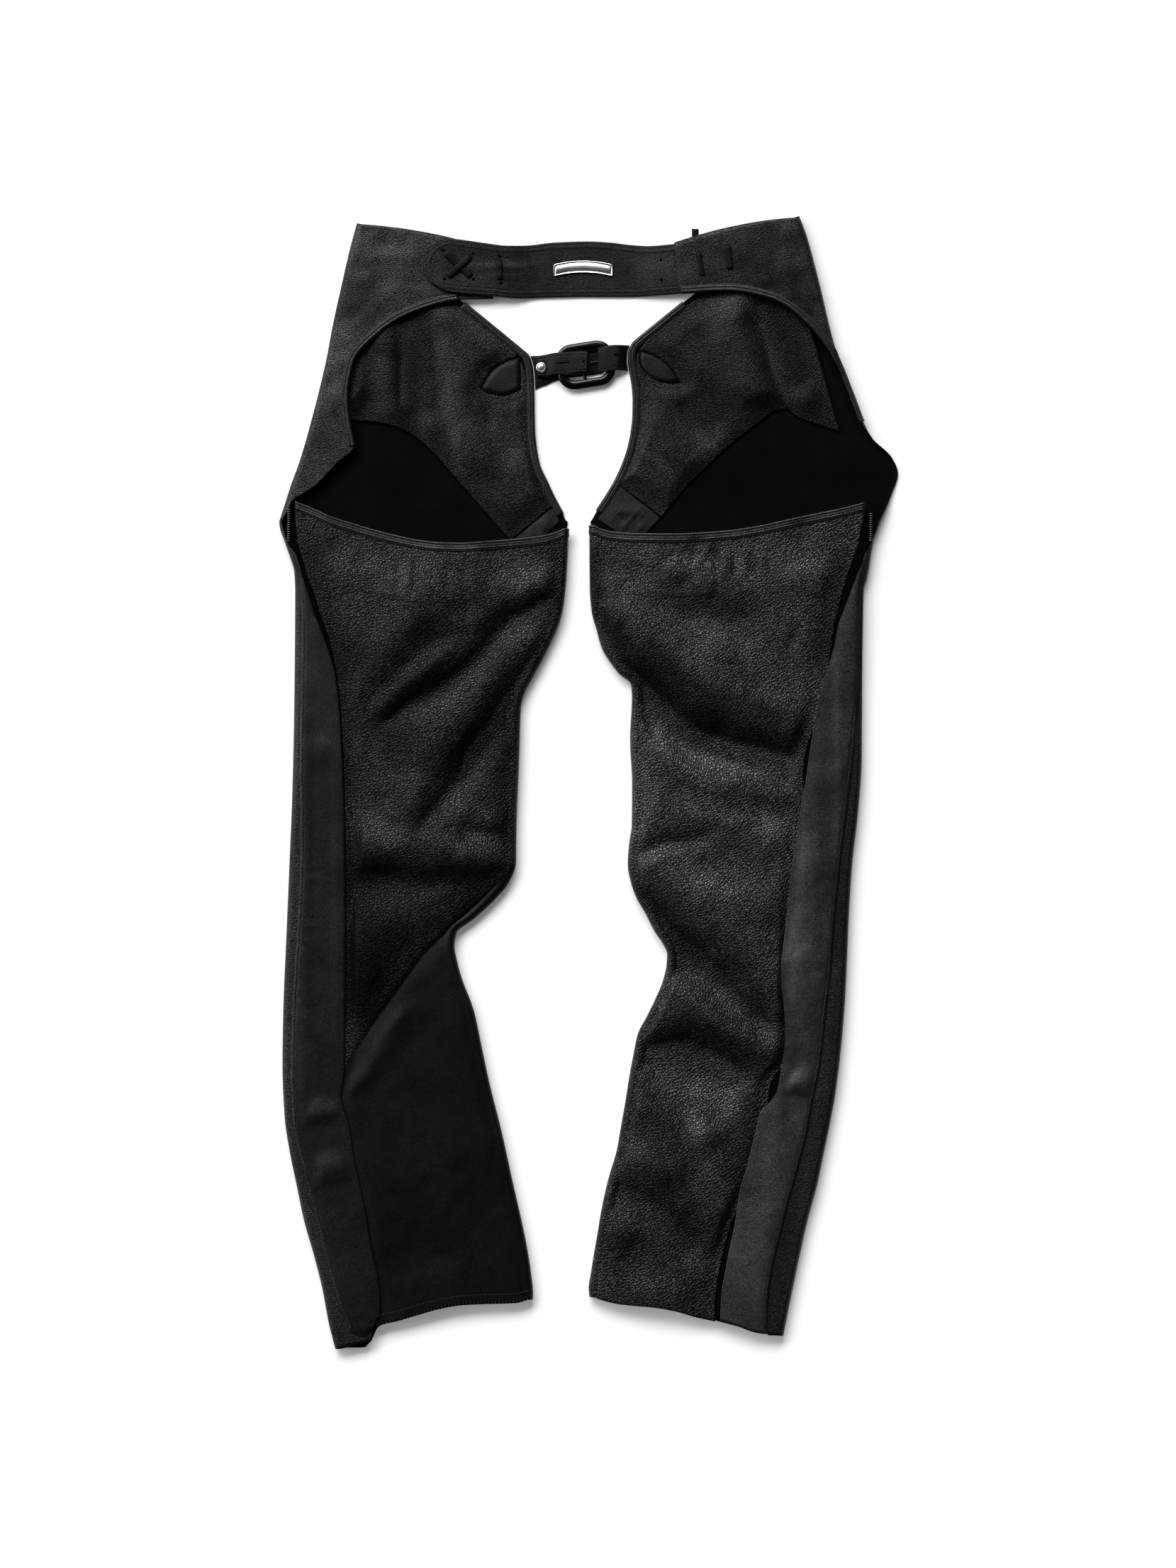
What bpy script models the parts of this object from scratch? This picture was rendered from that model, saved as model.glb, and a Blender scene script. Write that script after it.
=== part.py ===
"""Leather chaps laid flat on a table, back up and front down.

The tables below are in millimetres, in the part's own frame: +X to the right of the laid-out garment,
+Y towards the waist, +Z up, z = 0 on the table. "Left" and "right" are sides as seen from above.
Objects are made in metres.
"""

import math

import bmesh
import bpy
import numpy as np

MM = 0.001

# Walls, in millimetres
PANEL = 1.4
LINING = 1.1
BINDING = 1.0
BELT = 2.8
STRAP = 2.4
THONG = 1.2
GAP = 0.3
OVERLAY = 1.1

# Fold of a panel where the leg lies flat: radius of the middle of its wall
FOLD = 4.6
FOLD_TOP = PANEL / 2 + 2 * FOLD
CROWN = 3.0

# Deepest trough of a back panel below its edges
TROUGH = 2.4

# Reach of the back panel under the leg, from the inner fold to the inseam, and where it narrows
INSEAM_REACH = 31.0
INSEAM_TAPER_START = 170.0
INSEAM_TAPER = 76.0
INSEAM_LEAST = 1.2

# Levels up the leg where the hem's slant and the back panel's dipped top edge die out
HEM_LEVEL = -500.0
HEM_FADE = 70.0
TOP_LEVEL = 240.0
TOP_FADE = 90.0

# Zip tape under the flap: its wall, drop below the folds' tops and gap to the panels' edges
TAPE_WALL = 0.9
TAPE_DROP = 0.3
TAPE_GAP = 0.9
TAPE_TOP = 243.0

# Start of the flap inside the front panel's edge, its height over that panel, and its ends on each leg
FLAP_START = 0.8
FLAP_GAP = 0.42
LEFT_FLAP_ENDS = (-492.0, 221.0)
RIGHT_FLAP_ENDS = (-499.0, 221.0)
FLAP_COLUMNS = 3

# Above this level the back panel stops at its inner fold, over the front panel's binding
CROTCH_LEVEL = 226.0
CROTCH_FADE = 20.0
CROTCH_UNTURNED = 0.45
CROTCH_DROP = 0.5

# Widths of bound edges, and how far a binding stands past the edge that it covers
EDGE_BAND = 5.2
THIGH_BAND = 7.6
BINDING_STEP = 0.8
BINDING_TURN = 2.0
BINDING_ROOM = 0.1
FRONT_BINDING_FOOT = 1.0

# Bound stretches of each side: rows of the seat's edge, and share of the waist's flat part
LEFT_SEAT_ROWS = (4.0, 10.0)
RIGHT_SEAT_ROWS = (5.0, 12.0)
LEFT_WAIST_SHARE = 0.41
RIGHT_WAIST_SHARE = 0.33

# Columns of the panels' grids
FLAT_COLUMNS = 4
FOLD_COLUMNS = 4
WRAP_COLUMNS = 3
BACK_COLUMNS = 14
UNDER_COLUMNS = 1


def curve(*points):
    """A smooth value read from (place, value) pairs, with no overshoot between them."""
    places = np.array([point[0] for point in points], float)
    values = np.array([point[1] for point in points], float)
    steps = np.diff(places)
    slopes = np.diff(values) / steps
    tangents = np.zeros(len(points))
    tangents[0] = slopes[0]
    tangents[-1] = slopes[-1]
    for i in range(1, len(points) - 1):
        if slopes[i - 1] * slopes[i] > 0:
            tangents[i] = 2 / (1 / slopes[i - 1] + 1 / slopes[i])

    def read(place):
        place = np.clip(place, places[0], places[-1])
        i = np.clip(np.searchsorted(places, place, side="right") - 1, 0, len(steps) - 1)
        h = steps[i]
        f = (place - places[i]) / h
        return (
            (1 + 2 * f) * (1 - f) ** 2 * values[i]
            + f * (1 - f) ** 2 * h * tangents[i]
            + f * f * (3 - 2 * f) * values[i + 1]
            + f * f * (f - 1) * h * tangents[i + 1]
        )

    return read


def smoothstep(f):
    f = np.clip(f, 0.0, 1.0)
    return f * f * (3 - 2 * f)


# The left leg's outlines: (y, x)
LEFT_OUTER = curve(
    (-533, -238.8), (-507, -245.3), (-475, -251.3), (-443, -259.3), (-410, -268.7), (-378, -275.4),
    (-346, -282.0), (-314, -286.7), (-266, -288.7), (-218, -288.0), (-138, -284.7), (-74, -282.0),
    (-10, -279.4), (86, -277.4), (180, -276.7), (200, -277.6), (214, -281.5), (230, -287.0),
    (246, -291.8), (262, -286.3),
)
LEFT_INNER = curve(
    (-484, -52.5), (-474, -52.4), (-459, -54.5), (-427, -60.4), (-378, -71.4), (-330, -82.0),
    (-282, -94.0), (-250, -100.8), (-218, -107.7), (-186, -119.5), (-170, -123.8), (-154, -126.5),
    (-138, -123.8), (-122, -105.0), (-106, -87.8), (-90, -74.4), (-74, -68.4), (-42, -68.0),
    (22, -65.5), (70, -64.0), (86, -60.4), (102, -52.4), (118, -43.7), (134, -35.7), (150, -28.5),
    (166, -24.0), (198, -20.8), (246, -18.6),
)
LEFT_SEAM = curve(
    (-533, -209.0), (-520, -212.0), (-508, -229.0), (-497, -234.0), (-480, -239.5), (-461, -245.0),
    (-428, -253.5), (-400, -260.5), (-375, -267.0), (-353, -272.5), (-320, -279.5), (-270, -281.5),
    (-200, -279.5), (-120, -274.5), (-60, -272.5), (40, -273.0), (120, -270.8), (180, -272.3),
    (206, -276.5), (224, -282.0), (246, -289.3),
)
LEFT_FLAP = curve(
    (-510, -197.5), (-486, -197.5), (-465, -200.0), (-443, -205.0), (-405, -211.7), (-378, -217.5),
    (-353, -223.0), (-320, -228.3), (-306, -233.3), (-296, -235.6), (-270, -232.5), (-200, -232.5),
    (-40, -233.3), (40, -235.8), (80, -238.3), (103, -241.0), (122, -246.0), (143, -253.0),
    (160, -259.5), (182, -265.8), (200, -272.0), (213, -276.6), (225, -280.5),
)
LEFT_BACK_EDGE = curve(
    (-514, -199.5), (-486, -204.0), (-443, -212.0), (-405, -219.0), (-353, -230.0), (-300, -240.0),
    (-270, -232.5), (-240, -230.0), (-100, -229.0), (-40, -229.0), (0, -230.0), (40, -231.5), (80, -234.5),
    (103, -237.5), (122, -240.8), (143, -247.0), (160, -253.0), (182, -260.2), (200, -266.6),
    (213, -270.4), (225, -273.6), (246, -276.0), (262, -276.4),
)
LEFT_HEM = curve(
    (-240, -533.0), (-212, -533.0), (-206, -528.0), (-200, -515.0), (-196, -511.0), (-180, -506.8),
    (-160, -500.8), (-140, -495.2), (-120, -491.8), (-100, -490.8), (-70, -490.0), (-58, -487.0),
    (-52, -480.0),
)
LEFT_TOP_EDGE = curve(
    (-281, 260.0), (-260, 251.7), (-240, 243.0), (-220, 236.7), (-200, 230.8), (-180, 225.8),
    (-160, 221.7), (-140, 219.5), (-120, 219.0), (-100, 220.3), (-60, 223.7), (-44, 225.8),
    (-30, 229.5), (-21, 234.5), (-17, 240.0),
)

# The right leg's outlines: (y, x)
RIGHT_OUTER = curve(
    (-523, 183.0), (-507, 186.0), (-475, 192.6), (-443, 199.2), (-410, 206.6), (-378, 215.3),
    (-346, 222.0), (-314, 228.6), (-282, 234.0), (-234, 239.3), (-186, 242.6), (-122, 245.3),
    (-74, 248.6), (-26, 254.0), (22, 257.3), (118, 258.0), (182, 259.3), (198, 263.3), (230, 268.7),
    (246, 274.7),
)
RIGHT_INNER = curve(
    (-482, 0.8), (-474, -0.2), (-456, 2.8), (-429, 7.6), (-405, 11.6), (-389, 14.9), (-373, 18.9),
    (-349, 26.0), (-328, 29.8), (-298, 35.0), (-276, 38.5), (-258, 41.9), (-241, 45.4), (-224, 54.0),
    (-206, 62.7), (-189, 69.6), (-172, 73.3), (-161, 73.9), (-149, 69.6), (-136, 61.0), (-120, 52.8),
    (-103, 43.3), (-90, 39.0), (-77, 36.7), (-60, 37.8), (-40, 40.5), (0, 40.8), (40, 38.9),
    (80, 40.6), (92, 40.0), (99, 37.7), (106, 28.7), (117, 19.7), (130, 11.7), (148, 6.6),
    (162, 2.7), (186, 0.9), (246, 0.5),
)
RIGHT_SEAM = curve(
    (-523, 169.0), (-494, 169.6), (-459, 173.9), (-424, 182.4), (-396, 189.0), (-362, 198.5),
    (-328, 207.0), (-302, 211.5), (-267, 218.5), (-224, 223.6), (-172, 229.3), (-120, 233.5),
    (-80, 237.7), (-23, 244.5), (27, 250.4), (92, 255.5), (155, 256.9), (186, 257.6), (206, 262.0),
    (228, 266.0), (246, 272.0),
)
RIGHT_FLAP = curve(
    (-523, 126.3), (-485, 127.9), (-464, 131.0), (-442, 135.0), (-419, 140.0), (-384, 145.5),
    (-360, 152.5), (-338, 157.9), (-324, 161.3), (-310, 164.8), (-302, 173.0), (-291, 180.4),
    (-279, 183.0), (-238, 186.0), (-214, 184.7), (-193, 182.0), (-172, 181.2), (-151, 183.8),
    (-120, 187.0), (-70, 192.5), (-33, 198.3), (0, 204.0), (47, 210.8), (92, 220.0), (130, 231.6),
    (148, 235.0), (167, 242.0), (191, 251.0), (212, 260.0), (224, 264.2),
)
RIGHT_BACK_EDGE = curve(
    (-520, 118.6), (-496, 119.0), (-474, 120.7), (-451, 124.7), (-432, 129.5), (-416, 134.3),
    (-397, 143.0), (-375, 155.0), (-340, 165.0), (-312, 168.5), (-290, 170.0), (-272, 178.0),
    (-262, 189.0), (-238, 193.5), (-193, 189.5), (-151, 191.0), (-120, 194.5), (-70, 198.0),
    (-40, 203.0), (-10, 203.5), (5, 202.0), (20, 203.4), (40, 208.0), (60, 217.0), (92, 223.5),
    (110, 226.5), (130, 229.0), (148, 232.0), (165, 236.0), (183, 241.0), (200, 246.0),
    (212, 250.5), (228, 255.0), (246, 258.5), (262, 260.0),
)
RIGHT_HEM = curve(
    (0, -481.0), (9, -486.0), (30, -491.0), (60, -493.5), (80, -497.0), (100, -503.0), (120, -507.6),
    (141, -513.0), (157, -518.6), (171, -520.4), (184, -520.6),
)
RIGHT_TOP_EDGE = curve(
    (0, 245.0), (2, 240.5), (7, 234.5), (20, 230.0), (45, 228.0), (81, 227.6), (108, 228.8),
    (135, 231.0), (162, 235.3), (188, 241.0), (215, 246.8), (240, 252.0), (264, 258.5),
)

# Levels of the leg's rows, from the hem to the crotch
LEFT_LEVELS = (
    -500, -481, -462, -435, -405, -370, -335, -305, -280, -258, -236, -214, -192, -174, -158, -144,
    -130, -116, -102, -86, -70, -52, -36, -18, 2, 22, 42, 62, 80, 98, 116, 134, 150, 166, 180, 194,
    208, 222, 234, 246,
)
RIGHT_LEVELS = (
    -500, -481, -462, -440, -415, -388, -360, -332, -308, -290, -272, -254, -238, -222, -204, -186,
    -168, -152, -136, -118, -102, -86, -70, -52, -34, -16, 4, 24, 44, 62, 80, 96, 110, 126, 144,
    164, 184, 204, 224, 246,
)

# Front panels above the crotch, a row for each fanned section:
# inner bound edge (a_x, a_y), outer fold (b_x, b_y), wrapped edge (c_x, c_y), turn of the fold
FAN_COLUMNS = ("a_x", "a_y", "b_x", "b_y", "c_x", "c_y", "turn")
LEFT_FAN = (
    (-20.0, 244, -291.8, 246, -289.3, 246, 143),
    (-26.0, 256, -286.3, 263, -281.0, 264, 180),
    (-33.5, 270, -280.5, 281, -257.0, 280, 180),
    (-40.0, 284, -273.5, 300, -237.0, 301, 180),
    (-47.2, 300, -267.0, 321, -221.0, 317, 180),
    (-50.2, 316, -261.0, 343, -225.6, 341, 180),
    (-51.8, 332, -254.5, 368, -227.3, 365, 180),
    (-52.2, 348, -247.5, 398, -222.0, 396, 180),
    (-52.4, 362, -241.5, 430, -200.0, 422, 180),
    (-52.8, 376, -234.5, 462, -169.0, 442, 180),
    (-53.6, 388, -228.0, 491, -123.0, 455, 180),
    (-55.0, 396, -223.5, 509, -90.0, 456, 180),
    (-57.5, 403, -218.6, 527, -89.5, 502, 180),
)
RIGHT_FAN = (
    (1.8, 246, 274.7, 246, 272.0, 246, 130),
    (9.5, 259, 285.0, 270, 284.3, 270, 70),
    (18.0, 272, 293.3, 291, 292.8, 290, 45),
    (25.5, 285, 287.5, 307, 286.5, 306, 45),
    (32.0, 299, 268.5, 323, 266.0, 322, 100),
    (37.5, 315, 258.8, 340, 256.5, 339, 140),
    (40.8, 331, 251.0, 360, 248.8, 359, 140),
    (42.4, 346, 242.2, 383, 240.0, 382, 140),
    (42.6, 361, 233.0, 408, 226.5, 407, 180),
    (41.6, 375, 226.0, 434, 205.5, 433, 180),
    (39.6, 387, 219.5, 462, 172.0, 456, 180),
    (38.2, 397, 212.5, 490, 130.0, 463.6, 180),
    (38.6, 406, 205.5, 515, 87.0, 461.4, 180),
    (42.0, 414.5, 198.6, 533.7, 80.5, 508.4, 180),
)
# Bow of the waist row: of the flat part over the front, and of the yoke's top edge
WAIST_BOW = 2.0
YOKE_BOW = 4.0

# Height of the yoke's wall towards its end: (x, z)
LEFT_YOKE_HEIGHT = curve((-250, FOLD_TOP), (-215, FOLD_TOP), (-155, 8.0), (-89, 5.6))
RIGHT_YOKE_HEIGHT = curve((80, 8.4), (150, 9.0), (200, FOLD_TOP), (230, FOLD_TOP))

# Folds of the back panels, a row for each: height, width, points along it (x, y)
LEFT_FOLDS = (
    ("hip tuck", 3.0, 7, ((-168, 212), (-172, 182))),
    ("hip tuck", 3.0, 9, ((-154, 212), (-153, 172))),
    ("hip tuck trough", -2.5, 7, ((-132, 206), (-134, 176))),
    ("upper ridge", 5.5, 11, ((-38, 208), (-62, 193), (-76, 172), (-92, 153), (-123, 138), (-170, 105))),
    ("upper trough", -4.5, 9, ((-34, 181), (-60, 170), (-80, 154), (-103, 128), (-140, 101), (-205, 63))),
    ("thigh ridge", 5.5, 10, ((-38, 162), (-60, 145), (-103, 115), (-140, 84), (-175, 62))),
    ("long trough", -4.5, 11, ((-42, 132), (-60, 115), (-90, 76), (-123, 25), (-140, 0), (-168, -44))),
    ("long ridge", 4.5, 13, ((-66, 66), (-90, 38), (-101, 10), (-104, -24))),
    ("thigh crown", 3.5, 26, ((-205, 20), (-172, -6), (-188, -32))),
    ("knee trough high", -3.5, 9, ((-126, -36), (-97, -44), (-74, -50))),
    ("knee ridge", 5.0, 9, ((-214, -58), (-165, -58), (-120, -60), (-92, -66))),
    ("knee trough", -4.5, 10, ((-218, -80), (-170, -80), (-128, -79), (-98, -80))),
    ("shin ridge", 4.0, 16, ((-214, -118), (-180, -106), (-150, -100))),
    ("shin trough", -4.5, 13, ((-142, -138), (-165, -148), (-196, -156))),
    ("lower edge light", 2.5, 8, ((-138, -170), (-160, -186), (-190, -222), (-222, -268))),
)
RIGHT_FOLDS = (
    ("hip tuck", 3.0, 8, ((84, 210), (100, 196), (126, 184))),
    ("hip tuck trough", -2.5, 7, ((124, 214), (124, 190))),
    ("hip tuck", 2.5, 8, ((136, 214), (140, 190))),
    ("inner crease", -3.0, 5, ((8, 186), (18, 166), (22, 148), (13, 139))),
    ("upper trough", -4.5, 12, ((14, 138), (36, 117), (54, 99), (72, 85), (107, 57), (150, 38), (196, 10))),
    ("upper ridge", 5.5, 9, ((58, 68), (65, 51), (78, 30), (96, 15), (123, 12), (150, 6), (193, -20))),
    ("edge ridge", 3.0, 7, ((46, 62), (48, 36))),
    ("knee crown", 3.5, 18, ((72, -6), (74, -36))),
    ("knee trough", -4.0, 9, ((58, -54), (80, -48), (108, -47))),
    ("knee ridge", 4.5, 8, ((44, -76), (66, -65), (90, -61), (120, -66))),
    ("shin crown", 3.0, 20, ((126, -104), (160, -98))),
    ("long trough", -5.5, 10, ((42, -92), (60, -112), (85, -134), (107, -153), (128, -170), (172, -220))),
    ("outer ridge", 3.0, 6, ((48, -106), (62, -132), (71, -156))),
    ("long ridge", 5.0, 8, ((82, -172), (104, -187), (122, -200), (147, -220), (167, -238))),
    ("calf trough", -3.0, 11, ((46, -242), (66, -241), (100, -236), (136, -246), (150, -276))),
    ("calf ridge", 4.0, 9, ((50, -252), (66, -258), (80, -270), (88, -300), (92, -330))),
    ("calf ridge", 3.0, 8, ((56, -272), (60, -320), (80, -344), (94, -389), (110, -424))),
    ("calf ridge", 3.0, 9, ((106, -320), (114, -352), (124, -396))),
    ("ankle trough", -3.0, 13, ((22, -380), (54, -390), (84, -400), (106, -442))),
    ("ankle ridge", 3.5, 9, ((22, -393), (38, -404), (56, -418))),
    ("ankle ridge", 3.0, 8, ((31, -410), (27, -446), (25, -470))),
    ("hem crown", 2.5, 20, ((66, -456), (72, -474))),
)
# The left leg's twist: leather above this line lies over the smooth panel below it
LEFT_TWIST = ((-66, -70), (-80, -88), (-100, -108), (-123, -128), (-157, -160), (-200, -220), (-234, -272))
TWIST_LIFT = 4.5
TWIST_DROP = 2.0
TWIST_REACH = 26.0
TWIST_EDGE = 4.0

# Ridges and hollows of the linings: height, width, points along it
LEFT_LINING_FOLDS = (
    ("ridge", 3.5, 11, ((-205, 398), (-207, 350))),
    ("ridge", 4.0, 13, ((-159, 420), (-159, 350))),
    ("ridge", 3.5, 12, ((-118, 380), (-112, 350), (-98, 318), (-86, 296))),
)
RIGHT_LINING_FOLDS = (
    ("ridge", 4.0, 15, ((126, 392), (142, 368), (157, 348))),
    ("ridge", 3.5, 12, ((212, 410), (224, 372), (230, 345))),
    ("ridge", 3.0, 10, ((60, 338), (80, 312), (96, 292))),
)

# Linings: raw lower edge and hidden or bound upper edge, in step along their length
LEFT_LINING_LOWER = ((-73, 228), (-92, 249), (-111, 271), (-128.5, 290.4), (-147, 311.7), (-170.6, 330.4),
                     (-193, 338.4), (-220.6, 341), (-240, 342))
LEFT_LINING_UPPER = ((-34.5, 260), (-46.5, 286), (-53, 316), (-56, 345), (-57.5, 378), (-76, 415),
                     (-118, 446), (-165, 478), (-208, 505))
RIGHT_LINING_LOWER = ((68, 250), (88, 275), (104.5, 291.7), (136, 321), (161, 340), (176, 350.6),
                      (187, 352.5), (196, 345.8), (209, 339.8), (237, 330.5))
RIGHT_LINING_UPPER = ((27.5, 282), (36, 296), (42.5, 313), (47, 338), (47.5, 362), (44.5, 396),
                      (60, 424), (104, 458), (148, 488), (188, 512))
LINING_LIFT = PANEL + GAP + LINING / 2

# Rows and columns of a lining's grid
LINING_ROWS = 8
LINING_COLUMNS = 12

# Facings below the linings at the crotch: their corners away from the lining seam
LEFT_FACING = ((-27.5, 246.5), (-52, 222))
RIGHT_FACING = ((9.0, 248), (44, 224))

# Leaf-shaped openings of the linings at the strap roots: corners and the bulge of each side
LEFT_LEAF = (((-64.5, 401), (-102, 371), 7.0), ((-102, 371), (-63.5, 371), 6.5), ((-63.5, 371), (-64.5, 401), 0.0))
RIGHT_LEAF = (((86.8, 377), (48.5, 407), 6.0), ((48.5, 407), (49.5, 392), 0.8), ((49.5, 392), (86.8, 377), 6.5))

# Cut through a lining for its leaf, size of the leather in it, and the facing's gap to the lining
LEAF_CUT = (0.5, 9.0)
LEAF_SCALE = 0.965
ROOT_WALL = 0.8
FACING_SHIFT = (0.45, 0.55)

# Back belt: edges and height along it, and the rounded end
BELT_TOP = curve((-140, 512.4), (-118, 510), (-100, 507.5), (-77, 505), (-60, 505.4), (-32, 508.5),
                 (0, 509.5), (20, 508.5), (38, 506.3), (57, 505), (77, 506.3), (110, 511), (150, 519))
BELT_BOTTOM = curve((-140, 463.5), (-118, 460.5), (-90, 458.8), (-68, 457), (-38, 458.2), (0, 458.8),
                    (38, 458.8), (64, 460), (85, 461.6), (110, 466), (150, 469))
BELT_HEIGHT = curve((-156, 10.6), (-120, 9.3), (-92, 8.2), (-74, 6.0), (-46, 1.8), (40, 1.8),
                    (68, 4.6), (80, 5.6), (150, 5.6))
BELT_START = -154.8
BELT_END = 150.0
BELT_ROUND = 25.0
BELT_RIDGES = (
    ("ridge", 0.8, 4, ((-112, 487), (-60, 486), (-38, 487))),
    ("ridge", 0.8, 4, ((-112, 478), (-70, 477), (-40, 479))),
)

# Lacing of belt and yokes: its width, the height of its free end, and each stroke's
# name, ends, rise over what it crosses and narrowing at its middle
LACE_WIDTH = 5.4
LACE_END_LIFT = 7.1
LEFT_STROKES = (
    ("lace_cross_under", (-136, 499.5), (-110, 475.5), 0.0, 0.0),
    ("lace_cross_over", (-133.5, 475.5), (-110.5, 496.2), 1.7, 0.0),
    ("lace_bar_left", (-84.5, 493.5), (-83.4, 472.5), 0.0, 0.0),
)
RIGHT_STROKES = (
    ("lace_twist_right", (103.3, 499.8), (107.2, 476.2), 0.0, 0.35),
    ("lace_bar_right", (130.0, 506.2), (133.2, 482.4), 0.0, 0.0),
)
LACE_ROOM = 0.1

# The right yoke near its end: where its height is known, over what length, and the height there
YOKE_FOLD_X = 206.0
YOKE_RUN = 122.0
YOKE_END_LIFT = 8.4
YOKE_ROOM = 0.15

# Plate on the belt
PLATE_CENTRE = (-5.2, 484.5)
PLATE_LENGTH = 56.0
PLATE_WIDTH = 11.5
PLATE_WALL = 1.6
PLATE_ARCH = 3.5
PLATE_EDGE = 0.3
PLATE_TRIM = 1.2
PLATE_STEPS = 6
PLATE_BASE = 1.8 + BELT / 2 + GAP

# Front buckle: frame, straps and snap
BUCKLE_CENTRE = (-3.0, 393.6)
BUCKLE_SIZE = (55.0, 43.0)
BUCKLE_CORNER = 16.0
BUCKLE_TILT = math.radians(9.0)
BUCKLE_BAR = 4.2
BUCKLE_FLATTEN = 0.5
BUCKLE_MIDDLE_BAR = 1.6
BUCKLE_LIFT = 4.4
BUCKLE_STRAP_LIFT = 8.1
PRONG_RADIUS = 0.8
PRONG_LIFT = 3.0
PRONG_OFFSET = 1.5
UNDER_STRAP = 1.6
UNDER_STRAP_LIFT = 1.1
SNAP_CENTRE = (-44.8, 391.2)
SNAP_RADIUS = 4.9
SNAP_TOP = 0.72
SNAP_WALL = 1.8
SNAP_BASE = 4.5 + STRAP / 2 + GAP

COLOURS = {
    "leather": ((0.012, 0.012, 0.013), 0.55, 0.0),
    "suede": ((0.004, 0.004, 0.004), 0.95, 0.0),
    "lining": ((0.010, 0.010, 0.011), 0.6, 0.0),
    "binding": ((0.016, 0.016, 0.017), 0.45, 0.0),
    "zip": ((0.008, 0.008, 0.008), 0.85, 0.0),
    "metal": ((0.62, 0.62, 0.63), 0.25, 1.0),
}


def clear_scene():
    for old in list(bpy.data.objects):
        bpy.data.objects.remove(old, do_unlink=True)


def collection(name):
    group = bpy.data.collections.new(name)
    bpy.context.scene.collection.children.link(group)
    return group


def material(name):
    colour, roughness, metallic = COLOURS[name]
    made = bpy.data.materials.new(name)
    made.use_nodes = True
    shader = made.node_tree.nodes["Principled BSDF"]
    shader.inputs["Base Color"].default_value = (*colour, 1.0)
    shader.inputs["Roughness"].default_value = roughness
    shader.inputs["Metallic"].default_value = metallic
    return made


def add_object(name, data, finish, group):
    made = bpy.data.objects.new(name, data)
    made.data.materials.append(finish)
    group.objects.link(made)
    return made


def sheet(name, rows, wall, finish, group):
    """A wall on a grid of middle points: rows of equal length, in millimetres."""
    points = np.array(rows, float) * MM
    last_row = points.shape[0] - 1
    last_column = points.shape[1] - 1
    shape = bmesh.new()
    bmesh.ops.create_grid(shape, x_segments=last_column, y_segments=last_row, size=1.0)
    for vert in shape.verts:
        column = round((vert.co.x + 1) / 2 * last_column)
        row = round((vert.co.y + 1) / 2 * last_row)
        vert.co = points[row, column]
    mesh = bpy.data.meshes.new(name)
    shape.to_mesh(mesh)
    shape.free()
    mesh.shade_smooth()
    made = add_object(name, mesh, finish, group)
    thicken = made.modifiers.new("wall", "SOLIDIFY")
    thicken.thickness = wall * MM
    thicken.offset = 0.0
    return made


def tube(name, points, radius, finish, group, closed=False):
    """A round bar along points, in millimetres."""
    path = bpy.data.curves.new(name, "CURVE")
    path.dimensions = "3D"
    path.bevel_depth = radius * MM
    path.bevel_resolution = 2
    path.use_fill_caps = not closed
    spline = path.splines.new("POLY")
    spline.points.add(len(points) - 1)
    for point, place in zip(spline.points, points):
        point.co = (place[0] * MM, place[1] * MM, place[2] * MM, 1.0)
    spline.use_cyclic_u = closed
    return add_object(name, path, finish, group)


def plate(name, outline, low, high, finish, group):
    """A flat outline with straight sides between two heights, in millimetres."""
    path = bpy.data.curves.new(name, "CURVE")
    path.dimensions = "2D"
    path.fill_mode = "BOTH"
    path.extrude = (high - low) / 2 * MM
    spline = path.splines.new("POLY")
    spline.points.add(len(outline) - 1)
    for point, place in zip(spline.points, outline):
        point.co = (place[0] * MM, place[1] * MM, 0.0, 1.0)
    spline.use_cyclic_u = True
    made = add_object(name, path, finish, group)
    made.location.z = (low + high) / 2 * MM
    return made


def meshed(made, finish, group):
    """The same piece as a welded mesh, for cutting and joining."""
    bpy.context.view_layer.update()
    graph = bpy.context.evaluated_depsgraph_get()
    mesh = bpy.data.meshes.new_from_object(made.evaluated_get(graph))
    shape = bmesh.new()
    shape.from_mesh(mesh)
    bmesh.ops.remove_doubles(shape, verts=shape.verts, dist=0.00001)
    bmesh.ops.recalc_face_normals(shape, faces=shape.faces)
    shape.to_mesh(mesh)
    shape.free()
    name = made.name
    place = made.matrix_world.copy()
    bpy.data.objects.remove(made, do_unlink=True)
    mesh.materials.clear()
    copy = add_object(name, mesh, finish, group)
    copy.matrix_world = place
    return copy


def boolean(made, other, operation):
    step = made.modifiers.new(operation.lower(), "BOOLEAN")
    step.operation = operation
    step.solver = "EXACT"
    step.object = other
    other.hide_render = True
    other.display_type = "WIRE"


def distance_along(x, y, points):
    """Distance of each place from a line of points, its share along the line, and the side it is on."""
    x = np.asarray(x, float)
    y = np.asarray(y, float)
    ends = np.array(points, float)
    lengths = np.hypot(*np.diff(ends, axis=0).T)
    before = np.concatenate(([0.0], np.cumsum(lengths)))
    best = np.full(x.shape, 1e9)
    share = np.zeros(x.shape)
    side = np.ones(x.shape)
    for i, length in enumerate(lengths):
        step = (ends[i + 1] - ends[i]) / length
        dx = x - ends[i, 0]
        dy = y - ends[i, 1]
        along = np.clip(dx * step[0] + dy * step[1], 0.0, length)
        gap = np.hypot(dx - along * step[0], dy - along * step[1])
        nearer = gap < best
        best = np.where(nearer, gap, best)
        share = np.where(nearer, (before[i] + along) / before[-1], share)
        side = np.where(nearer, np.sign(step[0] * dy - step[1] * dx), side)
    return best, share, side


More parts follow.
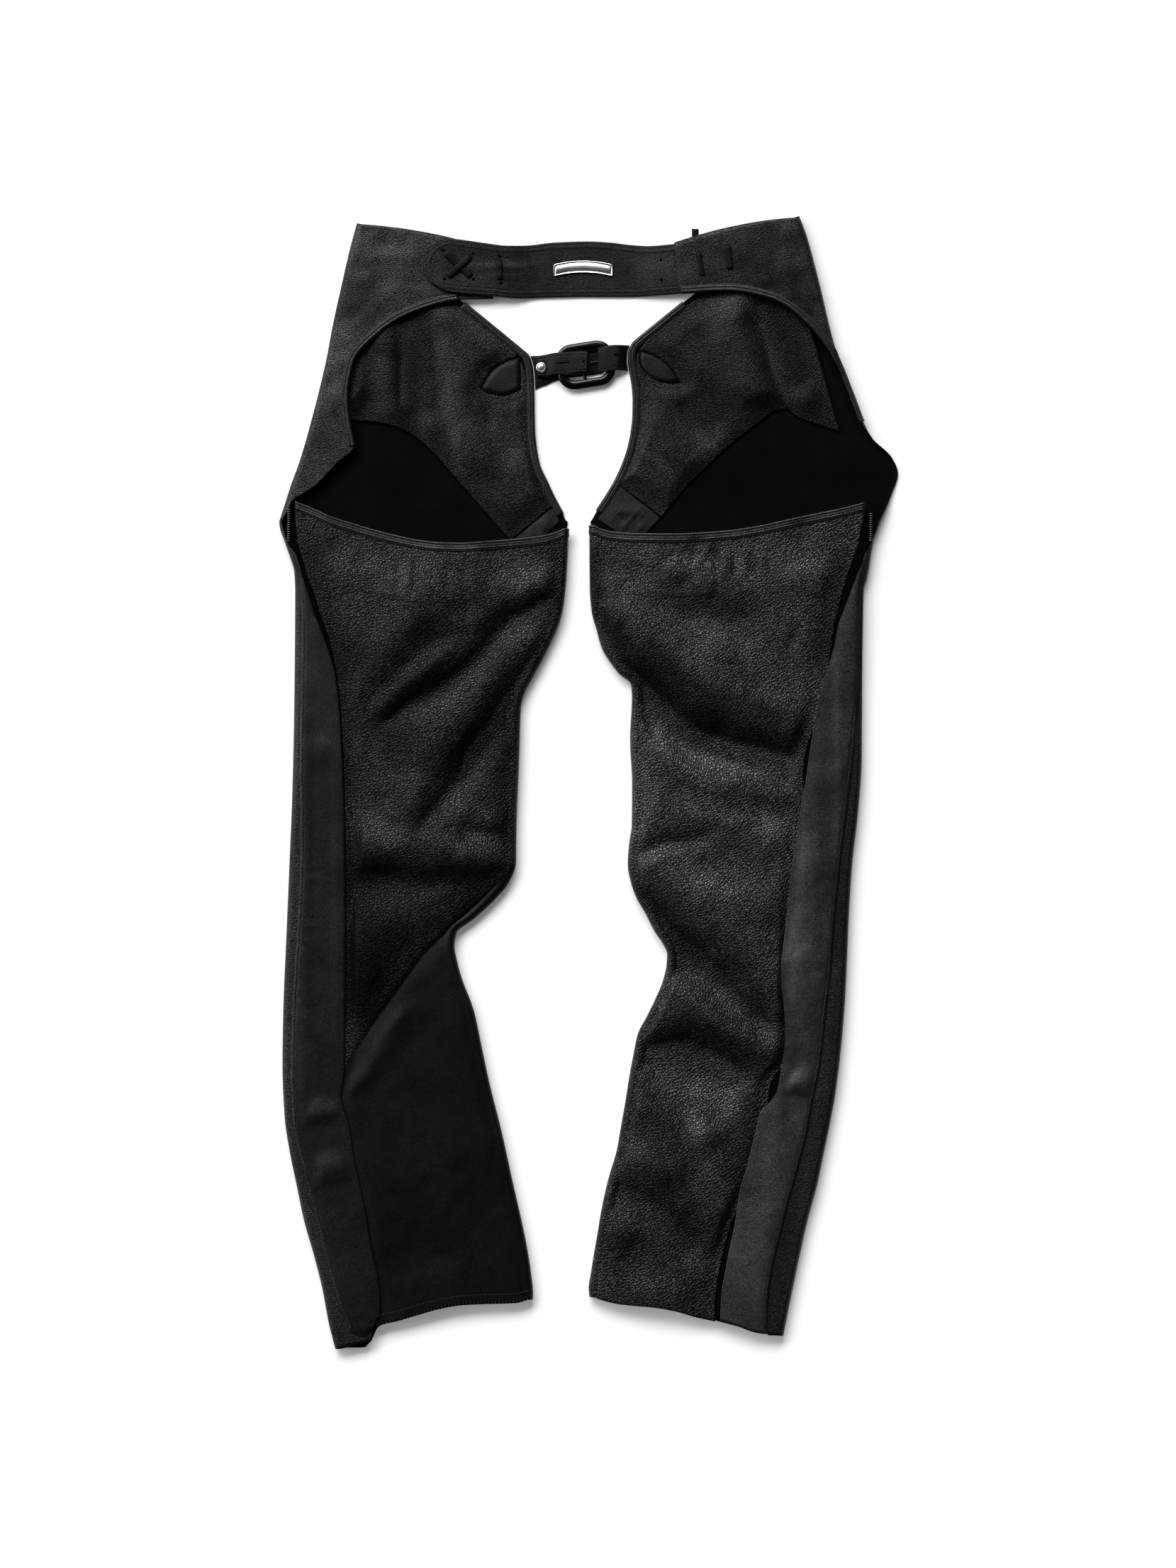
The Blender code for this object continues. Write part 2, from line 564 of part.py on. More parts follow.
def fold_height(x, y, folds):
    """Soft ridges and troughs at each place, which run out towards their ends."""
    total = np.zeros(np.shape(x))
    for _, height, width, points in folds:
        gap, share, _ = distance_along(x, y, points)
        fade = smoothstep(np.minimum(share, 1 - share) * 5 + 0.25)
        total = total + height * fade * np.exp(-((gap / width) ** 2))
    return total


def twist_height(x, y):
    """The leather above the twist line stands proud of the panel below it."""
    gap, share, side = distance_along(x, y, LEFT_TWIST)
    above = side < 0
    fade = smoothstep(np.minimum(share * 6, (1 - share) * 4))
    lift = TWIST_LIFT * np.exp(-gap / TWIST_REACH) * smoothstep(gap / TWIST_EDGE + 0.5)
    drop = -TWIST_DROP * np.exp(-gap / (TWIST_REACH / 2))
    return np.where(above, lift, drop) * fade


def inseam_reach(level):
    """How far inside the inner fold the seam under the leg lies."""
    return INSEAM_REACH * (1 - smoothstep((level - INSEAM_TAPER_START) / INSEAM_TAPER)) + INSEAM_LEAST


class Leg:
    """One leg's outlines, read by level: a level is a row's height up the leg before hem and top slant."""

    def __init__(self, side, outer, inner, seam, flap, back_edge, hem, top_edge, folds, levels):
        self.side = side
        self.levels = levels
        self.front_levels = levels[:-1:2] + levels[-1:]
        self.curves = {"outer": outer, "inner": inner, "seam": seam, "flap": flap, "back": back_edge}
        self.hem = hem
        self.top_edge = top_edge
        self.folds = folds

    def lie(self, x, level, top=False):
        """The real y of a place on a row."""
        low = smoothstep((HEM_LEVEL + HEM_FADE - level) / HEM_FADE)
        y = level + low * (self.hem(x) - HEM_LEVEL)
        if top:
            high = smoothstep((level - TOP_LEVEL + TOP_FADE) / TOP_FADE)
            y = y + high * (self.top_edge(x) - TOP_LEVEL)
        return y

    def edge(self, name, level, top=False):
        """Where a row meets one of the outlines: (x, y)."""
        y = level
        for _ in range(3):
            x = self.curves[name](y)
            y = self.lie(x, level, top)
        return np.array([x, y])

    def chord(self, name, level, reach=None):
        """A place on an edge of the front panel, which is straight between its rows."""
        points = []
        for place in self.front_levels:
            if reach is None:
                points.append(self.edge(name, place))
            else:
                x = self.curves[name](place) + self.side * reach(place)
                points.append((x, self.lie(x, place)))
        x = np.interp(level, self.front_levels, [point[0] for point in points])
        y = np.interp(level, self.front_levels, [point[1] for point in points])
        return np.array([x, y])

    def inseam(self, level, shift):
        """The seam under the leg, moved by shift towards the inner fold."""
        return self.chord("inner", level, inseam_reach) - np.array([self.side * shift, 0.0])

    def outward(self, name, level):
        """Unit vector out of the leg, square to one of its folds."""
        slope = (self.curves[name](level + 4) - self.curves[name](level - 4)) / 8
        sign = self.side if name == "outer" else -self.side
        square = np.array([1.0, -slope]) * sign
        return square / np.hypot(*square)

    def back_height(self, x, y, share):
        """Height of the back panel's wall; share runs from its zip edge to the inner fold."""
        share = np.asarray(share, float)
        crown = CROWN * np.sin(np.pi * np.clip(share, 0, 1)) ** 0.7
        room = smoothstep((share - 0.05) / 0.1) * smoothstep((1 - share) / 0.07)
        height = fold_height(x, y, self.folds)
        if self.side < 0:
            height = height + twist_height(x, y)
        return FOLD_TOP + np.maximum((crown + height) * room, -TROUGH)


LEFT_LEG = Leg(-1, LEFT_OUTER, LEFT_INNER, LEFT_SEAM, LEFT_FLAP, LEFT_BACK_EDGE, LEFT_HEM,
               LEFT_TOP_EDGE, LEFT_FOLDS, LEFT_LEVELS)
RIGHT_LEG = Leg(1, RIGHT_OUTER, RIGHT_INNER, RIGHT_SEAM, RIGHT_FLAP, RIGHT_BACK_EDGE, RIGHT_HEM,
                RIGHT_TOP_EDGE, RIGHT_FOLDS, RIGHT_LEVELS)


def wrapped_section(start, fold, wrap, square, turn, wrap_height, flat_y=None, bow=0.0, wrap_bow=0.0):
    """One row of a front panel: flat on the table, round the outer fold and back over the top."""
    centre = fold - square * (FOLD + PANEL / 2)
    points = []
    for i in range(FLAT_COLUMNS + 1):
        f = i / FLAT_COLUMNS
        place = start + (centre - start) * f
        if flat_y is not None:
            place = np.array([place[0], flat_y(place[0])])
        place = place + np.array([0.0, bow * 4 * f * (1 - f)])
        points.append((place[0], place[1], PANEL / 2))
    last = np.array([points[-1][0], points[-1][1]])
    angle = math.radians(turn)
    end = last + square * FOLD * math.sin(angle)
    end_height = PANEL / 2 + FOLD * (1 - math.cos(angle))
    arc_length = FOLD * angle
    wrap_length = np.dot(end - wrap, square)
    if turn < 179 or wrap_length < 1.0:
        wrap_length = 0.0
    else:
        wrap_length = np.hypot(*(end - wrap))
    columns = FOLD_COLUMNS + WRAP_COLUMNS
    arc_share = max(FOLD_COLUMNS / columns, arc_length / (arc_length + wrap_length))
    for i in range(1, columns + 1):
        f = i / columns
        if f <= arc_share + 1e-9:
            theta = angle * f / arc_share
            place = last + square * FOLD * math.sin(theta)
            points.append((place[0], place[1], PANEL / 2 + FOLD * (1 - math.cos(theta))))
        else:
            g = (f - arc_share) / (1 - arc_share)
            place = end + (wrap - end) * g + np.array([0.0, wrap_bow * 4 * g * (1 - g)])
            points.append((place[0], place[1], end_height + (wrap_height - end_height) * g))
    return points


def natural_turn(fold, wrap, square):
    """How far the fold turns to bring the wall's edge to the place of the wrapped edge."""
    inward = np.dot(fold - wrap, square)
    reach = (FOLD + PANEL / 2 - inward) / FOLD
    if reach <= 0:
        return 180.0
    return 180.0 - math.degrees(math.asin(min(reach, 1.0)))


def leg_rows(leg, levels):
    """The front panel's rows from the hem to the crotch."""
    rows = []
    for level in levels:
        fold = leg.edge("outer", level)
        wrap = leg.edge("seam", level)
        square = leg.outward("outer", fold[1])
        turn = natural_turn(fold, wrap, square)
        rows.append(wrapped_section(
            leg.inseam(level, 0.0), fold, wrap, square, turn, FOLD_TOP,
            flat_y=lambda x, level=level: leg.lie(x, level),
        ))
    return rows


def fan_reader(fan):
    """The fan table's columns as smooth curves of the row number."""
    return {
        name: curve(*[(i, row[column]) for i, row in enumerate(fan)])
        for column, name in enumerate(FAN_COLUMNS)
    }


def fan_rows(side, fan, yoke_height, places):
    """The front panel's rows above the crotch, read at row numbers."""
    read = fan_reader(fan)
    last = len(fan) - 1
    rows = []
    for t in places:
        start = np.array([read["a_x"](t), read["a_y"](t)])
        fold = np.array([read["b_x"](t), read["b_y"](t)])
        wrap = np.array([read["c_x"](t), read["c_y"](t)])
        before = max(t - 0.3, 0.0)
        after = min(t + 0.3, float(last))
        along = np.array([read["b_x"](after) - read["b_x"](before), read["b_y"](after) - read["b_y"](before)])
        square = np.array([along[1], -along[0]]) * side
        square = square / np.hypot(*square)
        share = smoothstep(t - last + 1)
        rows.append(wrapped_section(
            start, fold, wrap, square, float(read["turn"](t)), float(yoke_height(wrap[0])),
            bow=WAIST_BOW * share, wrap_bow=YOKE_BOW * share,
        ))
    return rows


def back_rows(leg, levels):
    """The back panel's rows: over the leg, round the inner fold and under it to the inseam."""
    rows = []
    for level in levels:
        start = leg.edge("back", level, top=True)
        fold = leg.edge("inner", level, top=True)
        square = leg.outward("inner", level)
        centre = fold - square * (FOLD + PANEL / 2)
        under = leg.inseam(level, GAP)
        turn = math.pi * (1 - CROTCH_UNTURNED * smoothstep((level - CROTCH_LEVEL) / CROTCH_FADE))
        points = []
        for i in range(BACK_COLUMNS + 1):
            f = i / BACK_COLUMNS
            x = start[0] + (centre[0] - start[0]) * f
            y = leg.lie(x, level, top=True)
            points.append((x, y, float(leg.back_height(x, y, f))))
        last = np.array(points[-1][:2])
        for i in range(1, FOLD_COLUMNS + 1):
            theta = turn * i / FOLD_COLUMNS
            place = last + square * FOLD * math.sin(theta)
            points.append((place[0], place[1], PANEL / 2 + FOLD * (1 + math.cos(theta))))
        end = np.array(points[-1])
        target = np.array([under[0], under[1], PANEL / 2])
        if level > CROTCH_LEVEL:
            target = end - np.array([0.0, 0.0, CROTCH_DROP])
        for i in range(1, UNDER_COLUMNS + 1):
            points.append(tuple(end + (target - end) * i / UNDER_COLUMNS))
        rows.append(points)
    return rows


def line_reader(points):
    """A smooth line through points, read by its share from 0 to 1."""
    last = len(points) - 1
    xs = curve(*[(i / last, point[0]) for i, point in enumerate(points)])
    ys = curve(*[(i / last, point[1]) for i, point in enumerate(points)])
    return lambda share: np.array([float(xs(share)), float(ys(share))])


def lining_rows(lower, upper, folds, rows, columns):
    """A lining spread between its lower and upper edges, with its soft ridges."""
    low = line_reader(lower)
    high = line_reader(upper)
    grid = []
    for i in range(rows + 1):
        g = i / rows
        row = []
        for j in range(columns + 1):
            f = j / columns
            place = low(f) * (1 - g) + high(f) * g
            room = smoothstep(min(1 - g, f * 1.5, (1 - f) * 1.5) * 6)
            height = LINING_LIFT + room * float(fold_height(place[0], place[1], folds))
            row.append((place[0], place[1], height))
        grid.append(row)
    return grid


def leaf_outline(sides, scale=1.0):
    """The outline of a leaf-shaped opening: an arc for each side, between its corners."""
    points = []
    for start, end, bulge in sides:
        start = np.array(start, float)
        end = np.array(end, float)
        step = end - start
        square = np.array([step[1], -step[0]]) / np.hypot(*step)
        pieces = 6 if bulge else 1
        for i in range(pieces):
            f = i / pieces
            points.append(start + step * f + square * bulge * 4 * f * (1 - f))
    middle = np.mean(points, axis=0)
    return [middle + (point - middle) * scale for point in points]


def strip_rows(edge, inward, upward, band, lift, step, turn):
    """A binding over an edge: inner side, edge and the part turned down, as rows along the edge."""
    rows = []
    for place, inner, up, width in zip(edge, inward, upward, band):
        top = place + up * lift
        rows.append((tuple(top + inner * width), tuple(top - inner * step), tuple(top - inner * step - up * turn)))
    return rows


def flat_normals(points, side):
    """Unit vectors to one side of a line of points, level with the table."""
    places = np.array([point[:2] for point in points], float)
    along = np.gradient(places, axis=0)
    square = np.stack([-along[:, 1], along[:, 0], np.zeros(len(places))], axis=1) * side
    return square / np.linalg.norm(square, axis=1)[:, None]


def make_panels(leg, fan, yoke_height, word, finishes, group):
    places = [i * 0.5 for i in range(1, 2 * (len(fan) - 1) + 1)]
    rows = leg_rows(leg, leg.front_levels) + fan_rows(leg.side, fan, yoke_height, places)
    sheet(f"front_panel_{word}", rows, PANEL, finishes["suede"], group)
    sheet(f"back_panel_{word}", back_rows(leg, leg.levels), PANEL, finishes["leather"], group)


def make_flap_and_zip(leg, ends, word, finishes, group):
    low, high = ends
    levels = [low] + [level for level in leg.front_levels if low + 6 < level < high - 6] + [high]
    flap = []
    for level in levels:
        seam = leg.edge("seam", level)
        free = leg.edge("flap", level)
        start_x = seam[0] + leg.side * FLAP_START
        back = leg.edge("back", level)
        inner = leg.edge("inner", level)
        share = (free[0] - back[0]) / (inner[0] - back[0])
        edge_height = float(leg.back_height(free[0], free[1], share))
        row = []
        for i in range(FLAP_COLUMNS + 1):
            f = i / FLAP_COLUMNS
            x = start_x + (free[0] - start_x) * f
            height = FOLD_TOP + (edge_height - FOLD_TOP) * f + PANEL / 2 + FLAP_GAP + OVERLAY / 2
            row.append((x, leg.lie(x, level), height))
        flap.append(row)
    sheet(f"zip_flap_{word}", flap, OVERLAY, finishes["binding"], group)
    tape = []
    for level in [level for level in leg.levels if low <= level < TOP_LEVEL] + [TAPE_TOP]:
        seam = leg.chord("seam", level)
        back = leg.edge("back", level)
        tape.append([
            (seam[0] - leg.side * TAPE_GAP, seam[1], FOLD_TOP - TAPE_DROP),
            (back[0] + leg.side * TAPE_GAP, leg.lie(back[0], level), FOLD_TOP - TAPE_DROP),
        ])
    sheet(f"zip_{word}", tape, TAPE_WALL, finishes["zip"], group)


def make_bindings(leg, fan, yoke_height, word, seat_range, waist_share, finishes, group):
    side = leg.side
    last = len(fan) - 1
    read = fan_reader(fan)
    edge = [(float(read["a_x"](t)), float(read["a_y"](t)), 0.0) for t in np.arange(0.8, last + 0.1, 0.55)]
    waist = fan_rows(side, fan, yoke_height, [last])[0]
    edge = edge[:-1] + [waist[0][:2] + (0.0,), waist[1][:2] + (0.0,)]
    f = waist_share * FLAT_COLUMNS - 1
    edge.append(tuple(np.array(waist[1][:2] + (0.0,)) * (1 - f) + np.array(waist[2][:2] + (0.0,)) * f))
    edge = [np.array(point) for point in edge]
    lift = PANEL + GAP + LINING + GAP + BINDING / 2
    ups = [np.array([0.0, 0.0, 1.0])] * len(edge)
    rows = strip_rows(edge, flat_normals(edge, -side), ups, [EDGE_BAND] * len(edge), lift, BINDING_STEP,
                      lift - FRONT_BINDING_FOOT)
    sheet(f"front_binding_{word}", rows, BINDING, finishes["binding"], group)

    places = np.linspace(seat_range[0], seat_range[1], round((seat_range[1] - seat_range[0]) * 2) + 1)
    sections = fan_rows(side, fan, yoke_height, places)
    edge = [np.array(section[-1]) for section in sections]
    squares = flat_normals(edge, -side)
    inward = []
    ups = []
    bands = []
    for section, square in zip(sections, squares):
        step = np.array(section[-2]) - np.array(section[-1])
        level = np.hypot(step[0], step[1])
        lean = np.array([square[0] * level, square[1] * level, step[2]])
        lean = lean / np.linalg.norm(lean)
        up = np.array([0.0, 0.0, 1.0]) - lean[2] * lean
        inward.append(lean)
        ups.append(up / np.linalg.norm(up))
        bands.append(EDGE_BAND if np.hypot(*step[:2]) > 2.5 else EDGE_BAND * 0.6)
    lift = PANEL / 2 + GAP + BINDING / 2 + BINDING_ROOM
    rows = strip_rows(edge, inward, ups, bands, lift, BINDING_STEP, BINDING_TURN + GAP)
    sheet(f"seat_binding_{word}", rows, BINDING, finishes["binding"], group)

    top, under = back_rows(leg, [TOP_LEVEL + 6, TOP_LEVEL + 6 - THIGH_BAND])
    edge = [np.array(point) for point in top[:BACK_COLUMNS + 3]]
    below = [np.array(point) for point in under[:BACK_COLUMNS + 3]]
    inward = []
    ups = []
    bands = []
    centre = edge[BACK_COLUMNS] - np.array([0.0, 0.0, FOLD])
    for i, (point, inner) in enumerate(zip(edge, below)):
        reach = inner - point
        bands.append(float(np.linalg.norm(reach)))
        inward.append(reach / np.linalg.norm(reach))
        up = np.array([0.0, 0.0, 1.0]) if i <= BACK_COLUMNS else (point - centre) / np.linalg.norm(point - centre)
        ups.append(up)
    rows = strip_rows(edge, inward, ups, bands, lift + BINDING_ROOM, BINDING_STEP, BINDING_TURN + GAP)
    sheet(f"thigh_binding_{word}", rows, BINDING, finishes["binding"], group)


def make_lining(side, lower, upper, folds, facing, leaf, word, finishes, group, cutters):
    finish = finishes["lining"]
    grid = lining_rows(lower, upper, folds, LINING_ROWS, LINING_COLUMNS)
    lining = sheet(f"front_lining_{word}", grid, LINING, finish, group)
    hole = plate(f"leaf_cutter_{word}", leaf_outline(leaf), *LEAF_CUT, finish, cutters)
    boolean(lining, meshed(hole, finish, cutters), "DIFFERENCE")
    low = PANEL + GAP
    plate(f"strap_root_{word}", leaf_outline(leaf, LEAF_SCALE), low, low + ROOT_WALL, finishes["leather"], group)
    shift = np.array([-side * FACING_SHIFT[0], -FACING_SHIFT[1]])
    seam_start = np.array(upper[0]) + shift
    seam_end = np.array(lower[0]) + shift
    rows = []
    for i in range(5):
        f = i / 4
        row = []
        for j in range(4):
            g = j / 3
            near = np.array(facing[0]) * (1 - g) + seam_start * g
            far = np.array(facing[1]) * (1 - g) + seam_end * g
            place = near * (1 - f) + far * f
            row.append((place[0], place[1], LINING_LIFT))
        rows.append(row)
    sheet(f"thigh_facing_{word}", rows, LINING, finishes["lining"], group)


def belt_height(x, y):
    return float(BELT_HEIGHT(x)) + float(fold_height(x, y, BELT_RIDGES))


def make_belt(finishes, group):
    round_end = BELT_START + BELT_ROUND
    xs = [round_end - BELT_ROUND * math.cos(math.radians(angle)) for angle in (14, 28, 45, 65, 90)]
    count = round((BELT_END - round_end) / 12)
    xs = xs + [round_end + (BELT_END - round_end) * i / count for i in range(1, count + 1)]
    rows = []
    for x in xs:
        middle = (float(BELT_TOP(x)) + float(BELT_BOTTOM(x))) / 2
        half = (float(BELT_TOP(x)) - float(BELT_BOTTOM(x))) / 2
        if x < round_end:
            half = half * math.sqrt(1 - ((round_end - x) / BELT_ROUND) ** 2)
        rows.append([(x, middle + half * k, belt_height(x, middle + half * k)) for k in (-1, -0.5, 0, 0.5, 1)])
    sheet("back_belt", rows, BELT, finishes["leather"], group)


def stroke(name, start, end, height, hump, waist, finishes, group):
    """One stroke of the flat lacing from hole to hole."""
    start = np.array(start, float)
    end = np.array(end, float)
    along = (end - start) / np.hypot(*(end - start))
    square = np.array([-along[1], along[0]])
    rows = []
    steps = 8 if hump else 4
    for i in range(steps + 1):
        f = i / steps
        place = start + (end - start) * f
        rise = hump * smoothstep(1 - abs(f - 0.5) / 0.4)
        half = LACE_WIDTH / 2 * (1 - waist * math.sin(math.pi * f))
        z = height(place[0], place[1]) + GAP + THONG / 2 + rise
        rows.append([(*(place + square * half * k), z) for k in (-1, 1)])
    sheet(name, rows, THONG, finishes["leather"], group)


def right_yoke_top(x, y):
    """Top of the right yoke's wall near its end, where it is straight between fold and end."""
    middle = FOLD_TOP - (FOLD_TOP - YOKE_END_LIFT) * (YOKE_FOLD_X - x) / YOKE_RUN
    return middle + PANEL / 2 + YOKE_ROOM


def belt_top(x, y):
    return belt_height(x, y) + BELT / 2 + LACE_ROOM


def make_lacing(finishes, group):
    for strokes, height in ((LEFT_STROKES, belt_top), (RIGHT_STROKES, right_yoke_top)):
        for name, start, end, rise, waist in strokes:
            stroke(name, start, end, height, rise, waist, finishes, group)
    rows = [[(x, y, LACE_END_LIFT) for x in (97.2, 103.6)] for y in (512.0, 516.0, 521.5)]
    sheet("lace_end", rows, THONG, finishes["leather"], group)


def make_plate(finishes, group):
    outline = []
    half_length = PLATE_LENGTH / 2
    half_width = PLATE_WIDTH / 2
    steps = list(range(-PLATE_STEPS, PLATE_STEPS + 1))
    for sign, order in ((1, steps), (-1, steps[::-1])):
        for i in order:
            f = i / PLATE_STEPS
            x = half_length * f
            arch = PLATE_ARCH * (1 - f * f) - PLATE_ARCH / 2
            trim = PLATE_TRIM if abs(i) == PLATE_STEPS else 0.0
            outline.append((PLATE_CENTRE[0] + x, PLATE_CENTRE[1] + arch + sign * (half_width - trim)))
    made = plate("belt_plate", outline, PLATE_BASE, PLATE_BASE + PLATE_WALL, finishes["metal"], group)
    made = meshed(made, finishes["metal"], group)
    rounded = made.modifiers.new("edge", "BEVEL")
    rounded.width = PLATE_EDGE * MM
    rounded.segments = 1
    rounded.limit_method = "ANGLE"


def buckle_place(x, y):
    """A place in the buckle's own axes, turned and moved onto the table."""
    return (
        BUCKLE_CENTRE[0] + x * math.cos(BUCKLE_TILT) - y * math.sin(BUCKLE_TILT),
        BUCKLE_CENTRE[1] + x * math.sin(BUCKLE_TILT) + y * math.cos(BUCKLE_TILT),
    )


def strap_rows(xs, low, high, height, start=None):
    rows = []
    for i, x in enumerate(xs):
        row = []
        for k in (0.0, 0.5, 1.0):
            y = float(low(x)) + (float(high(x)) - float(low(x))) * k
            px = start(y) if start is not None and i == 0 else x
            row.append((px, y, float(height(x))))
        rows.append(row)
    return rows


def make_buckle(finishes, group):
    half_x = BUCKLE_SIZE[0] / 2 - BUCKLE_CORNER
    half_y = BUCKLE_SIZE[1] / 2 - BUCKLE_CORNER
    corner = BUCKLE_CORNER - BUCKLE_BAR
    ring = []
    for quarter, (sx, sy) in enumerate(((1, 1), (-1, 1), (-1, -1), (1, -1))):
        for i in range(7):
            angle = math.radians(90 * quarter + 15 * i)
            x = sx * half_x + corner * math.cos(angle)
            y = sy * half_y + corner * math.sin(angle)
            ring.append((*buckle_place(x, y), BUCKLE_LIFT))
    finish = finishes["metal"]
    frame = meshed(tube("buckle_frame", ring, BUCKLE_BAR, finish, group, closed=True), finish, group)
    for vert in frame.data.vertices:
        vert.co.z = BUCKLE_LIFT * MM + (vert.co.z - BUCKLE_LIFT * MM) * BUCKLE_FLATTEN
    reach = BUCKLE_SIZE[1] / 2 - BUCKLE_BAR
    bar = [(*buckle_place(-2.5, y), BUCKLE_LIFT) for y in (-reach, reach)]
    middle = meshed(tube("middle_bar", bar, BUCKLE_MIDDLE_BAR, finish, group), finish, group)
    boolean(frame, middle, "UNION")
    prong = [(*buckle_place(x, PRONG_OFFSET), PRONG_LIFT) for x in (4.0, 10.0, 16.5)]
    tube("buckle_prong", prong, PRONG_RADIUS, finish, group)

    left = fan_reader(LEFT_FAN)
    right = fan_reader(RIGHT_FAN)
    left_edge = curve(*[(float(left["a_y"](t)), float(left["a_x"](t))) for t in range(6, 13)])
    right_edge = curve(*[(float(right["a_y"](t)), float(right["a_x"](t))) for t in range(7, 14)])

    low = curve((-52, 371.0), (-40, 375.3), (-33, 378.6), (-18, 382.0), (0, 384.0), (14, 386.4))
    high = curve((-52, 402.0), (-40, 403.0), (-33, 404.5), (-18, 406.0), (0, 407.6), (14, 409.8))
    rows = strap_rows([-51.5, -46, -40, -33.8, -18, -2, 13], low, high, lambda x: UNDER_STRAP_LIFT,
                      lambda y: float(left_edge(y)) + 2.2)
    sheet("buckle_strap_left", rows, UNDER_STRAP, finishes["leather"], group)

    low = curve((-49, 383.5), (-40, 382.6), (-32, 384.8), (-18, 383.6), (0, 385.4))
    high = curve((-49, 401.4), (-33, 404.2), (-18, 405.4), (0, 406.6))
    height = curve((-49, 4.5), (-39.5, 4.5), (-32, BUCKLE_STRAP_LIFT), (-5, BUCKLE_STRAP_LIFT))
    rows = strap_rows([-48.8, -44, -39.5, -36, -32, -20, -5], low, high, height)
    reach = BUCKLE_STRAP_LIFT - BUCKLE_LIFT
    for angle in (35, 70, 105):
        turned = math.radians(angle)
        rows.append([(-5 + reach * math.sin(turned), y, BUCKLE_LIFT + reach * math.cos(turned))
                     for y in (385.2, 395.6, 406.0)])
    sheet("buckle_loop_left", rows, STRAP, finishes["leather"], group)

    low = curve((9, 385.6), (25, 388.8), (38.5, 388.2))
    high = curve((9, 409.2), (22, 411.6), (38.5, 412.2))
    height = curve((9, 7.9), (18, BUCKLE_STRAP_LIFT), (29.5, BUCKLE_STRAP_LIFT), (36.5, 1.6), (38, 1.6))
    xs = [38, 35.5, 33, 30.5, 27.5, 23, 18, 14, 9]
    rows = strap_rows(xs, low, high, height, lambda y: float(right_edge(y)) - 2.4)
    sheet("buckle_strap_right", rows, STRAP, finishes["leather"], group)

    bpy.ops.mesh.primitive_cone_add(
        vertices=20, radius1=SNAP_RADIUS * MM, radius2=SNAP_RADIUS * SNAP_TOP * MM, depth=SNAP_WALL * MM,
        location=(SNAP_CENTRE[0] * MM, SNAP_CENTRE[1] * MM, (SNAP_BASE + SNAP_WALL / 2) * MM),
    )
    snap = bpy.context.object
    snap.name = "snap_head"
    snap.data.materials.append(finish)
    for owner in list(snap.users_collection):
        owner.objects.unlink(snap)
    group.objects.link(snap)


def main():
    clear_scene()
    group = collection("leather_chaps")
    cutters = collection("cutters")
    finishes = {name: material(name) for name in COLOURS}
    make_panels(LEFT_LEG, LEFT_FAN, LEFT_YOKE_HEIGHT, "left", finishes, group)
    make_panels(RIGHT_LEG, RIGHT_FAN, RIGHT_YOKE_HEIGHT, "right", finishes, group)
    make_flap_and_zip(LEFT_LEG, LEFT_FLAP_ENDS, "left", finishes, group)
    make_flap_and_zip(RIGHT_LEG, RIGHT_FLAP_ENDS, "right", finishes, group)
    make_bindings(LEFT_LEG, LEFT_FAN, LEFT_YOKE_HEIGHT, "left", LEFT_SEAT_ROWS, LEFT_WAIST_SHARE,
                  finishes, group)
    make_bindings(RIGHT_LEG, RIGHT_FAN, RIGHT_YOKE_HEIGHT, "right", RIGHT_SEAT_ROWS, RIGHT_WAIST_SHARE,
                  finishes, group)
    make_lining(-1, LEFT_LINING_LOWER, LEFT_LINING_UPPER, LEFT_LINING_FOLDS, LEFT_FACING, LEFT_LEAF,
                "left", finishes, group, cutters)
    make_lining(1, RIGHT_LINING_LOWER, RIGHT_LINING_UPPER, RIGHT_LINING_FOLDS, RIGHT_FACING, RIGHT_LEAF,
                "right", finishes, group, cutters)
    make_belt(finishes, group)
    make_lacing(finishes, group)
    make_plate(finishes, group)
    make_buckle(finishes, group)


main()
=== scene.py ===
"""Looks of the leather chaps: leather, suede, bound edges, stitching, zips and metal.

The tables are in millimetres, in the part's own frame: +X to the right of the laid-out garment,
+Y towards the waist, +Z up, z = 0 on the table. "Left" and "right" are sides as seen from above.
"""

import math

import bmesh
import bpy
import numpy as np
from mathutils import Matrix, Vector
from mathutils.bvhtree import BVHTree


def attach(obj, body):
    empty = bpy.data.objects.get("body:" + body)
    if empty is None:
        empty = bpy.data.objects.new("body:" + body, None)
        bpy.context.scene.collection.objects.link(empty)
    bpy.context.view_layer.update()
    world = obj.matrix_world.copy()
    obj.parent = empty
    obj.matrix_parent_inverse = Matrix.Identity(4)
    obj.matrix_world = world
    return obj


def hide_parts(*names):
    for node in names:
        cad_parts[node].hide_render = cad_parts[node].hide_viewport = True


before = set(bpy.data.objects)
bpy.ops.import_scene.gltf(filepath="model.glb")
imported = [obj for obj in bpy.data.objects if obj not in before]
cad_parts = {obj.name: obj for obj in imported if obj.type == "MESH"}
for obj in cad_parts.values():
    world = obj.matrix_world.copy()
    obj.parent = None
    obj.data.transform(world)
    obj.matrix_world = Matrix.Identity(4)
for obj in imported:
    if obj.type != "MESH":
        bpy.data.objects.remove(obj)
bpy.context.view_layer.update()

MM = 0.001

# Walls, in millimetres
PANEL = 1.4
LINING = 1.1
BINDING = 1.0
BELT = 2.8
STRAP = 2.4
THONG = 1.2
GAP = 0.3
OVERLAY = 1.1

# Fold of a panel where the leg lies flat: radius of the middle of its wall
FOLD = 4.6
FOLD_TOP = PANEL / 2 + 2 * FOLD
CROWN = 3.0

# Deepest trough of a back panel below its edges
TROUGH = 2.4

# Reach of the back panel under the leg, from the inner fold to the inseam
INSEAM_REACH = 31.0

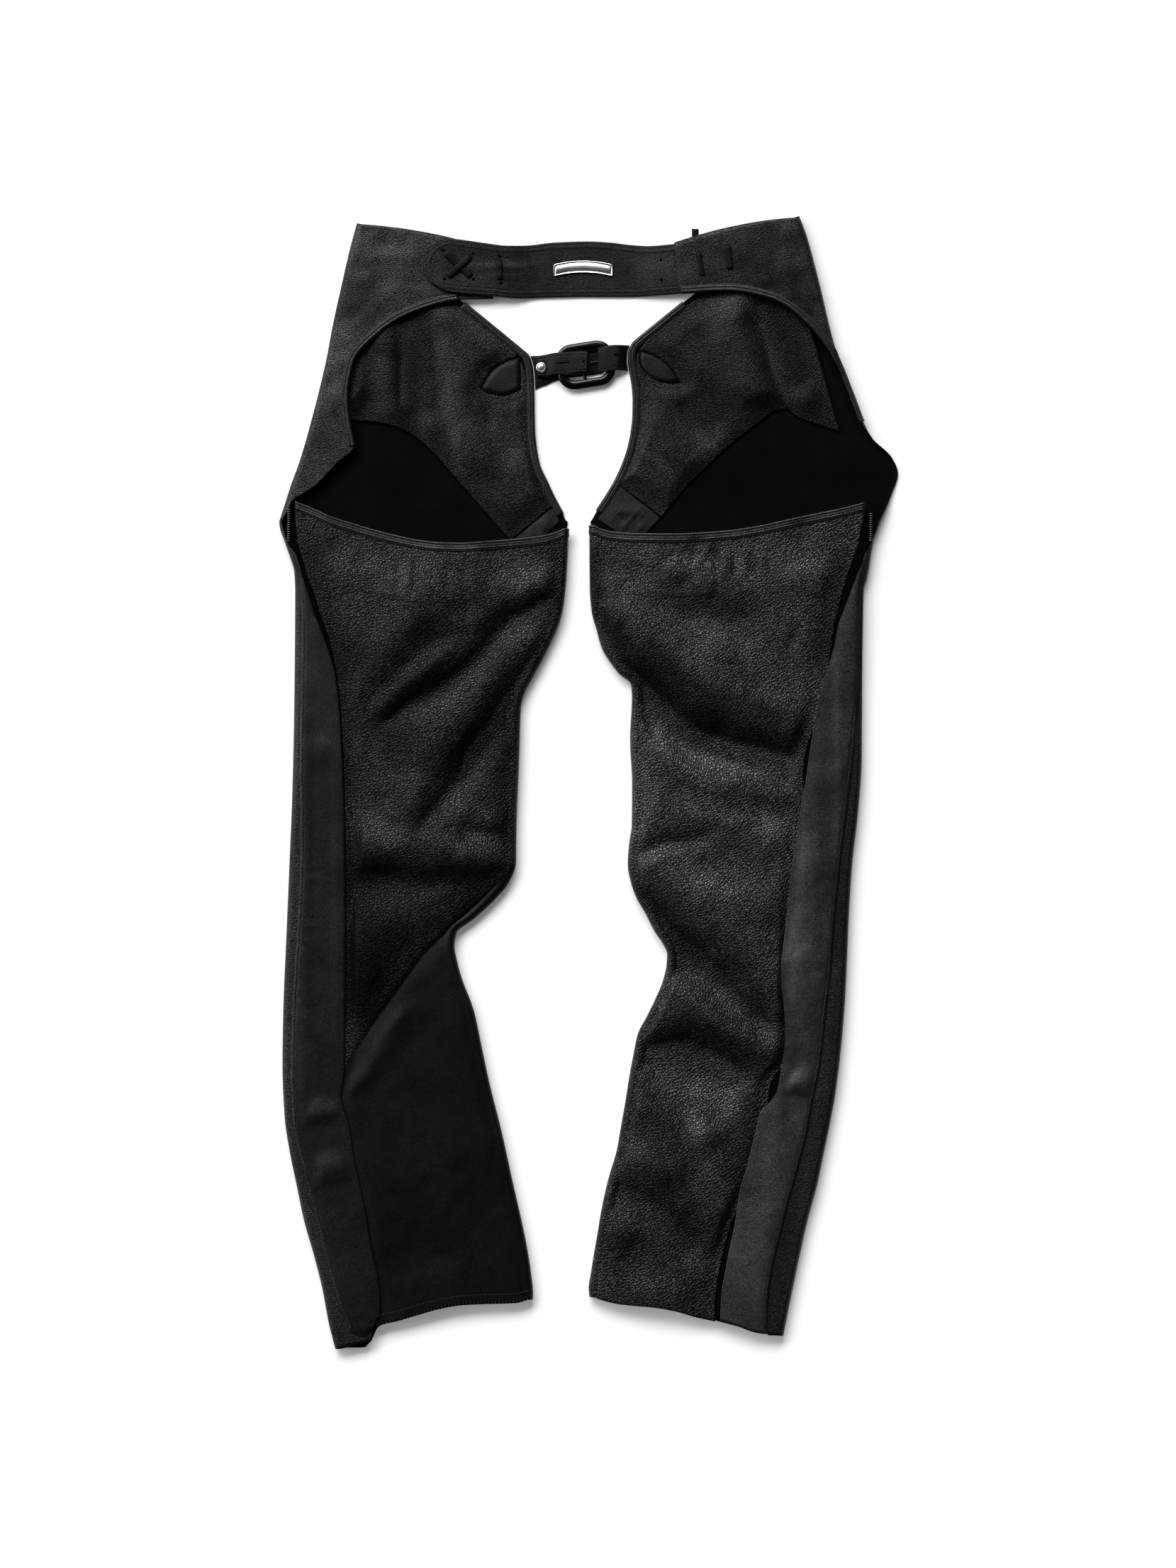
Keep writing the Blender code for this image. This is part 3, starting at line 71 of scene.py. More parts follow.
# Levels up the leg where the hem's slant and the back panel's dipped top edge die out
HEM_LEVEL = -500.0
HEM_FADE = 70.0
TOP_LEVEL = 240.0
TOP_FADE = 90.0


def curve(*points):
    """A smooth value read from (place, value) pairs, with no overshoot between them."""
    places = np.array([point[0] for point in points], float)
    values = np.array([point[1] for point in points], float)
    steps = np.diff(places)
    slopes = np.diff(values) / steps
    tangents = np.zeros(len(points))
    tangents[0] = slopes[0]
    tangents[-1] = slopes[-1]
    for i in range(1, len(points) - 1):
        if slopes[i - 1] * slopes[i] > 0:
            tangents[i] = 2 / (1 / slopes[i - 1] + 1 / slopes[i])

    def read(place):
        place = np.clip(place, places[0], places[-1])
        i = np.clip(np.searchsorted(places, place, side="right") - 1, 0, len(steps) - 1)
        h = steps[i]
        f = (place - places[i]) / h
        return (
            (1 + 2 * f) * (1 - f) ** 2 * values[i]
            + f * (1 - f) ** 2 * h * tangents[i]
            + f * f * (3 - 2 * f) * values[i + 1]
            + f * f * (f - 1) * h * tangents[i + 1]
        )

    return read


def smoothstep(f):
    """A share from 0 to 1, eased at both ends."""
    f = np.clip(f, 0.0, 1.0)
    return f * f * (3 - 2 * f)


# The left leg's outlines: (y, x)
LEFT_OUTER = curve(
    (-533, -238.8), (-507, -245.3), (-475, -251.3), (-443, -259.3), (-410, -268.7), (-378, -275.4),
    (-346, -282.0), (-314, -286.7), (-266, -288.7), (-218, -288.0), (-138, -284.7), (-74, -282.0),
    (-10, -279.4), (86, -277.4), (180, -276.7), (200, -277.6), (214, -281.5), (230, -287.0),
    (246, -291.8), (262, -286.3),
)
LEFT_INNER = curve(
    (-484, -52.5), (-474, -52.4), (-459, -54.5), (-427, -60.4), (-378, -71.4), (-330, -82.0),
    (-282, -94.0), (-250, -100.8), (-218, -107.7), (-186, -119.5), (-170, -123.8), (-154, -126.5),
    (-138, -123.8), (-122, -105.0), (-106, -87.8), (-90, -74.4), (-74, -68.4), (-42, -68.0),
    (22, -65.5), (70, -64.0), (86, -60.4), (102, -52.4), (118, -43.7), (134, -35.7), (150, -28.5),
    (166, -24.0), (198, -20.8), (246, -18.6),
)
LEFT_SEAM = curve(
    (-533, -206.0), (-520, -204.0), (-514, -205.0), (-510, -226.0), (-497, -234.0), (-480, -239.5),
    (-461, -245.0),
    (-428, -253.5), (-400, -260.5), (-375, -267.0), (-353, -272.5), (-320, -279.5), (-270, -281.5),
    (-200, -279.5), (-120, -274.5), (-60, -272.5), (40, -273.0), (120, -270.8), (180, -272.3),
    (206, -276.5), (224, -282.0), (246, -289.3),
)
LEFT_FLAP = curve(
    (-510, -197.5), (-486, -197.5), (-465, -200.0), (-443, -205.0), (-405, -211.7), (-378, -217.5),
    (-353, -223.0), (-320, -228.3), (-306, -233.3), (-296, -235.6), (-270, -232.5), (-200, -232.5),
    (-40, -233.3), (40, -235.8), (80, -238.3), (103, -241.0), (122, -246.0), (143, -253.0),
    (160, -259.5), (182, -265.8), (200, -272.0), (213, -276.6), (225, -280.5),
)
LEFT_BACK_EDGE = curve(
    (-514, -199.5), (-486, -204.0), (-443, -212.0), (-405, -219.0), (-353, -230.0), (-300, -240.0),
    (-270, -232.5), (-240, -230.0), (-100, -229.0), (-40, -229.0), (0, -230.0), (40, -231.5), (80, -234.5),
    (103, -237.5), (122, -240.8), (143, -247.0), (160, -253.0), (182, -260.2), (200, -266.6),
    (213, -270.4), (225, -273.6), (246, -276.0), (262, -276.4),
)
LEFT_HEM = curve(
    (-240, -533.0), (-212, -533.0), (-206, -528.0), (-200, -515.0), (-196, -511.0), (-180, -506.8),
    (-160, -500.8), (-140, -495.2), (-120, -491.8), (-100, -490.8), (-70, -490.0), (-58, -487.0),
    (-52, -480.0),
)
LEFT_TOP_EDGE = curve(
    (-281, 260.0), (-260, 251.7), (-240, 243.0), (-220, 236.7), (-200, 230.8), (-180, 225.8),
    (-160, 221.7), (-140, 219.5), (-120, 219.0), (-100, 220.3), (-60, 223.7), (-44, 225.8),
    (-30, 229.5), (-21, 234.5), (-17, 240.0),
)

# The right leg's outlines: (y, x)
RIGHT_OUTER = curve(
    (-523, 183.0), (-507, 186.0), (-475, 192.6), (-443, 199.2), (-410, 206.6), (-378, 215.3),
    (-346, 222.0), (-314, 228.6), (-282, 234.0), (-234, 239.3), (-186, 242.6), (-122, 245.3),
    (-74, 248.6), (-26, 254.0), (22, 257.3), (118, 258.0), (182, 259.3), (198, 263.3), (230, 268.7),
    (246, 274.7),
)
RIGHT_INNER = curve(
    (-482, 0.8), (-474, -0.2), (-456, 2.8), (-429, 7.6), (-405, 11.6), (-389, 14.9), (-373, 18.9),
    (-349, 26.0), (-328, 29.8), (-298, 35.0), (-276, 38.5), (-258, 41.9), (-241, 45.4), (-224, 54.0),
    (-206, 62.7), (-189, 69.6), (-172, 73.3), (-161, 73.9), (-149, 69.6), (-136, 61.0), (-120, 52.8),
    (-103, 43.3), (-90, 39.0), (-77, 36.7), (-60, 37.8), (-40, 40.5), (0, 40.8), (40, 38.9),
    (80, 40.6), (92, 40.0), (99, 37.7), (106, 28.7), (117, 19.7), (130, 11.7), (148, 6.6),
    (162, 2.7), (186, 0.9), (246, 0.5),
)
RIGHT_SEAM = curve(
    (-523, 169.0), (-494, 169.6), (-459, 173.9), (-424, 182.4), (-396, 189.0), (-362, 198.5),
    (-328, 207.0), (-302, 211.5), (-267, 218.5), (-224, 223.6), (-172, 229.3), (-120, 233.5),
    (-80, 237.7), (-23, 244.5), (27, 250.4), (92, 255.5), (155, 256.9), (186, 257.6), (206, 262.0),
    (228, 266.0), (246, 272.0),
)
RIGHT_FLAP = curve(
    (-523, 126.3), (-485, 127.9), (-464, 131.0), (-442, 135.0), (-419, 140.0), (-384, 145.5),
    (-360, 152.5), (-338, 157.9), (-324, 161.3), (-310, 164.8), (-302, 173.0), (-291, 180.4),
    (-279, 183.0), (-238, 186.0), (-214, 184.7), (-193, 182.0), (-172, 181.2), (-151, 183.8),
    (-120, 187.0), (-70, 192.5), (-33, 198.3), (0, 204.0), (47, 210.8), (92, 220.0), (130, 231.6),
    (148, 235.0), (167, 242.0), (191, 251.0), (212, 260.0), (224, 264.2),
)
RIGHT_BACK_EDGE = curve(
    (-520, 118.6), (-496, 119.0), (-474, 120.7), (-451, 124.7), (-432, 129.5), (-416, 134.3),
    (-397, 143.0), (-375, 155.0), (-340, 165.0), (-312, 168.5), (-290, 170.0), (-272, 178.0),
    (-262, 189.0), (-238, 193.5), (-193, 189.5), (-151, 191.0), (-120, 194.5), (-70, 198.0),
    (-40, 203.0), (-10, 203.5), (5, 202.0), (20, 203.4), (40, 208.0), (60, 217.0), (92, 223.5),
    (110, 226.5), (130, 229.0), (148, 232.0), (165, 236.0), (183, 241.0), (200, 246.0),
    (212, 250.5), (228, 255.0), (246, 258.5), (262, 260.0),
)
RIGHT_HEM = curve(
    (0, -481.0), (9, -486.0), (30, -491.0), (60, -493.5), (80, -497.0), (100, -503.0), (120, -507.6),
    (141, -513.0), (157, -518.6), (171, -520.4), (184, -520.6),
)
RIGHT_TOP_EDGE = curve(
    (0, 245.0), (2, 240.5), (7, 234.5), (20, 230.0), (45, 228.0), (81, 227.6), (108, 228.8),
    (135, 231.0), (162, 235.3), (188, 241.0), (215, 246.8), (240, 252.0), (264, 258.5),
)


# Front panels above the crotch, a row for each fanned section:
# inner bound edge (a_x, a_y), outer fold (b_x, b_y), wrapped edge (c_x, c_y), turn of the fold
FAN_COLUMNS = ("a_x", "a_y", "b_x", "b_y", "c_x", "c_y", "turn")
LEFT_FAN = (
    (-20.0, 244, -291.8, 246, -289.3, 246, 143),
    (-26.0, 256, -286.3, 263, -281.0, 264, 180),
    (-33.5, 270, -280.5, 281, -257.0, 280, 180),
    (-40.0, 284, -273.5, 300, -237.0, 301, 180),
    (-47.2, 300, -267.0, 321, -221.0, 317, 180),
    (-50.2, 316, -261.0, 343, -225.6, 341, 180),
    (-51.8, 332, -254.5, 368, -227.3, 365, 180),
    (-52.2, 348, -247.5, 398, -222.0, 396, 180),
    (-52.4, 362, -241.5, 430, -200.0, 422, 180),
    (-52.8, 376, -234.5, 462, -169.0, 442, 180),
    (-53.6, 388, -228.0, 491, -123.0, 455, 180),
    (-55.0, 396, -223.5, 509, -90.0, 456, 180),
    (-57.5, 403, -218.6, 527, -89.5, 502, 180),
)
RIGHT_FAN = (
    (1.8, 246, 274.7, 246, 272.0, 246, 130),
    (9.5, 259, 285.0, 270, 284.3, 270, 70),
    (18.0, 272, 293.3, 291, 292.8, 290, 45),
    (25.5, 285, 287.5, 307, 286.5, 306, 45),
    (32.0, 299, 268.5, 323, 266.0, 322, 100),
    (37.5, 315, 258.8, 340, 256.5, 339, 140),
    (40.8, 331, 251.0, 360, 248.8, 359, 140),
    (42.4, 346, 242.2, 383, 240.0, 382, 140),
    (42.6, 361, 233.0, 408, 226.5, 407, 180),
    (41.6, 375, 226.0, 434, 205.5, 433, 180),
    (39.6, 387, 219.5, 462, 172.0, 456, 180),
    (38.2, 397, 212.5, 490, 130.0, 463.6, 180),
    (38.6, 406, 205.5, 515, 87.0, 461.4, 180),
    (42.0, 414.5, 198.6, 533.7, 80.5, 508.4, 180),
)
# Bow of the waist row: of the flat part over the front, and of the yoke's top edge
WAIST_BOW = 2.0
YOKE_BOW = 4.0

# Height of the yoke's wall towards its end: (x, z)
LEFT_YOKE_HEIGHT = curve((-250, FOLD_TOP), (-215, FOLD_TOP), (-155, 8.0), (-89, 5.6))
RIGHT_YOKE_HEIGHT = curve((80, 8.4), (150, 9.0), (200, FOLD_TOP), (230, FOLD_TOP))

# Slopes of the back panels, a row for each: how far the leather drops across the band, the band's
# width, and points along its middle (x, y). A drop faces the hem, and a negative one faces the waist.
LEFT_SLOPES = (
    ("main fold shade", 2.0, 19, ((-60, 178), (-84, 168), (-104, 152), (-124, 132), (-146, 112),
                                  (-170, 98), (-196, 78))),
    ("main fold", 2.3, 8, ((-20, 181), (-41, 178), (-59, 169), (-78, 158), (-98, 137), (-117, 118),
                           (-133, 105), (-151, 91), (-175, 78), (-205, 54))),
    ("second fold", 1.2, 8, ((-104, 150), (-128, 140), (-147, 140), (-170, 122), (-186, 105), (-205, 84),
                             (-218, 62))),
    ("second fold edge", -0.5, 5, ((-110, 144), (-128, 135), (-147, 118), (-165, 102), (-191, 84),
                                   (-209, 65))),
    ("long fold shade", 1.8, 19, ((-50, 136), (-72, 112), (-92, 88), (-112, 60), (-130, 30), (-150, 0))),
    ("long fold", 2.1, 10, ((-28, 141), (-48, 122), (-64, 101), (-82, 82), (-98, 61), (-115, 37), (-124, 17),
                            (-138, -6), (-156, -27), (-169, -50))),
    ("long fold side", -0.6, 8, ((-92, 88), (-110, 66), (-126, 46), (-140, 30))),
    ("knee pleat", 1.1, 6, ((-64, -55), (-82, -46), (-101, -41), (-119, -38), (-140, -38))),
    ("knee fold", 2.7, 12, ((-74, -80), (-105, -78), (-142, -80), (-188, -78), (-234, -80))),
    ("knee shade", 1.3, 18, ((-90, -92), (-130, -94), (-180, -90), (-226, -90))),
    ("knee patch", -0.9, 9, ((-84, -62), (-105, -63), (-128, -60))),
    ("thigh light", -1.3, 12, ((-165, -60), (-185, -54), (-206, -42), (-232, -30))),
    ("crotch light", -1.2, 13, ((-84, 158), (-68, 180), (-50, 200), (-34, 212))),
    ("inner light", -0.9, 9, ((-86, 50), (-96, 28), (-100, 8))),
    ("inner light", -0.7, 8, ((-90, -22), (-98, -30), (-110, -36))),
    ("thigh crown", -1.2, 16, ((-150, 10), (-186, 8), (-214, 4))),
    ("upper lit", -0.8, 14, ((-160, 160), (-190, 150), (-212, 140))),
    ("shin light", -0.7, 14, ((-232, -114), (-200, -110), (-168, -106))),
    ("top light", -0.9, 16, ((-262, 224), (-236, 214), (-200, 205), (-150, 196), (-110, 195), (-60, 200))),
    ("shin patch", -0.9, 6, ((-160, -102), (-140, -98), (-124, -94))),
    ("shin fold", 1.6, 12, ((-132, -116), (-150, -128), (-168, -142), (-188, -160), (-202, -184),
                            (-214, -206))),
    ("thigh shade", 1.8, 15, ((-92, 172), (-112, 176), (-134, 168), (-160, 150), (-186, 132))),
    ("twist foot", -1.5, 9, ((-168, -200), (-184, -216), (-198, -238), (-219, -272), (-232, -294))),
)
RIGHT_SLOPES = (
    ("main fold", 4.4, 13, ((-10, 158), (10, 138), (30, 122), (52, 104), (74, 84), (95, 64), (116, 51),
                            (140, 43),
                            (171, 35), (204, 22))),
    ("thigh fold edge", -2.4, 11, ((62, 46), (84, 28), (104, 16), (122, 9), (148, 5), (171, 0), (202, -14))),
    ("knee fold", 1.5, 8, ((34, -70), (60, -57), (76, -50), (99, -46), (126, -46))),
    ("knee pinch", -1.2, 4, ((36, -79), (60, -69), (76, -64), (100, -60))),
    ("crease pair", 1.3, 4, ((0, 189), (12, 182), (22, 168))),
    ("inner crease", 1.2, 4, ((9, 176), (15, 158), (22, 138))),
    ("hip light", -1.2, 9, ((80, 215), (88, 206), (98, 198))),
    ("hip light", -1.1, 9, ((100, 198), (111, 193), (122, 190))),
    ("hip shade", 0.7, 10, ((30, 206), (54, 208), (78, 204))),
    ("hip shade", 0.9, 11, ((76, 170), (104, 167), (130, 164), (160, 160))),
    ("upper light", -1.0, 10, ((120, 146), (131, 134), (144, 116))),
    ("upper light", -1.4, 14, ((184, 208), (214, 206), (240, 202))),
    ("knee light", -1.4, 15, ((120, -26), (156, -36), (194, -48))),
    ("shin light", -1.3, 16, ((96, -88), (126, -98), (164, -102), (190, -100))),
    ("long fold", 4.4, 16, ((26, -78), (45, -95), (58, -108), (78, -127), (100, -147), (119, -166),
                            (139, -184),
                            (156, -205), (172, -224), (186, -240))),
    ("long light", -1.8, 13, ((66, -170), (88, -186), (110, -200), (130, -214), (150, -232), (166, -248))),
    ("calf shade", 3.0, 15, ((30, -244), (60, -240), (92, -236), (124, -246), (150, -268), (166, -292))),
    ("calf light", -3.4, 16, ((42, -286), (76, -298), (106, -312), (138, -326))),
    ("calf light", -2.2, 16, ((32, -336), (66, -346), (98, -356))),
    ("ankle shade", 2.6, 15, ((4, -372), (50, -380), (80, -398), (104, -426), (118, -458))),
    ("ankle light", -1.2, 13, ((6, -392), (28, -400), (46, -414), (60, -432))),
    ("hem light", -1.8, 16, ((30, -462), (66, -466), (104, -472))),
)

# The left leg's twist: leather above this line lies over the smooth panel below it
LEFT_TWIST = ((-66, -70), (-80, -88), (-100, -108), (-123, -128), (-157, -160), (-200, -220), (-234, -272))
TWIST_LIFT = 12.0
TWIST_ROLL = 26.0
TWIST_REACH = 62.0
TWIST_DROP = 2.0
TWIST_HOLLOW = 13.0

# Slopes of the linings, in the same form as those of the back panels
LEFT_LINING_SLOPES = (
    ("band", -2.2, 12, ((-184, 456), (-178, 410), (-176, 372), (-174, 326))),
    ("band", -1.2, 10, ((-150, 446), (-147, 400), (-143, 350), (-140, 312))),
    ("band", -1.6, 12, ((-118, 396), (-108, 356), (-94, 318), (-80, 286))),
    ("band", -1.8, 10, ((-214, 420), (-212, 385), (-210, 340))),
)
RIGHT_LINING_SLOPES = (
    ("band", -4.6, 18, ((146, 466), (158, 425), (172, 388), (188, 350))),
    ("band", -1.8, 11, ((64, 366), (82, 336), (98, 308), (108, 292))),
    ("band", -2.0, 10, ((206, 430), (216, 392), (226, 350))),
)
LINING_LOFT = 3.2

# Distance over which a lining settles down to the edge of its leaf-shaped opening
LEAF_ROOM = 16.0

# Linings: raw lower edge and hidden or bound upper edge, in step along their length
LEFT_LINING_LOWER = ((-73, 228), (-92, 249), (-111, 271), (-128.5, 290.4), (-147, 311.7), (-170.6, 330.4),
                     (-193, 338.4), (-220.6, 341), (-240, 342))
LEFT_LINING_UPPER = ((-34.5, 260), (-46.5, 286), (-53, 316), (-56, 345), (-57.5, 378), (-76, 415),
                     (-118, 446), (-165, 478), (-208, 505))
RIGHT_LINING_LOWER = ((68, 250), (88, 275), (104.5, 291.7), (136, 321), (161, 340), (176, 350.6),
                      (187, 352.5), (196, 345.8), (209, 339.8), (237, 330.5))
RIGHT_LINING_UPPER = ((27.5, 282), (36, 296), (42.5, 313), (47, 338), (47.5, 362), (44.5, 396),
                      (60, 424), (104, 458), (148, 488), (188, 512))
LINING_LIFT = PANEL + GAP + LINING / 2

# Facings below the linings at the crotch: their corners away from the lining seam
LEFT_FACING = ((-27.5, 246.5), (-52, 222))
RIGHT_FACING = ((9.0, 248), (44, 224))

# Leaf-shaped openings of the linings at the strap roots: corners and the bulge of each side
LEFT_LEAF = (
    ((-64.5, 401), (-102, 371), 7.0), ((-102, 371), (-63.5, 371), 6.5), ((-63.5, 371), (-64.5, 401), 0.0),
)
RIGHT_LEAF = (
    ((86.8, 377), (48.5, 407), 6.0), ((48.5, 407), (49.5, 392), 0.8), ((49.5, 392), (86.8, 377), 6.5),
)

# Strap leather in those openings: its size as a share of the opening's, and its wall
LEAF_SHARE = 0.965
LEAF_WALL = 0.8

# Parts of the yoke that carry the seat binding, in rows of the fan table, and the share of the
# waist's flat part that the front binding covers
LEFT_SEAT = (4.0, 10.0)
RIGHT_SEAT = (5.0, 12.0)
LEFT_WAIST = 0.41
RIGHT_WAIST = 0.33

# Back belt: edges and height along it, and the rounded end
BELT_TOP = curve((-140, 512.4), (-118, 510), (-100, 507.5), (-77, 505), (-60, 505.4), (-32, 508.5),
                 (0, 509.5), (20, 508.5), (38, 506.3), (57, 505), (77, 506.3), (110, 511), (150, 519))
BELT_BOTTOM = curve((-140, 463.5), (-118, 460.5), (-90, 458.8), (-68, 457), (-38, 458.2), (0, 458.8),
                    (38, 458.8), (64, 460), (85, 461.6), (110, 466), (150, 469))
BELT_HEIGHT = curve((-156, 10.6), (-120, 9.3), (-92, 8.2), (-74, 6.0), (-46, 1.8), (40, 1.8),
                    (68, 4.6), (80, 5.6), (150, 5.6))
BELT_START = -154.8
BELT_END = 150.0
BELT_ROUND = 25.0
BELT_RIDGES = (
    ("ridge", 0.8, 4, ((-112, 487), (-60, 486), (-38, 487))),
    ("ridge", 0.8, 4, ((-112, 478), (-70, 477), (-40, 479))),
)

# Lacing of belt and yokes: width of each stroke; the ends of each stroke and how far it stands off are given
# where the strokes are made
LACE_WIDTH = 5.4

# Plate on the belt
PLATE_CENTRE = (-5.2, 484.5)
PLATE_LENGTH = 56.0
PLATE_WIDTH = 11.5
PLATE_ARCH = 3.5

# Profile of the plate: mm in from its outline, mm above its base
PLATE_PROFILE = ((0.0, 0.0), (0.0, 1.2), (0.35, 1.6), (0.9, 1.6), (1.3, 0.9), (2.1, 0.9), (2.6, 1.3))

# Front buckle: frame, straps and snap
BUCKLE_CENTRE = (-3.0, 393.6)
BUCKLE_SIZE = (55.0, 43.0)
BUCKLE_CORNER = 16.0
BUCKLE_TILT = math.radians(9.0)
BUCKLE_BAR = 4.2
BUCKLE_FLATTEN = 0.5
BUCKLE_MIDDLE_BAR = 1.6
BUCKLE_LIFT = 4.4
BUCKLE_STRAP_LIFT = 8.1
PRONG_RADIUS = 0.8
PRONG_LIFT = 3.0
PRONG_OFFSET = 1.5
UNDER_STRAP = 1.6
UNDER_STRAP_LIFT = 1.1
SNAP_CENTRE = (-44.8, 391.2)

# Columns and spacing of the visual grids
FLAT_COLUMNS = 26
WRAP_COLUMNS = 56
BACK_COLUMNS = 104
TURN_COLUMNS = 12
UNDER_COLUMNS = 3
ROW_STEP = 3.1

# The front panel's edge stands over the start of the flap: reach past the seam and height
LIP = 4.0
LIP_HEIGHT = 1.7
LIP_PROFILE = ((0.4, 0.0), (1.0, 0.35), (1.7, 1.05), (2.4, 1.5), (3.2, 1.68), (3.8, 1.62), (4.0, 1.4))
FLAP_RANGES = {-1: (-492.0, 221.0), 1: (-499.0, 221.0)}

# Creases on the back panels that run up the leg: height, width, points along it
LEFT_FINE = (
    ("outer roll", 2.4, 7, ((-268, 232), (-261, 205), (-254, 172), (-246, 142), (-244, 120))),
    ("outer valley", -1.2, 8, ((-252, 222), (-244, 190), (-239, 158), (-236, 130))),
    ("corner crinkle", 1.1, 2.6, ((-260, 240), (-252, 235), (-244.6, 230), (-234, 227.7))),
    ("upright wrinkle", 0.9, 2.6, ((-221, 228), (-225, 204))),
    ("upright wrinkle", 1.4, 3.4, ((-168, 214), (-172, 174))),
    ("upright groove", -1.3, 2.6, ((-178, 208), (-180, 176))),
    ("upright groove", -1.2, 2.6, ((-163, 210), (-163, 172))),
    ("upright wrinkle", 1.5, 7, ((-154, 214), (-153, 166))),
    ("upright groove", -1.8, 5, ((-132, 212), (-133, 172))),
    ("upright shade", -1.6, 10, ((-118, 214), (-120, 160))),
    ("facing edge", 0.7, 1.6, ((-237, 188), (-147.5, 170))),
    ("pinch", 1.4, 4, ((-232, 48), (-217, 32), (-205, 14))),
    ("pinch", 1.0, 4, ((-193, -23), (-180, -40))),
    ("inner seam", 0.9, 2.4, ((-104, -262), (-94, -300), (-85, -340), (-76, -380), (-67, -430), (-60, -474))),
    ("crown", 1.2, 34, ((-180, -330), (-150, -440))),
)
RIGHT_FINE = (
    ("upright groove", -1.4, 2.8, ((121, 222), (121, 186))),
    ("upright wrinkle", 1.2, 4.5, ((129, 222), (129, 188))),
    ("upright groove", -1.3, 2.8, ((135, 222), (139, 190))),
    ("upright wrinkle", 1.0, 3.2, ((147, 222), (146, 186))),
    ("upright groove", -1.0, 2.6, ((152, 220), (161, 190))),
    ("upright wrinkle", 0.9, 3.0, ((160, 222), (168, 192))),
    ("upright groove", -0.9, 3.0, ((96, 222), (100, 200))),
    ("facing edge", 0.8, 1.6, ((24, 181), (90, 177.6), (156, 181.5))),
    ("edge ridge", 1.8, 4.0, ((14, 174), (12, 160), (14, 146))),
    ("edge ridge", 1.9, 4.5, ((46, 82), (48, 60), (52, 36))),
    ("edge ridge", 1.5, 5.0, ((62, 72), (68, 54), (74, 34))),
    ("edge groove", -1.4, 4.5, ((56, 78), (59, 60), (64, 40))),
    ("knee crown", 1.4, 8, ((66, 4), (66, -36))),
    ("shade", -1.2, 6, ((202, 152), (191, 134), (188, 116))),
    ("calf ridge", 1.5, 10, ((44, -262), (50, -306), (62, -336), (78, -356), (86, -378), (98, -404))),
    ("calf ridge", 0.9, 12, ((102, -306), (112, -346), (122, -396))),
    ("calf trough", -1.1, 10, ((84, -320), (93, -346), (102, -376), (110, -404))),
    ("ankle ridge", 1.1, 7, ((29, -404), (26, -442), (23, -474))),
    ("ankle trough", -0.7, 9, ((42, -420), (38, -450), (40, -474))),
)

# Patches of more or less gloss, painted highlight where the amount is positive and painted shade where it is
# negative: amount, width, points along it
LEFT_PAINTED_LIGHT = (
    (-0.7, 11, ((-30, 174), (-60, 160), (-84, 146), (-104, 126), (-130, 104), (-160, 84), (-200, 56))),
    (-0.5, 13, ((-40, 126), (-66, 96), (-96, 60), (-118, 28), (-140, -10), (-158, -34))),
    (-0.35, 30, ((-190, 70), (-150, 110), (-110, 160))),
    (-0.35, 40, ((-180, 30), (-170, -20))),
    (-0.9, 9, ((-66, -82), (-105, -88), (-150, -90), (-200, -88), (-234, -90))),
    (-0.3, 26, ((-110, 40), (-90, -40))),
    (-1.1, 30, ((-232, -60), (-230, -130), (-222, -190))),
    (-0.9, 26, ((-190, -140), (-206, -176), (-214, -200))),
    (-0.7, 14, ((-262, 214), (-250, 160), (-238, 110), (-233, 60), (-232, 0))),
    (-0.55, 24, ((-214, 120), (-190, 128), (-160, 140))),
    (-0.5, 22, ((-120, 20), (-90, 40), (-84, 70))),
    (-0.5, 20, ((-90, -100), (-140, -104), (-190, -100))),
    (-0.6, 9, ((-26, 214), (-24, 180), (-30, 140), (-52, 96), (-72, 50), (-80, 0), (-80, -50))),
    (0.25, 9, ((-250, 204), (-220, 203), (-190, 198))),
    (0.35, 6, ((-174, 206), (-170, 176))),
    (0.4, 6, ((-150, 204), (-146, 180))),
    (0.25, 14, ((-92, 190), (-66, 196), (-44, 200))),
    (0.4, 12, ((-128, 118), (-98, 142), (-72, 166))),
    (0.15, 18, ((-206, 60), (-204, 12), (-206, -36))),
    (0.3, 13, ((-232, -44), (-206, -46), (-186, -52))),
    (0.4, 10, ((-118, -60), (-92, -62))),
    (0.3, 14, ((-150, 52), (-132, 70), (-104, 96))),
    (0.3, 12, ((-128, -16), (-104, 10))),
)
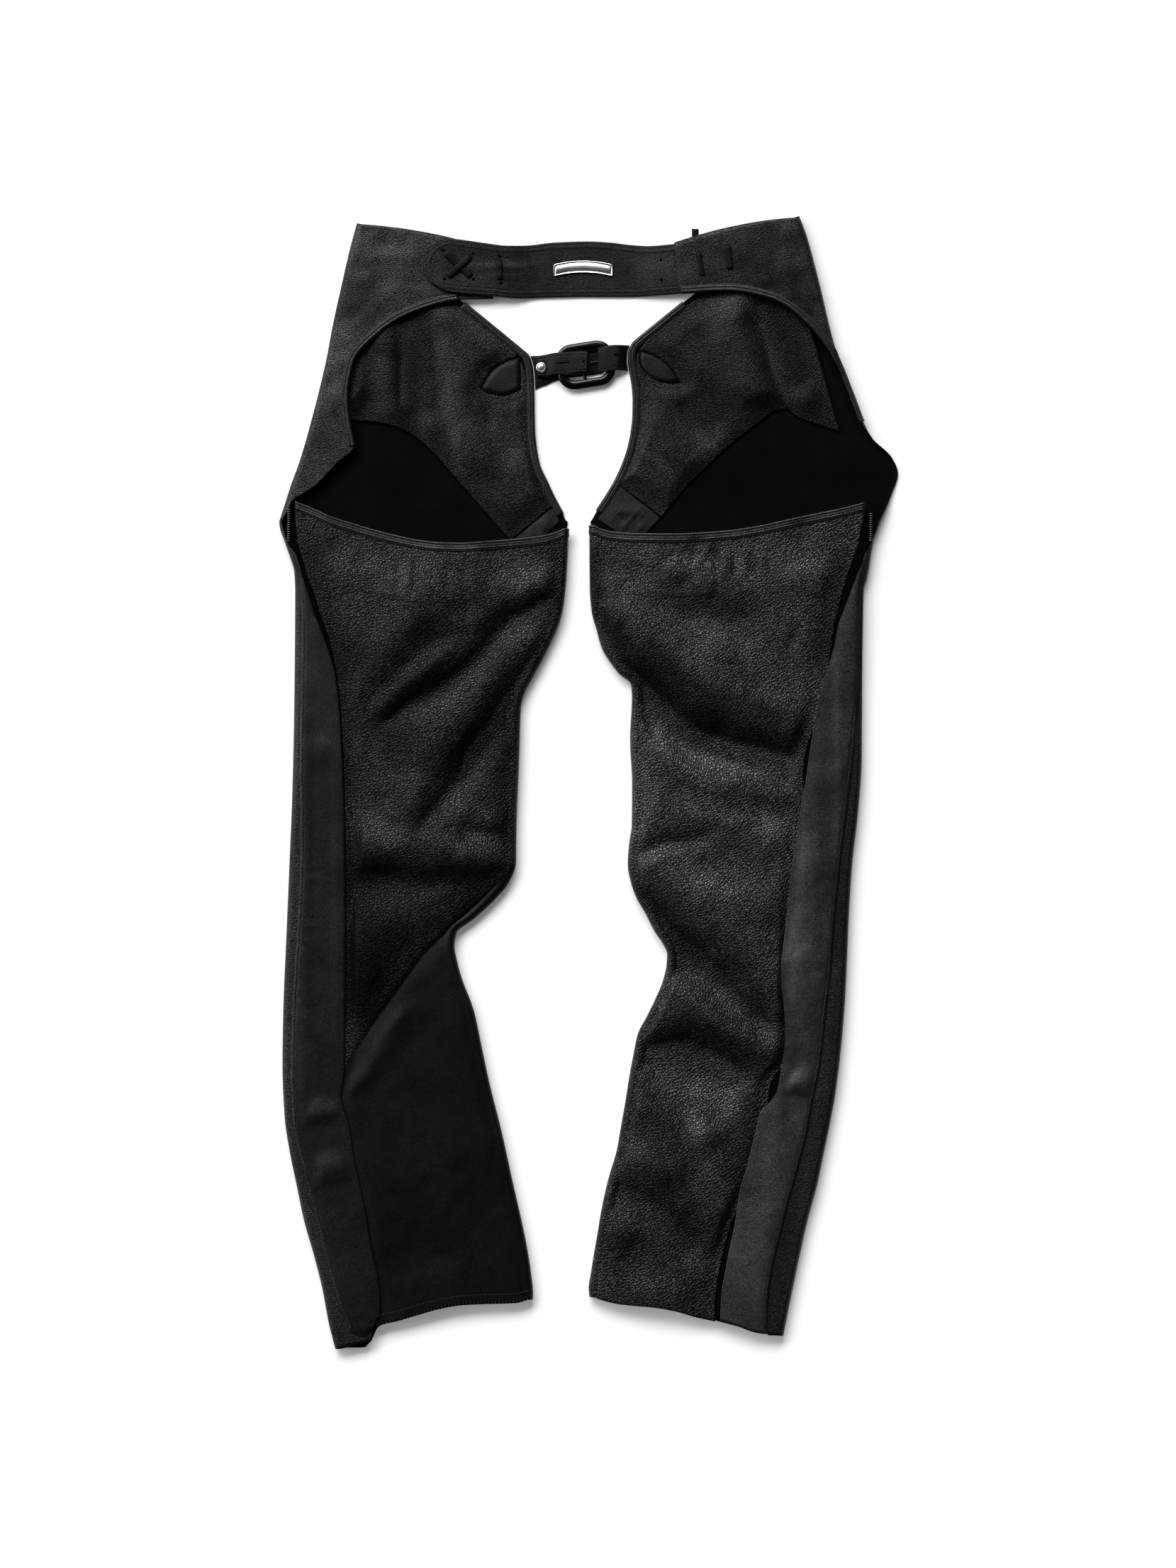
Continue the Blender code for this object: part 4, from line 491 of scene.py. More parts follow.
RIGHT_PAINTED_LIGHT = (
    (-0.8, 9, ((60, 130), (84, 104), (112, 84), (146, 74), (176, 62))),
    (-0.3, 24, ((80, 190), (110, 190))),
    (-0.45, 13, ((60, -232), (96, -244), (130, -250), (156, -260))),
    (-0.35, 22, ((60, -300), (70, -340))),
    (-0.9, 10, ((2, 214), (4, 190), (14, 160), (34, 130))),
    (-0.7, 13, ((236, 210), (230, 160), (222, 120))),
    (-1.3, 17, ((50, 108), (84, 78), (112, 60))),
    (-0.6, 17, ((126, 56), (160, 50), (196, 44))),
    (-0.45, 15, ((70, 178), (100, 172), (130, 168))),
    (-0.7, 14, ((54, -104), (76, -130), (92, -158))),
    (-0.5, 18, ((100, -150), (130, -178), (160, -206))),
    (-0.3, 14, ((92, -226), (124, -236), (158, -256))),
    (-0.5, 18, ((20, -430), (60, -440), (96, -466))),
    (-0.6, 14, ((44, -352), (70, -386), (98, -430))),
    (-0.5, 12, ((150, -300), (146, -370), (132, -440))),
    (0.45, 10, ((54, 214), (86, 212), (110, 208))),
    (0.4, 9, ((138, 206), (150, 190))),
    (0.35, 14, ((170, 204), (206, 202), (226, 206))),
    (0.35, 14, ((110, 150), (134, 140), (150, 122))),
    (0.55, 9, ((70, 46), (86, 30), (108, 22), (132, 15), (170, 8))),
    (0.3, 14, ((44, 40), (46, 0), (44, -40))),
    (0.5, 16, ((60, -82), (100, -92), (150, -94))),
    (0.55, 6, ((88, -166), (104, -180), (122, -196), (140, -214))),
    (0.75, 15, ((70, -280), (96, -284), (126, -296))),
    (0.6, 11, ((46, -352), (56, -378), (74, -392))),
    (0.6, 14, ((104, -330), (116, -372))),
    (0.5, 16, ((110, -20), (150, -32), (190, -46))),
    (0.3, 14, ((150, -60), (180, -66), (196, -80))),
)
YOKE_PAINTED_LIGHT = (
    (-0.5, 14, ((-240, 500), (-250, 440), (-262, 380))),
    (0.35, 12, ((-216, 500), (-180, 498), (-150, 496))),
    (0.4, 10, ((-230, 430), (-240, 400), (-250, 360))),
    (-0.4, 12, ((-200, 470), (-216, 440))),
    (0.5, 9, ((196, 528), (160, 524), (120, 520))),
    (-0.5, 12, ((150, 490), (190, 470), (206, 440))),
    (0.5, 9, ((222, 420), (226, 470), (214, 510))),
    (0.5, 9, ((226, -180), (214, -300), (200, -420), (192, -500))),
)
LINING_PAINTED_LIGHT = (
    (0.5, 7, ((-143, 452), (-138, 400), (-132, 360), (-122, 296))),
    (-0.6, 9, ((-160, 452), (-165, 400), (-170, 350), (-174, 320))),
    (0.3, 9, ((-188, 430), (-194, 390), (-196, 352))),
    (-0.6, 8, ((-212, 410), (-216, 350))),
    (0.25, 16, ((-90, 330), (-70, 290))),
    (0.35, 9, ((150, 452), (164, 410), (178, 372))),
    (-0.7, 12, ((176, 446), (194, 400), (210, 352))),
    (0.45, 8, ((96, 326), (112, 320), (124, 330))),
    (0.5, 4, ((54, 312), (66, 304), (76, 294))),
    (-0.35, 16, ((70, 420), (100, 440))),
    (-0.3, 14, ((110, 380), (120, 350))),
)
FLAP_PAINTED_LIGHT = (
    (0.4, 3, ((-272, 60), (-272, -60), (-273, -200), (-272, -320))),
    (-0.35, 4, ((-262, 60), (-262, -60), (-262, -240))),
    (0.35, 5, ((-240, 60), (-240, -60), (-240, -240))),
    (0.45, 3, ((232, 120), (234, 20), (232, -80))),
    (-0.2, 4, ((222, 60), (220, -60), (214, -160))),
    (0.3, 12, ((208, -60), (202, -140), (192, -220))),
    (0.4, 6, ((206, 20), (200, -80), (190, -200))),
    (0.35, 10, ((172, -330), (166, -400), (158, -480))),
    (-0.5, 5, ((194, -250), (186, -290), (184, -330))),
)
BELT_PAINTED_LIGHT = (
    (0.5, 4, ((-118, 488), (-90, 487), (-62, 486))),
    (-0.5, 3, ((-118, 481), (-90, 480), (-62, 480))),
    (0.5, 4, ((-118, 476), (-90, 475), (-62, 475))),
    (0.4, 8, ((-146, 490), (-144, 474))),
    (0.4, 12, ((50, 486), (70, 488), (84, 486))),
    (-0.3, 10, ((30, 484), (44, 482))),
)

# Slopes of the flaps, in the same form as those of the back panels, and how far they may sink
FLAP_ROOM = 0.4
LEFT_FLAP_SLOPES = (
    ("light", -0.45, 6, ((-268, -306), (-250, -304), (-234, -302))),
    ("shade", 0.8, 6, ((-270, -322), (-250, -320), (-230, -318))),
    ("light", -0.5, 9, ((-262, -352), (-245, -352), (-226, -354))),
    ("shade", 0.8, 7, ((-262, -380), (-244, -380), (-220, -378))),
    ("light", -0.4, 12, ((-256, -408), (-238, -408), (-214, -410))),
    ("light", -0.6, 10, ((-272, 40), (-256, 42), (-240, 44))),
)
RIGHT_FLAP_SLOPES = (
    ("light", -0.7, 14, ((206, 20), (226, 18), (244, 18))),
    ("light", -0.5, 14, ((196, -60), (214, -62), (236, -62))),
    ("light", -0.4, 14, ((186, -180), (204, -182), (226, -182))),
    ("shade", 1.6, 6, ((182, -292), (196, -295), (212, -297))),
    ("light", -0.2, 10, ((170, -318), (186, -320), (206, -322))),
    ("light", -0.4, 18, ((150, -390), (168, -392), (184, -394))),
)

# Troughs of the linings: height, width, points along it
LEFT_LINING_FINE = (
    ("trough", -1.6, 5, ((-177, 430), (-178.5, 338))),
    ("trough", -1.4, 5, ((-140, 420), (-138.5, 356))),
    ("trough", -1.5, 5, ((-103, 366), (-86, 330))),
)
RIGHT_LINING_FINE = (
    ("trough", -1.6, 6, ((156, 452), (164, 425), (173, 387), (184, 357))),
    ("trough", -1.4, 5, ((85, 362), (107, 326))),
)

# Profiles of bound edges: mm in from the edge, mm above the panel's middle
THIGH_PROFILE = (
    (8.0, 0.45), (7.8, 0.8), (7.2, 0.72), (6.6, 1.0), (5.6, 1.35), (4.4, 1.05), (2.9, 1.1), (1.9, 0.8),
    (1.1, 1.25), (0.3, 1.35), (-0.4, 1.0), (-0.7, 0.3), (-0.75, -0.7),
)
SEAT_PROFILE = (
    (5.9, 0.45), (5.7, 0.8), (5.0, 0.72), (4.3, 1.05), (3.5, 1.15), (2.6, 0.85), (1.7, 1.2), (0.6, 1.35),
    (-0.3, 1.05), (-0.7, 0.4), (-0.75, -0.8),
)
FRONT_PROFILE = (
    (5.3, 2.6), (5.1, 3.1), (4.6, 2.9), (3.8, 3.25), (2.8, 3.3), (2.0, 3.0), (1.2, 3.35), (0.3, 3.3),
    (-0.5, 2.8), (-0.85, 1.9), (-0.9, 0.3),
)

# Height of the belt's surface over its middle, by distance in from its edge
BELT_PROFILE = curve((0.0, -0.7), (0.45, 0.15), (1.1, 0.3), (1.8, 0.0), (2.6, 0.3), (4.8, 0.5), (5.6, 0.35),
                     (6.1, -0.15), (7.2, 0.1), (9.0, 0.0), (40.0, 0.0))
BELT_LINES = (1.9, 6.1)

# All slope bands together, made this much stronger
SLOPE_SHARE = 1.35

# Sewing: pitch of the stitches and half the thickness of the thread
STITCH = 2.3
STITCH_RADIUS = 0.34


def noise(x, y, size, seed):
    """Smooth random values from -1 to 1, with bumps of one size in millimetres."""
    table = np.random.default_rng(seed).uniform(-1.0, 1.0, (64, 64))
    u = np.asarray(x, float) / size
    v = np.asarray(y, float) / size
    i = np.floor(u).astype(int)
    j = np.floor(v).astype(int)
    f = smoothstep(u - i)
    g = smoothstep(v - j)
    i = i % 64
    j = j % 64
    near = table[i, j] * (1 - f) + table[(i + 1) % 64, j] * f
    far = table[i, (j + 1) % 64] * (1 - f) + table[(i + 1) % 64, (j + 1) % 64] * f
    return near * (1 - g) + far * g


def distance_along(x, y, points):
    """Distance of each place from a line of points, its share along the line, and the side it is on."""
    x = np.asarray(x, float)
    y = np.asarray(y, float)
    ends = np.array(points, float)
    lengths = np.hypot(*np.diff(ends, axis=0).T)
    before = np.concatenate(([0.0], np.cumsum(lengths)))
    best = np.full(x.shape, 1e9)
    share = np.zeros(x.shape)
    side = np.ones(x.shape)
    for i, length in enumerate(lengths):
        step = (ends[i + 1] - ends[i]) / length
        dx = x - ends[i, 0]
        dy = y - ends[i, 1]
        along = np.clip(dx * step[0] + dy * step[1], 0.0, length)
        gap = np.hypot(dx - along * step[0], dy - along * step[1])
        nearer = gap < best
        best = np.where(nearer, gap, best)
        share = np.where(nearer, (before[i] + along) / before[-1], share)
        side = np.where(nearer, np.sign(step[0] * dy - step[1] * dx), side)
    return best, share, side


def fold_height(x, y, folds):
    """Soft ridges and troughs at each place, which run out towards their ends."""
    total = np.zeros(np.shape(x))
    for _, height, width, points in folds:
        gap, share, _ = distance_along(x, y, points)
        fade = smoothstep(np.minimum(share, 1 - share) * 2.2 + 0.06)
        total = total + height * 1.1 * fade * np.exp(-((gap / width) ** 2))
    return total


def slope_height(x, y, slopes):
    """Bands across which the leather drops towards the hem, high on the waist's side and low below."""
    total = np.zeros(np.shape(x))
    x = x + 1.6 * noise(x, y, 27, 71) + 0.7 * noise(x, y, 11, 72)
    y = y + 1.6 * noise(x, y, 24, 73) + 0.7 * noise(x, y, 12, 74)
    for _, drop, width, points in slopes:
        gap, share, side = distance_along(x, y, points)
        start = np.array(points[0])
        end = np.array(points[-1])
        sign = 1.0 if end[0] > start[0] else -1.0
        width = width * (0.75 + 0.55 * np.sin(np.pi * share))
        reach = gap * side * sign / (width * np.where(side * sign > 0, 1.5, 0.9))
        ends = min(0.3, 26.0 / np.hypot(*(end - start)))
        fade = smoothstep(np.minimum(share, 1 - share) / ends * 0.95 + 0.05)
        beyond = np.where((share <= 0) | (share >= 1), np.exp(-((gap / width) ** 2)), 1.0)
        total = total + SLOPE_SHARE * drop * reach * np.exp(0.5 - reach * reach / 2) * fade * beyond
    return total


def twist_height(x, y):
    """The leather above the twist line stands proud of the panel below it."""
    gap, share, side = distance_along(x, y, LEFT_TWIST)
    above = side < 0
    fade = smoothstep(np.minimum(share * 6, (1 - share) * 4))
    lift = TWIST_LIFT * (1 - np.exp(-gap / TWIST_ROLL)) * np.exp(-gap / TWIST_REACH)
    drop = -TWIST_DROP * np.exp(-gap / TWIST_HOLLOW)
    return np.where(above, lift, drop) * fade


class Leg:
    """One leg's outlines, read by level: a level is a row's height up the leg before hem and top slant."""

    def __init__(self, side, outer, inner, seam, flap, back_edge, hem, top_edge, slopes, fine, flap_slopes):
        self.side = side
        self.curves = {"outer": outer, "inner": inner, "seam": seam, "flap": flap, "back": back_edge}
        self.hem = hem
        self.top_edge = top_edge
        self.slopes = slopes
        self.fine = fine
        self.flap_slopes = flap_slopes

    def lie(self, x, level, top=False):
        """The real y of places on rows."""
        low = smoothstep((HEM_LEVEL + HEM_FADE - level) / HEM_FADE)
        y = level + low * (self.hem(x) - HEM_LEVEL)
        if top:
            high = smoothstep((level - TOP_LEVEL + TOP_FADE) / TOP_FADE)
            y = y + high * (self.top_edge(x) - TOP_LEVEL)
        return y

    def edge(self, name, level, top=False):
        """Where rows meet one of the outlines: x and y."""
        level = np.asarray(level, float)
        y = level
        for _ in range(3):
            x = self.curves[name](y)
            y = self.lie(x, level, top)
        return np.array([x, y])

    def inseam(self, level, shift):
        """The seam under the leg, moved by shift towards the inner fold."""
        reach = INSEAM_REACH * (1 - smoothstep((level - 170) / 76)) + 1.2
        x = self.curves["inner"](level) + self.side * (reach - shift)
        return np.array([x, self.lie(x, level)])

    def outward(self, name, level):
        """Unit vectors out of the leg, square to one of its folds."""
        slope = (self.curves[name](level + 4) - self.curves[name](level - 4)) / 8
        sign = self.side if name == "outer" else -self.side
        square = np.array([np.ones(np.shape(slope)), -slope]) * sign
        return square / np.hypot(*square)

    def back_height(self, x, y, share):
        """Height of the back panel's wall; share runs from its zip edge to the inner fold."""
        share = np.asarray(share, float)
        crown = CROWN * np.sin(np.pi * np.clip(share, 0, 1)) ** 0.7
        room = smoothstep((share - 0.03) / 0.09) * smoothstep((1 - share) / 0.06)
        height = slope_height(x, y, self.slopes) + fold_height(x, y, self.fine)
        uneven = 0.55 * noise(x + y * 0.5, y, 34, 11 + self.side)
        height = height + uneven + 0.3 * noise(x, y - x * 0.4, 15, 21 + self.side)
        if self.side < 0:
            height = height + twist_height(x, y)
        return FOLD_TOP + np.maximum((crown + height) * room, -TROUGH)


LEFT_LEG = Leg(-1, LEFT_OUTER, LEFT_INNER, LEFT_SEAM, LEFT_FLAP, LEFT_BACK_EDGE, LEFT_HEM,
               LEFT_TOP_EDGE, LEFT_SLOPES, LEFT_FINE, LEFT_FLAP_SLOPES)
RIGHT_LEG = Leg(1, RIGHT_OUTER, RIGHT_INNER, RIGHT_SEAM, RIGHT_FLAP, RIGHT_BACK_EDGE, RIGHT_HEM,
                RIGHT_TOP_EDGE, RIGHT_SLOPES, RIGHT_FINE, RIGHT_FLAP_SLOPES)


def spread(path, count):
    """A path of points read again at evenly spaced places."""
    path = np.asarray(path, float)
    steps = np.linalg.norm(np.diff(path, axis=0), axis=1)
    along = np.concatenate(([0.0], np.cumsum(steps)))
    wanted = np.linspace(0.0, along[-1], count)
    return np.stack([np.interp(wanted, along, path[:, k]) for k in range(3)], axis=1)


def natural_turn(fold, wrap, square):
    """How far the fold turns to bring the wall's edge to the place of the wrapped edge."""
    inward = np.dot(fold - wrap, square)
    reach = (FOLD + PANEL / 2 - inward) / FOLD
    if reach <= 0:
        return 180.0
    return 180.0 - math.degrees(math.asin(min(reach, 1.0)))


def wrapped_section(start, fold, wrap, square, turn, wrap_height,
                    flat_y=None, bow=0.0, wrap_bow=0.0, lip=0.0):
    """One row of a front panel: flat on the table, round the outer fold and back over the top."""
    centre = fold - square * (FOLD + PANEL / 2)
    f = np.linspace(0.0, 1.0, FLAT_COLUMNS + 1)
    flat = np.zeros((FLAT_COLUMNS + 1, 3))
    flat[:, 0] = start[0] + (centre[0] - start[0]) * f
    flat[:, 1] = start[1] + (centre[1] - start[1]) * f
    if flat_y is not None:
        flat[:, 1] = flat_y(flat[:, 0])
    flat[:, 1] += bow * 4 * f * (1 - f)
    flat[:, 2] = PANEL / 2
    last = flat[-1, :2]
    angle = math.radians(turn)
    theta = np.linspace(0.0, angle, 25)
    arc = np.zeros((25, 3))
    arc[:, :2] = last + square * FOLD * np.sin(theta)[:, None]
    arc[:, 2] = PANEL / 2 + FOLD * (1 - np.cos(theta))
    path = list(arc)
    end = arc[-1]
    if turn > 179 and np.dot(end[:2] - wrap, square) >= 1.0:
        for g in np.linspace(0.05, 1.0, 20):
            place = end[:2] + (wrap - end[:2]) * g + np.array([0.0, wrap_bow * 4 * g * (1 - g)])
            path.append((place[0], place[1], end[2] + (wrap_height - end[2]) * g))
    if lip > 0.05:
        base = np.array(path[-1])
        for d, rise in LIP_PROFILE:
            share = lip / LIP
            place = base - np.array([square[0], square[1], 0.0]) * d * share
            place[2] += rise / 1.7 * LIP_HEIGHT * share
            path.append(place)
    return np.concatenate((flat, spread(path, WRAP_COLUMNS + 1)[1:]))


def levels_between(low, high, step=ROW_STEP):
    """Row levels at about an even step."""
    return np.linspace(low, high, round((high - low) / step) + 1)


def leg_rows(leg, levels):
    """The front panel's rows from the hem to the crotch."""
    low, high = FLAP_RANGES[leg.side]
    rows = []
    for level in levels:
        fold = leg.edge("outer", level)
        wrap = leg.edge("seam", level)
        square = leg.outward("outer", fold[1])
        turn = natural_turn(fold, wrap, square)
        lip = LIP * smoothstep((level - low) / 6) * smoothstep((high + 4 - level) / 14)
        rows.append(wrapped_section(
            leg.inseam(level, 0.0), fold, wrap, square, turn, FOLD_TOP,
            flat_y=lambda x, level=level: leg.lie(x, level), lip=lip,
        ))
    return rows


def fan_reader(fan):
    """The fan table's columns as smooth curves of the row number."""
    return {
        name: curve(*[(i, row[column]) for i, row in enumerate(fan)])
        for column, name in enumerate(FAN_COLUMNS)
    }


def fan_rows(side, fan, yoke_height, places):
    """The front panel's rows above the crotch, read at row numbers."""
    read = fan_reader(fan)
    last = len(fan) - 1
    rows = []
    for t in places:
        start = np.array([read["a_x"](t), read["a_y"](t)])
        fold = np.array([read["b_x"](t), read["b_y"](t)])
        wrap = np.array([read["c_x"](t), read["c_y"](t)])
        before = max(t - 0.3, 0.0)
        after = min(t + 0.3, float(last))
        along = np.array([read["b_x"](after) - read["b_x"](before), read["b_y"](after) - read["b_y"](before)])
        square = np.array([along[1], -along[0]]) * side
        square = square / np.hypot(*square)
        share = smoothstep(t - last + 1)
        rows.append(wrapped_section(
            start, fold, wrap, square, float(read["turn"](t)), float(yoke_height(wrap[0])),
            bow=WAIST_BOW * share, wrap_bow=YOKE_BOW * share,
        ))
    return rows


def front_grid(leg, fan, yoke_height):
    """The whole front panel, with the yoke's soft unevenness."""
    last = len(fan) - 1
    places = np.concatenate(([0.3, 0.4], np.linspace(0.5, last, round((last - 0.5) * 10))))
    rows = leg_rows(leg, levels_between(HEM_LEVEL, 246.0)) + fan_rows(leg.side, fan, yoke_height, places)
    grid = np.array(rows)
    x = grid[:, :, 0]
    y = grid[:, :, 1]
    upper = smoothstep((y - 300) / 60) * smoothstep((grid[:, :, 2] - 4) / 2)
    grid[:, :, 2] += upper * (0.9 * noise(x, y, 24, 31) + 0.5 * noise(x, y, 11, 32))
    return grid


def back_grid(leg):
    """The back panel: over the leg, round the inner fold and under it to the inseam."""
    levels = levels_between(HEM_LEVEL, 246.0)[:, None]
    start = leg.edge("back", levels, top=True)
    fold = leg.edge("inner", levels, top=True)
    square = leg.outward("inner", levels)
    centre = fold - square * (FOLD + PANEL / 2)
    f = np.linspace(0.0, 1.0, BACK_COLUMNS + 1)[None, :]
    x = start[0] + (centre[0] - start[0]) * f
    y = leg.lie(x, levels, top=True)
    z = leg.back_height(x, y, np.broadcast_to(f, x.shape))
    room = smoothstep(f / 0.12) * smoothstep((1 - f) / 0.12)
    z = z + room * (0.8 * noise(x * 0.8, y, 78, 61 + leg.side) + 0.3 * noise(x, y * 0.8, 31, 63) + 0.1)
    turn = math.pi * (1 - 0.45 * smoothstep((levels - 226) / 20))
    theta = turn * np.arange(1, TURN_COLUMNS + 1)[None, :] / TURN_COLUMNS
    turned_x = x[:, -1:] + square[0] * FOLD * np.sin(theta)
    turned_y = y[:, -1:] + square[1] * FOLD * np.sin(theta)
    turned_z = PANEL / 2 + FOLD * (1 + np.cos(theta))
    under = leg.inseam(levels, GAP)
    free = levels > 226
    g = np.arange(1, UNDER_COLUMNS + 1)[None, :] / UNDER_COLUMNS
    target_x = np.where(free, turned_x[:, -1:], under[0])
    target_y = np.where(free, turned_y[:, -1:], under[1])
    target_z = np.where(free, turned_z[:, -1:] - 0.5, PANEL / 2)
    under_x = turned_x[:, -1:] + (target_x - turned_x[:, -1:]) * g
    under_y = turned_y[:, -1:] + (target_y - turned_y[:, -1:]) * g
    under_z = turned_z[:, -1:] + (target_z - turned_z[:, -1:]) * g
    return np.stack([
        np.concatenate((x, turned_x, under_x), axis=1),
        np.concatenate((y, turned_y, under_y), axis=1),
        np.concatenate((z, turned_z, under_z), axis=1),
    ], axis=2)


# How far the flap's free edge lies over the back panel, by level
FLAP_SHIFT = {
    -1: curve((-500, 1.0), (-300, 2.5), (-70, 3.4), (60, 2.8), (150, 1.0), (221, 0.0)),
    1: curve((-500, -3.2), (-400, -3.2), (-330, -3.4), (-285, -3.4), (-240, -1.0), (0, 0.0), (221, 0.0)),
}


def flap_grid(leg):
    """The flap over the zip: its start under the front's edge, its free edge rolled."""
    low, high = FLAP_RANGES[leg.side]
    levels = levels_between(low, high)
    seam = leg.edge("seam", levels)
    free = leg.edge("flap", levels)
    back = leg.edge("back", levels)
    inner = leg.edge("inner", levels)
    free_x = free[0] + FLAP_SHIFT[leg.side](levels)
    share = (free_x - back[0]) / (inner[0] - back[0])
    edge_height = leg.back_height(free_x, free[1], share)
    middle = np.linspace(0.16, 0.88, 16)
    f = np.concatenate((np.linspace(0, 0.12, 6), middle, np.linspace(0.9, 1.0, 9)))[None, :]
    start_x = (seam[0] - leg.side * 0.8)[:, None]
    x = start_x + (free_x[:, None] - start_x) * f
    y = leg.lie(x, levels[:, None])
    width = np.abs(free_x - start_x[:, 0])[:, None]
    top = FOLD_TOP + (edge_height[:, None] - FOLD_TOP) * f + PANEL / 2 + 1.4 * GAP + OVERLAY / 2
    sunk = -0.95 * (1 - smoothstep((width * f - 0.5) / 4.5))
    roll = (-0.35 if leg.side < 0 else 0.1) * (1 - smoothstep((width * (1 - f)) / 1.6))
    crown = 0.7 * np.sin(np.pi * f) * smoothstep(width / 14)
    wave = 0.35 * noise(x * 0.4, y, 38, 41 + leg.side) + 0.12 * noise(x, y, 13, 43)
    bands = np.maximum(slope_height(x, y, leg.flap_slopes) + FLAP_ROOM, 0.0) - FLAP_ROOM
    crinkle = 0.3 * noise(x * 0.12, y, 2.6, 45) * np.exp(-(((f - 0.3) / 0.12) ** 2))
    crinkle = crinkle * smoothstep(noise(x * 0, y, 46, 46) * 2.5)
    top = top + (bands + wave + crinkle) * np.sin(np.pi * np.clip(f * 0.94 + 0.03, 0, 1)) ** 0.7
    return np.stack([x, y, top + sunk + roll + crown], axis=2)


def tape_grid(leg):
    """The strip of the zip between front and back panel, under the flap."""
    low, _ = FLAP_RANGES[leg.side]
    levels = levels_between(low, 243.0, 4.0)
    seam = leg.edge("seam", levels)
    back = leg.edge("back", levels)
    f = np.linspace(0.0, 1.0, 9)[None, :]
    start_x = (seam[0] - leg.side * 0.9)[:, None]
    end_x = (back[0] + leg.side * 0.9)[:, None]
    x = start_x + (end_x - start_x) * f
    y = leg.lie(x, levels[:, None])
    return np.stack([x, y, np.full(x.shape, FOLD_TOP - 0.3)], axis=2)


def line_reader(points):
    """A smooth line through points, read by its share from 0 to 1."""
    last = len(points) - 1
    xs = curve(*[(i / last, point[0]) for i, point in enumerate(points)])
    ys = curve(*[(i / last, point[1]) for i, point in enumerate(points)])
    return lambda share: (xs(share), ys(share))


def lining_grid(lower, upper, slopes, fine, seed, outline):
    """A lining spread between its raw lower edge and its upper edge."""
    g = np.linspace(0.0, 1.0, 90)[:, None]
    f = np.linspace(0.0, 1.0, 120)[None, :]
    low_x, low_y = line_reader(lower)(f)
    high_x, high_y = line_reader(upper)(f)
    x = low_x * (1 - g) + high_x * g
    y = low_y * (1 - g) + high_y * g
    room = smoothstep(np.minimum(np.minimum((1 - g) * 6, g * 3 + 0.25), np.minimum(f, 1 - f) * 9))
    gap, _, _ = nearest_on(x, y, outline)
    room = room * smoothstep((gap - 0.5) / LEAF_ROOM)
    height = slope_height(x, y, slopes) + fold_height(x, y, fine) + 0.35 * noise(x, y, 22, seed) + LINING_LOFT
    wave = 0.5 * noise(x, y * 0.2, 19, seed + 1) * np.exp(-((g / 0.08) ** 2))
    return np.stack([x, y, LINING_LIFT + room * np.maximum(height, 0.0) + np.maximum(wave, 0.0)], axis=2)


def facing_grid(side, facing, lower, upper):
    """The wrinkled facing between the lining and the crotch."""
    shift = np.array([-side * 0.45, -0.55])
    seam_start = np.array(upper[0]) + shift
    seam_end = np.array(lower[0]) + shift
    f = np.linspace(0.0, 1.0, 40)[:, None, None]
    g = np.linspace(0.0, 1.0, 40)[None, :, None]
    near = np.array(facing[0]) * (1 - g) + seam_start * g
    far = np.array(facing[1]) * (1 - g) + seam_end * g
    place = near * (1 - f) + far * f
    x = place[:, :, 0]
    y = place[:, :, 1]
    along = x * 0.75 - y * 0.66 * side
    room = np.sin(np.pi * f[:, :, 0]) * np.sin(np.pi * g[:, :, 0])
    wrinkles = 0.9 * np.abs(noise(along, along * 0.1, 3.2, 51)) + 0.8 * noise(x, y, 8, 52)
    return np.stack([x, y, LINING_LIFT + room * (wrinkles + 0.5)], axis=2)


def leaf_outline(sides, scale=1.0, pieces=16):
    """The outline of a leaf-shaped opening: an arc for each side, between its corners."""
    points = []
    for start, end, bulge in sides:
        start = np.array(start, float)
        end = np.array(end, float)
        step = end - start
        square = np.array([step[1], -step[0]]) / np.hypot(*step)
        for i in range(pieces):
            f = i / pieces
            points.append(start + step * f + square * bulge * 4 * f * (1 - f))
    middle = np.mean(points, axis=0)
    return np.array([middle + (point - middle) * scale for point in points])


def inside_outline(x, y, outline):
    """True for each place inside a closed outline."""
    inside = np.zeros(x.shape, bool)
    for (x0, y0), (x1, y1) in zip(outline, np.roll(outline, -1, axis=0)):
        crosses = (y0 > y) != (y1 > y)
        place = x0 + (y - y0) / np.where(y1 == y0, 1e-9, y1 - y0) * (x1 - x0)
        inside ^= crosses & (x < place)
    return inside


def nearest_on(x, y, outline):
    """The nearest place on a closed outline for each place, and how far it is."""
    best = np.full(x.shape, 1e9)
    near_x = np.array(x)
    near_y = np.array(y)
    for start, end in zip(outline, np.roll(outline, -1, axis=0)):
        step = end - start
        share = ((x - start[0]) * step[0] + (y - start[1]) * step[1]) / max(np.dot(step, step), 1e-9)
        share = np.clip(share, 0.0, 1.0)
        px = start[0] + step[0] * share
        py = start[1] + step[1] * share
        gap = np.hypot(x - px, y - py)
        closer = gap < best
        best = np.where(closer, gap, best)
        near_x = np.where(closer, px, near_x)
        near_y = np.where(closer, py, near_y)
    return best, near_x, near_y


def flat_normals(points, side):
    """Unit vectors to one side of a line of points, level with the table."""
    places = np.array([point[:2] for point in points], float)
    along = np.gradient(places, axis=0)
    square = np.stack([-along[:, 1], along[:, 0], np.zeros(len(places))], axis=1) * side
    return square / np.linalg.norm(square, axis=1)[:, None]


def profile_reader(profile, count):
    """A band's profile read again at evenly spaced places along it."""
    points = np.array([(across, lift, 0.0) for across, lift in profile])
    dense = spread(points, count)
    return dense[:, 0], dense[:, 1]


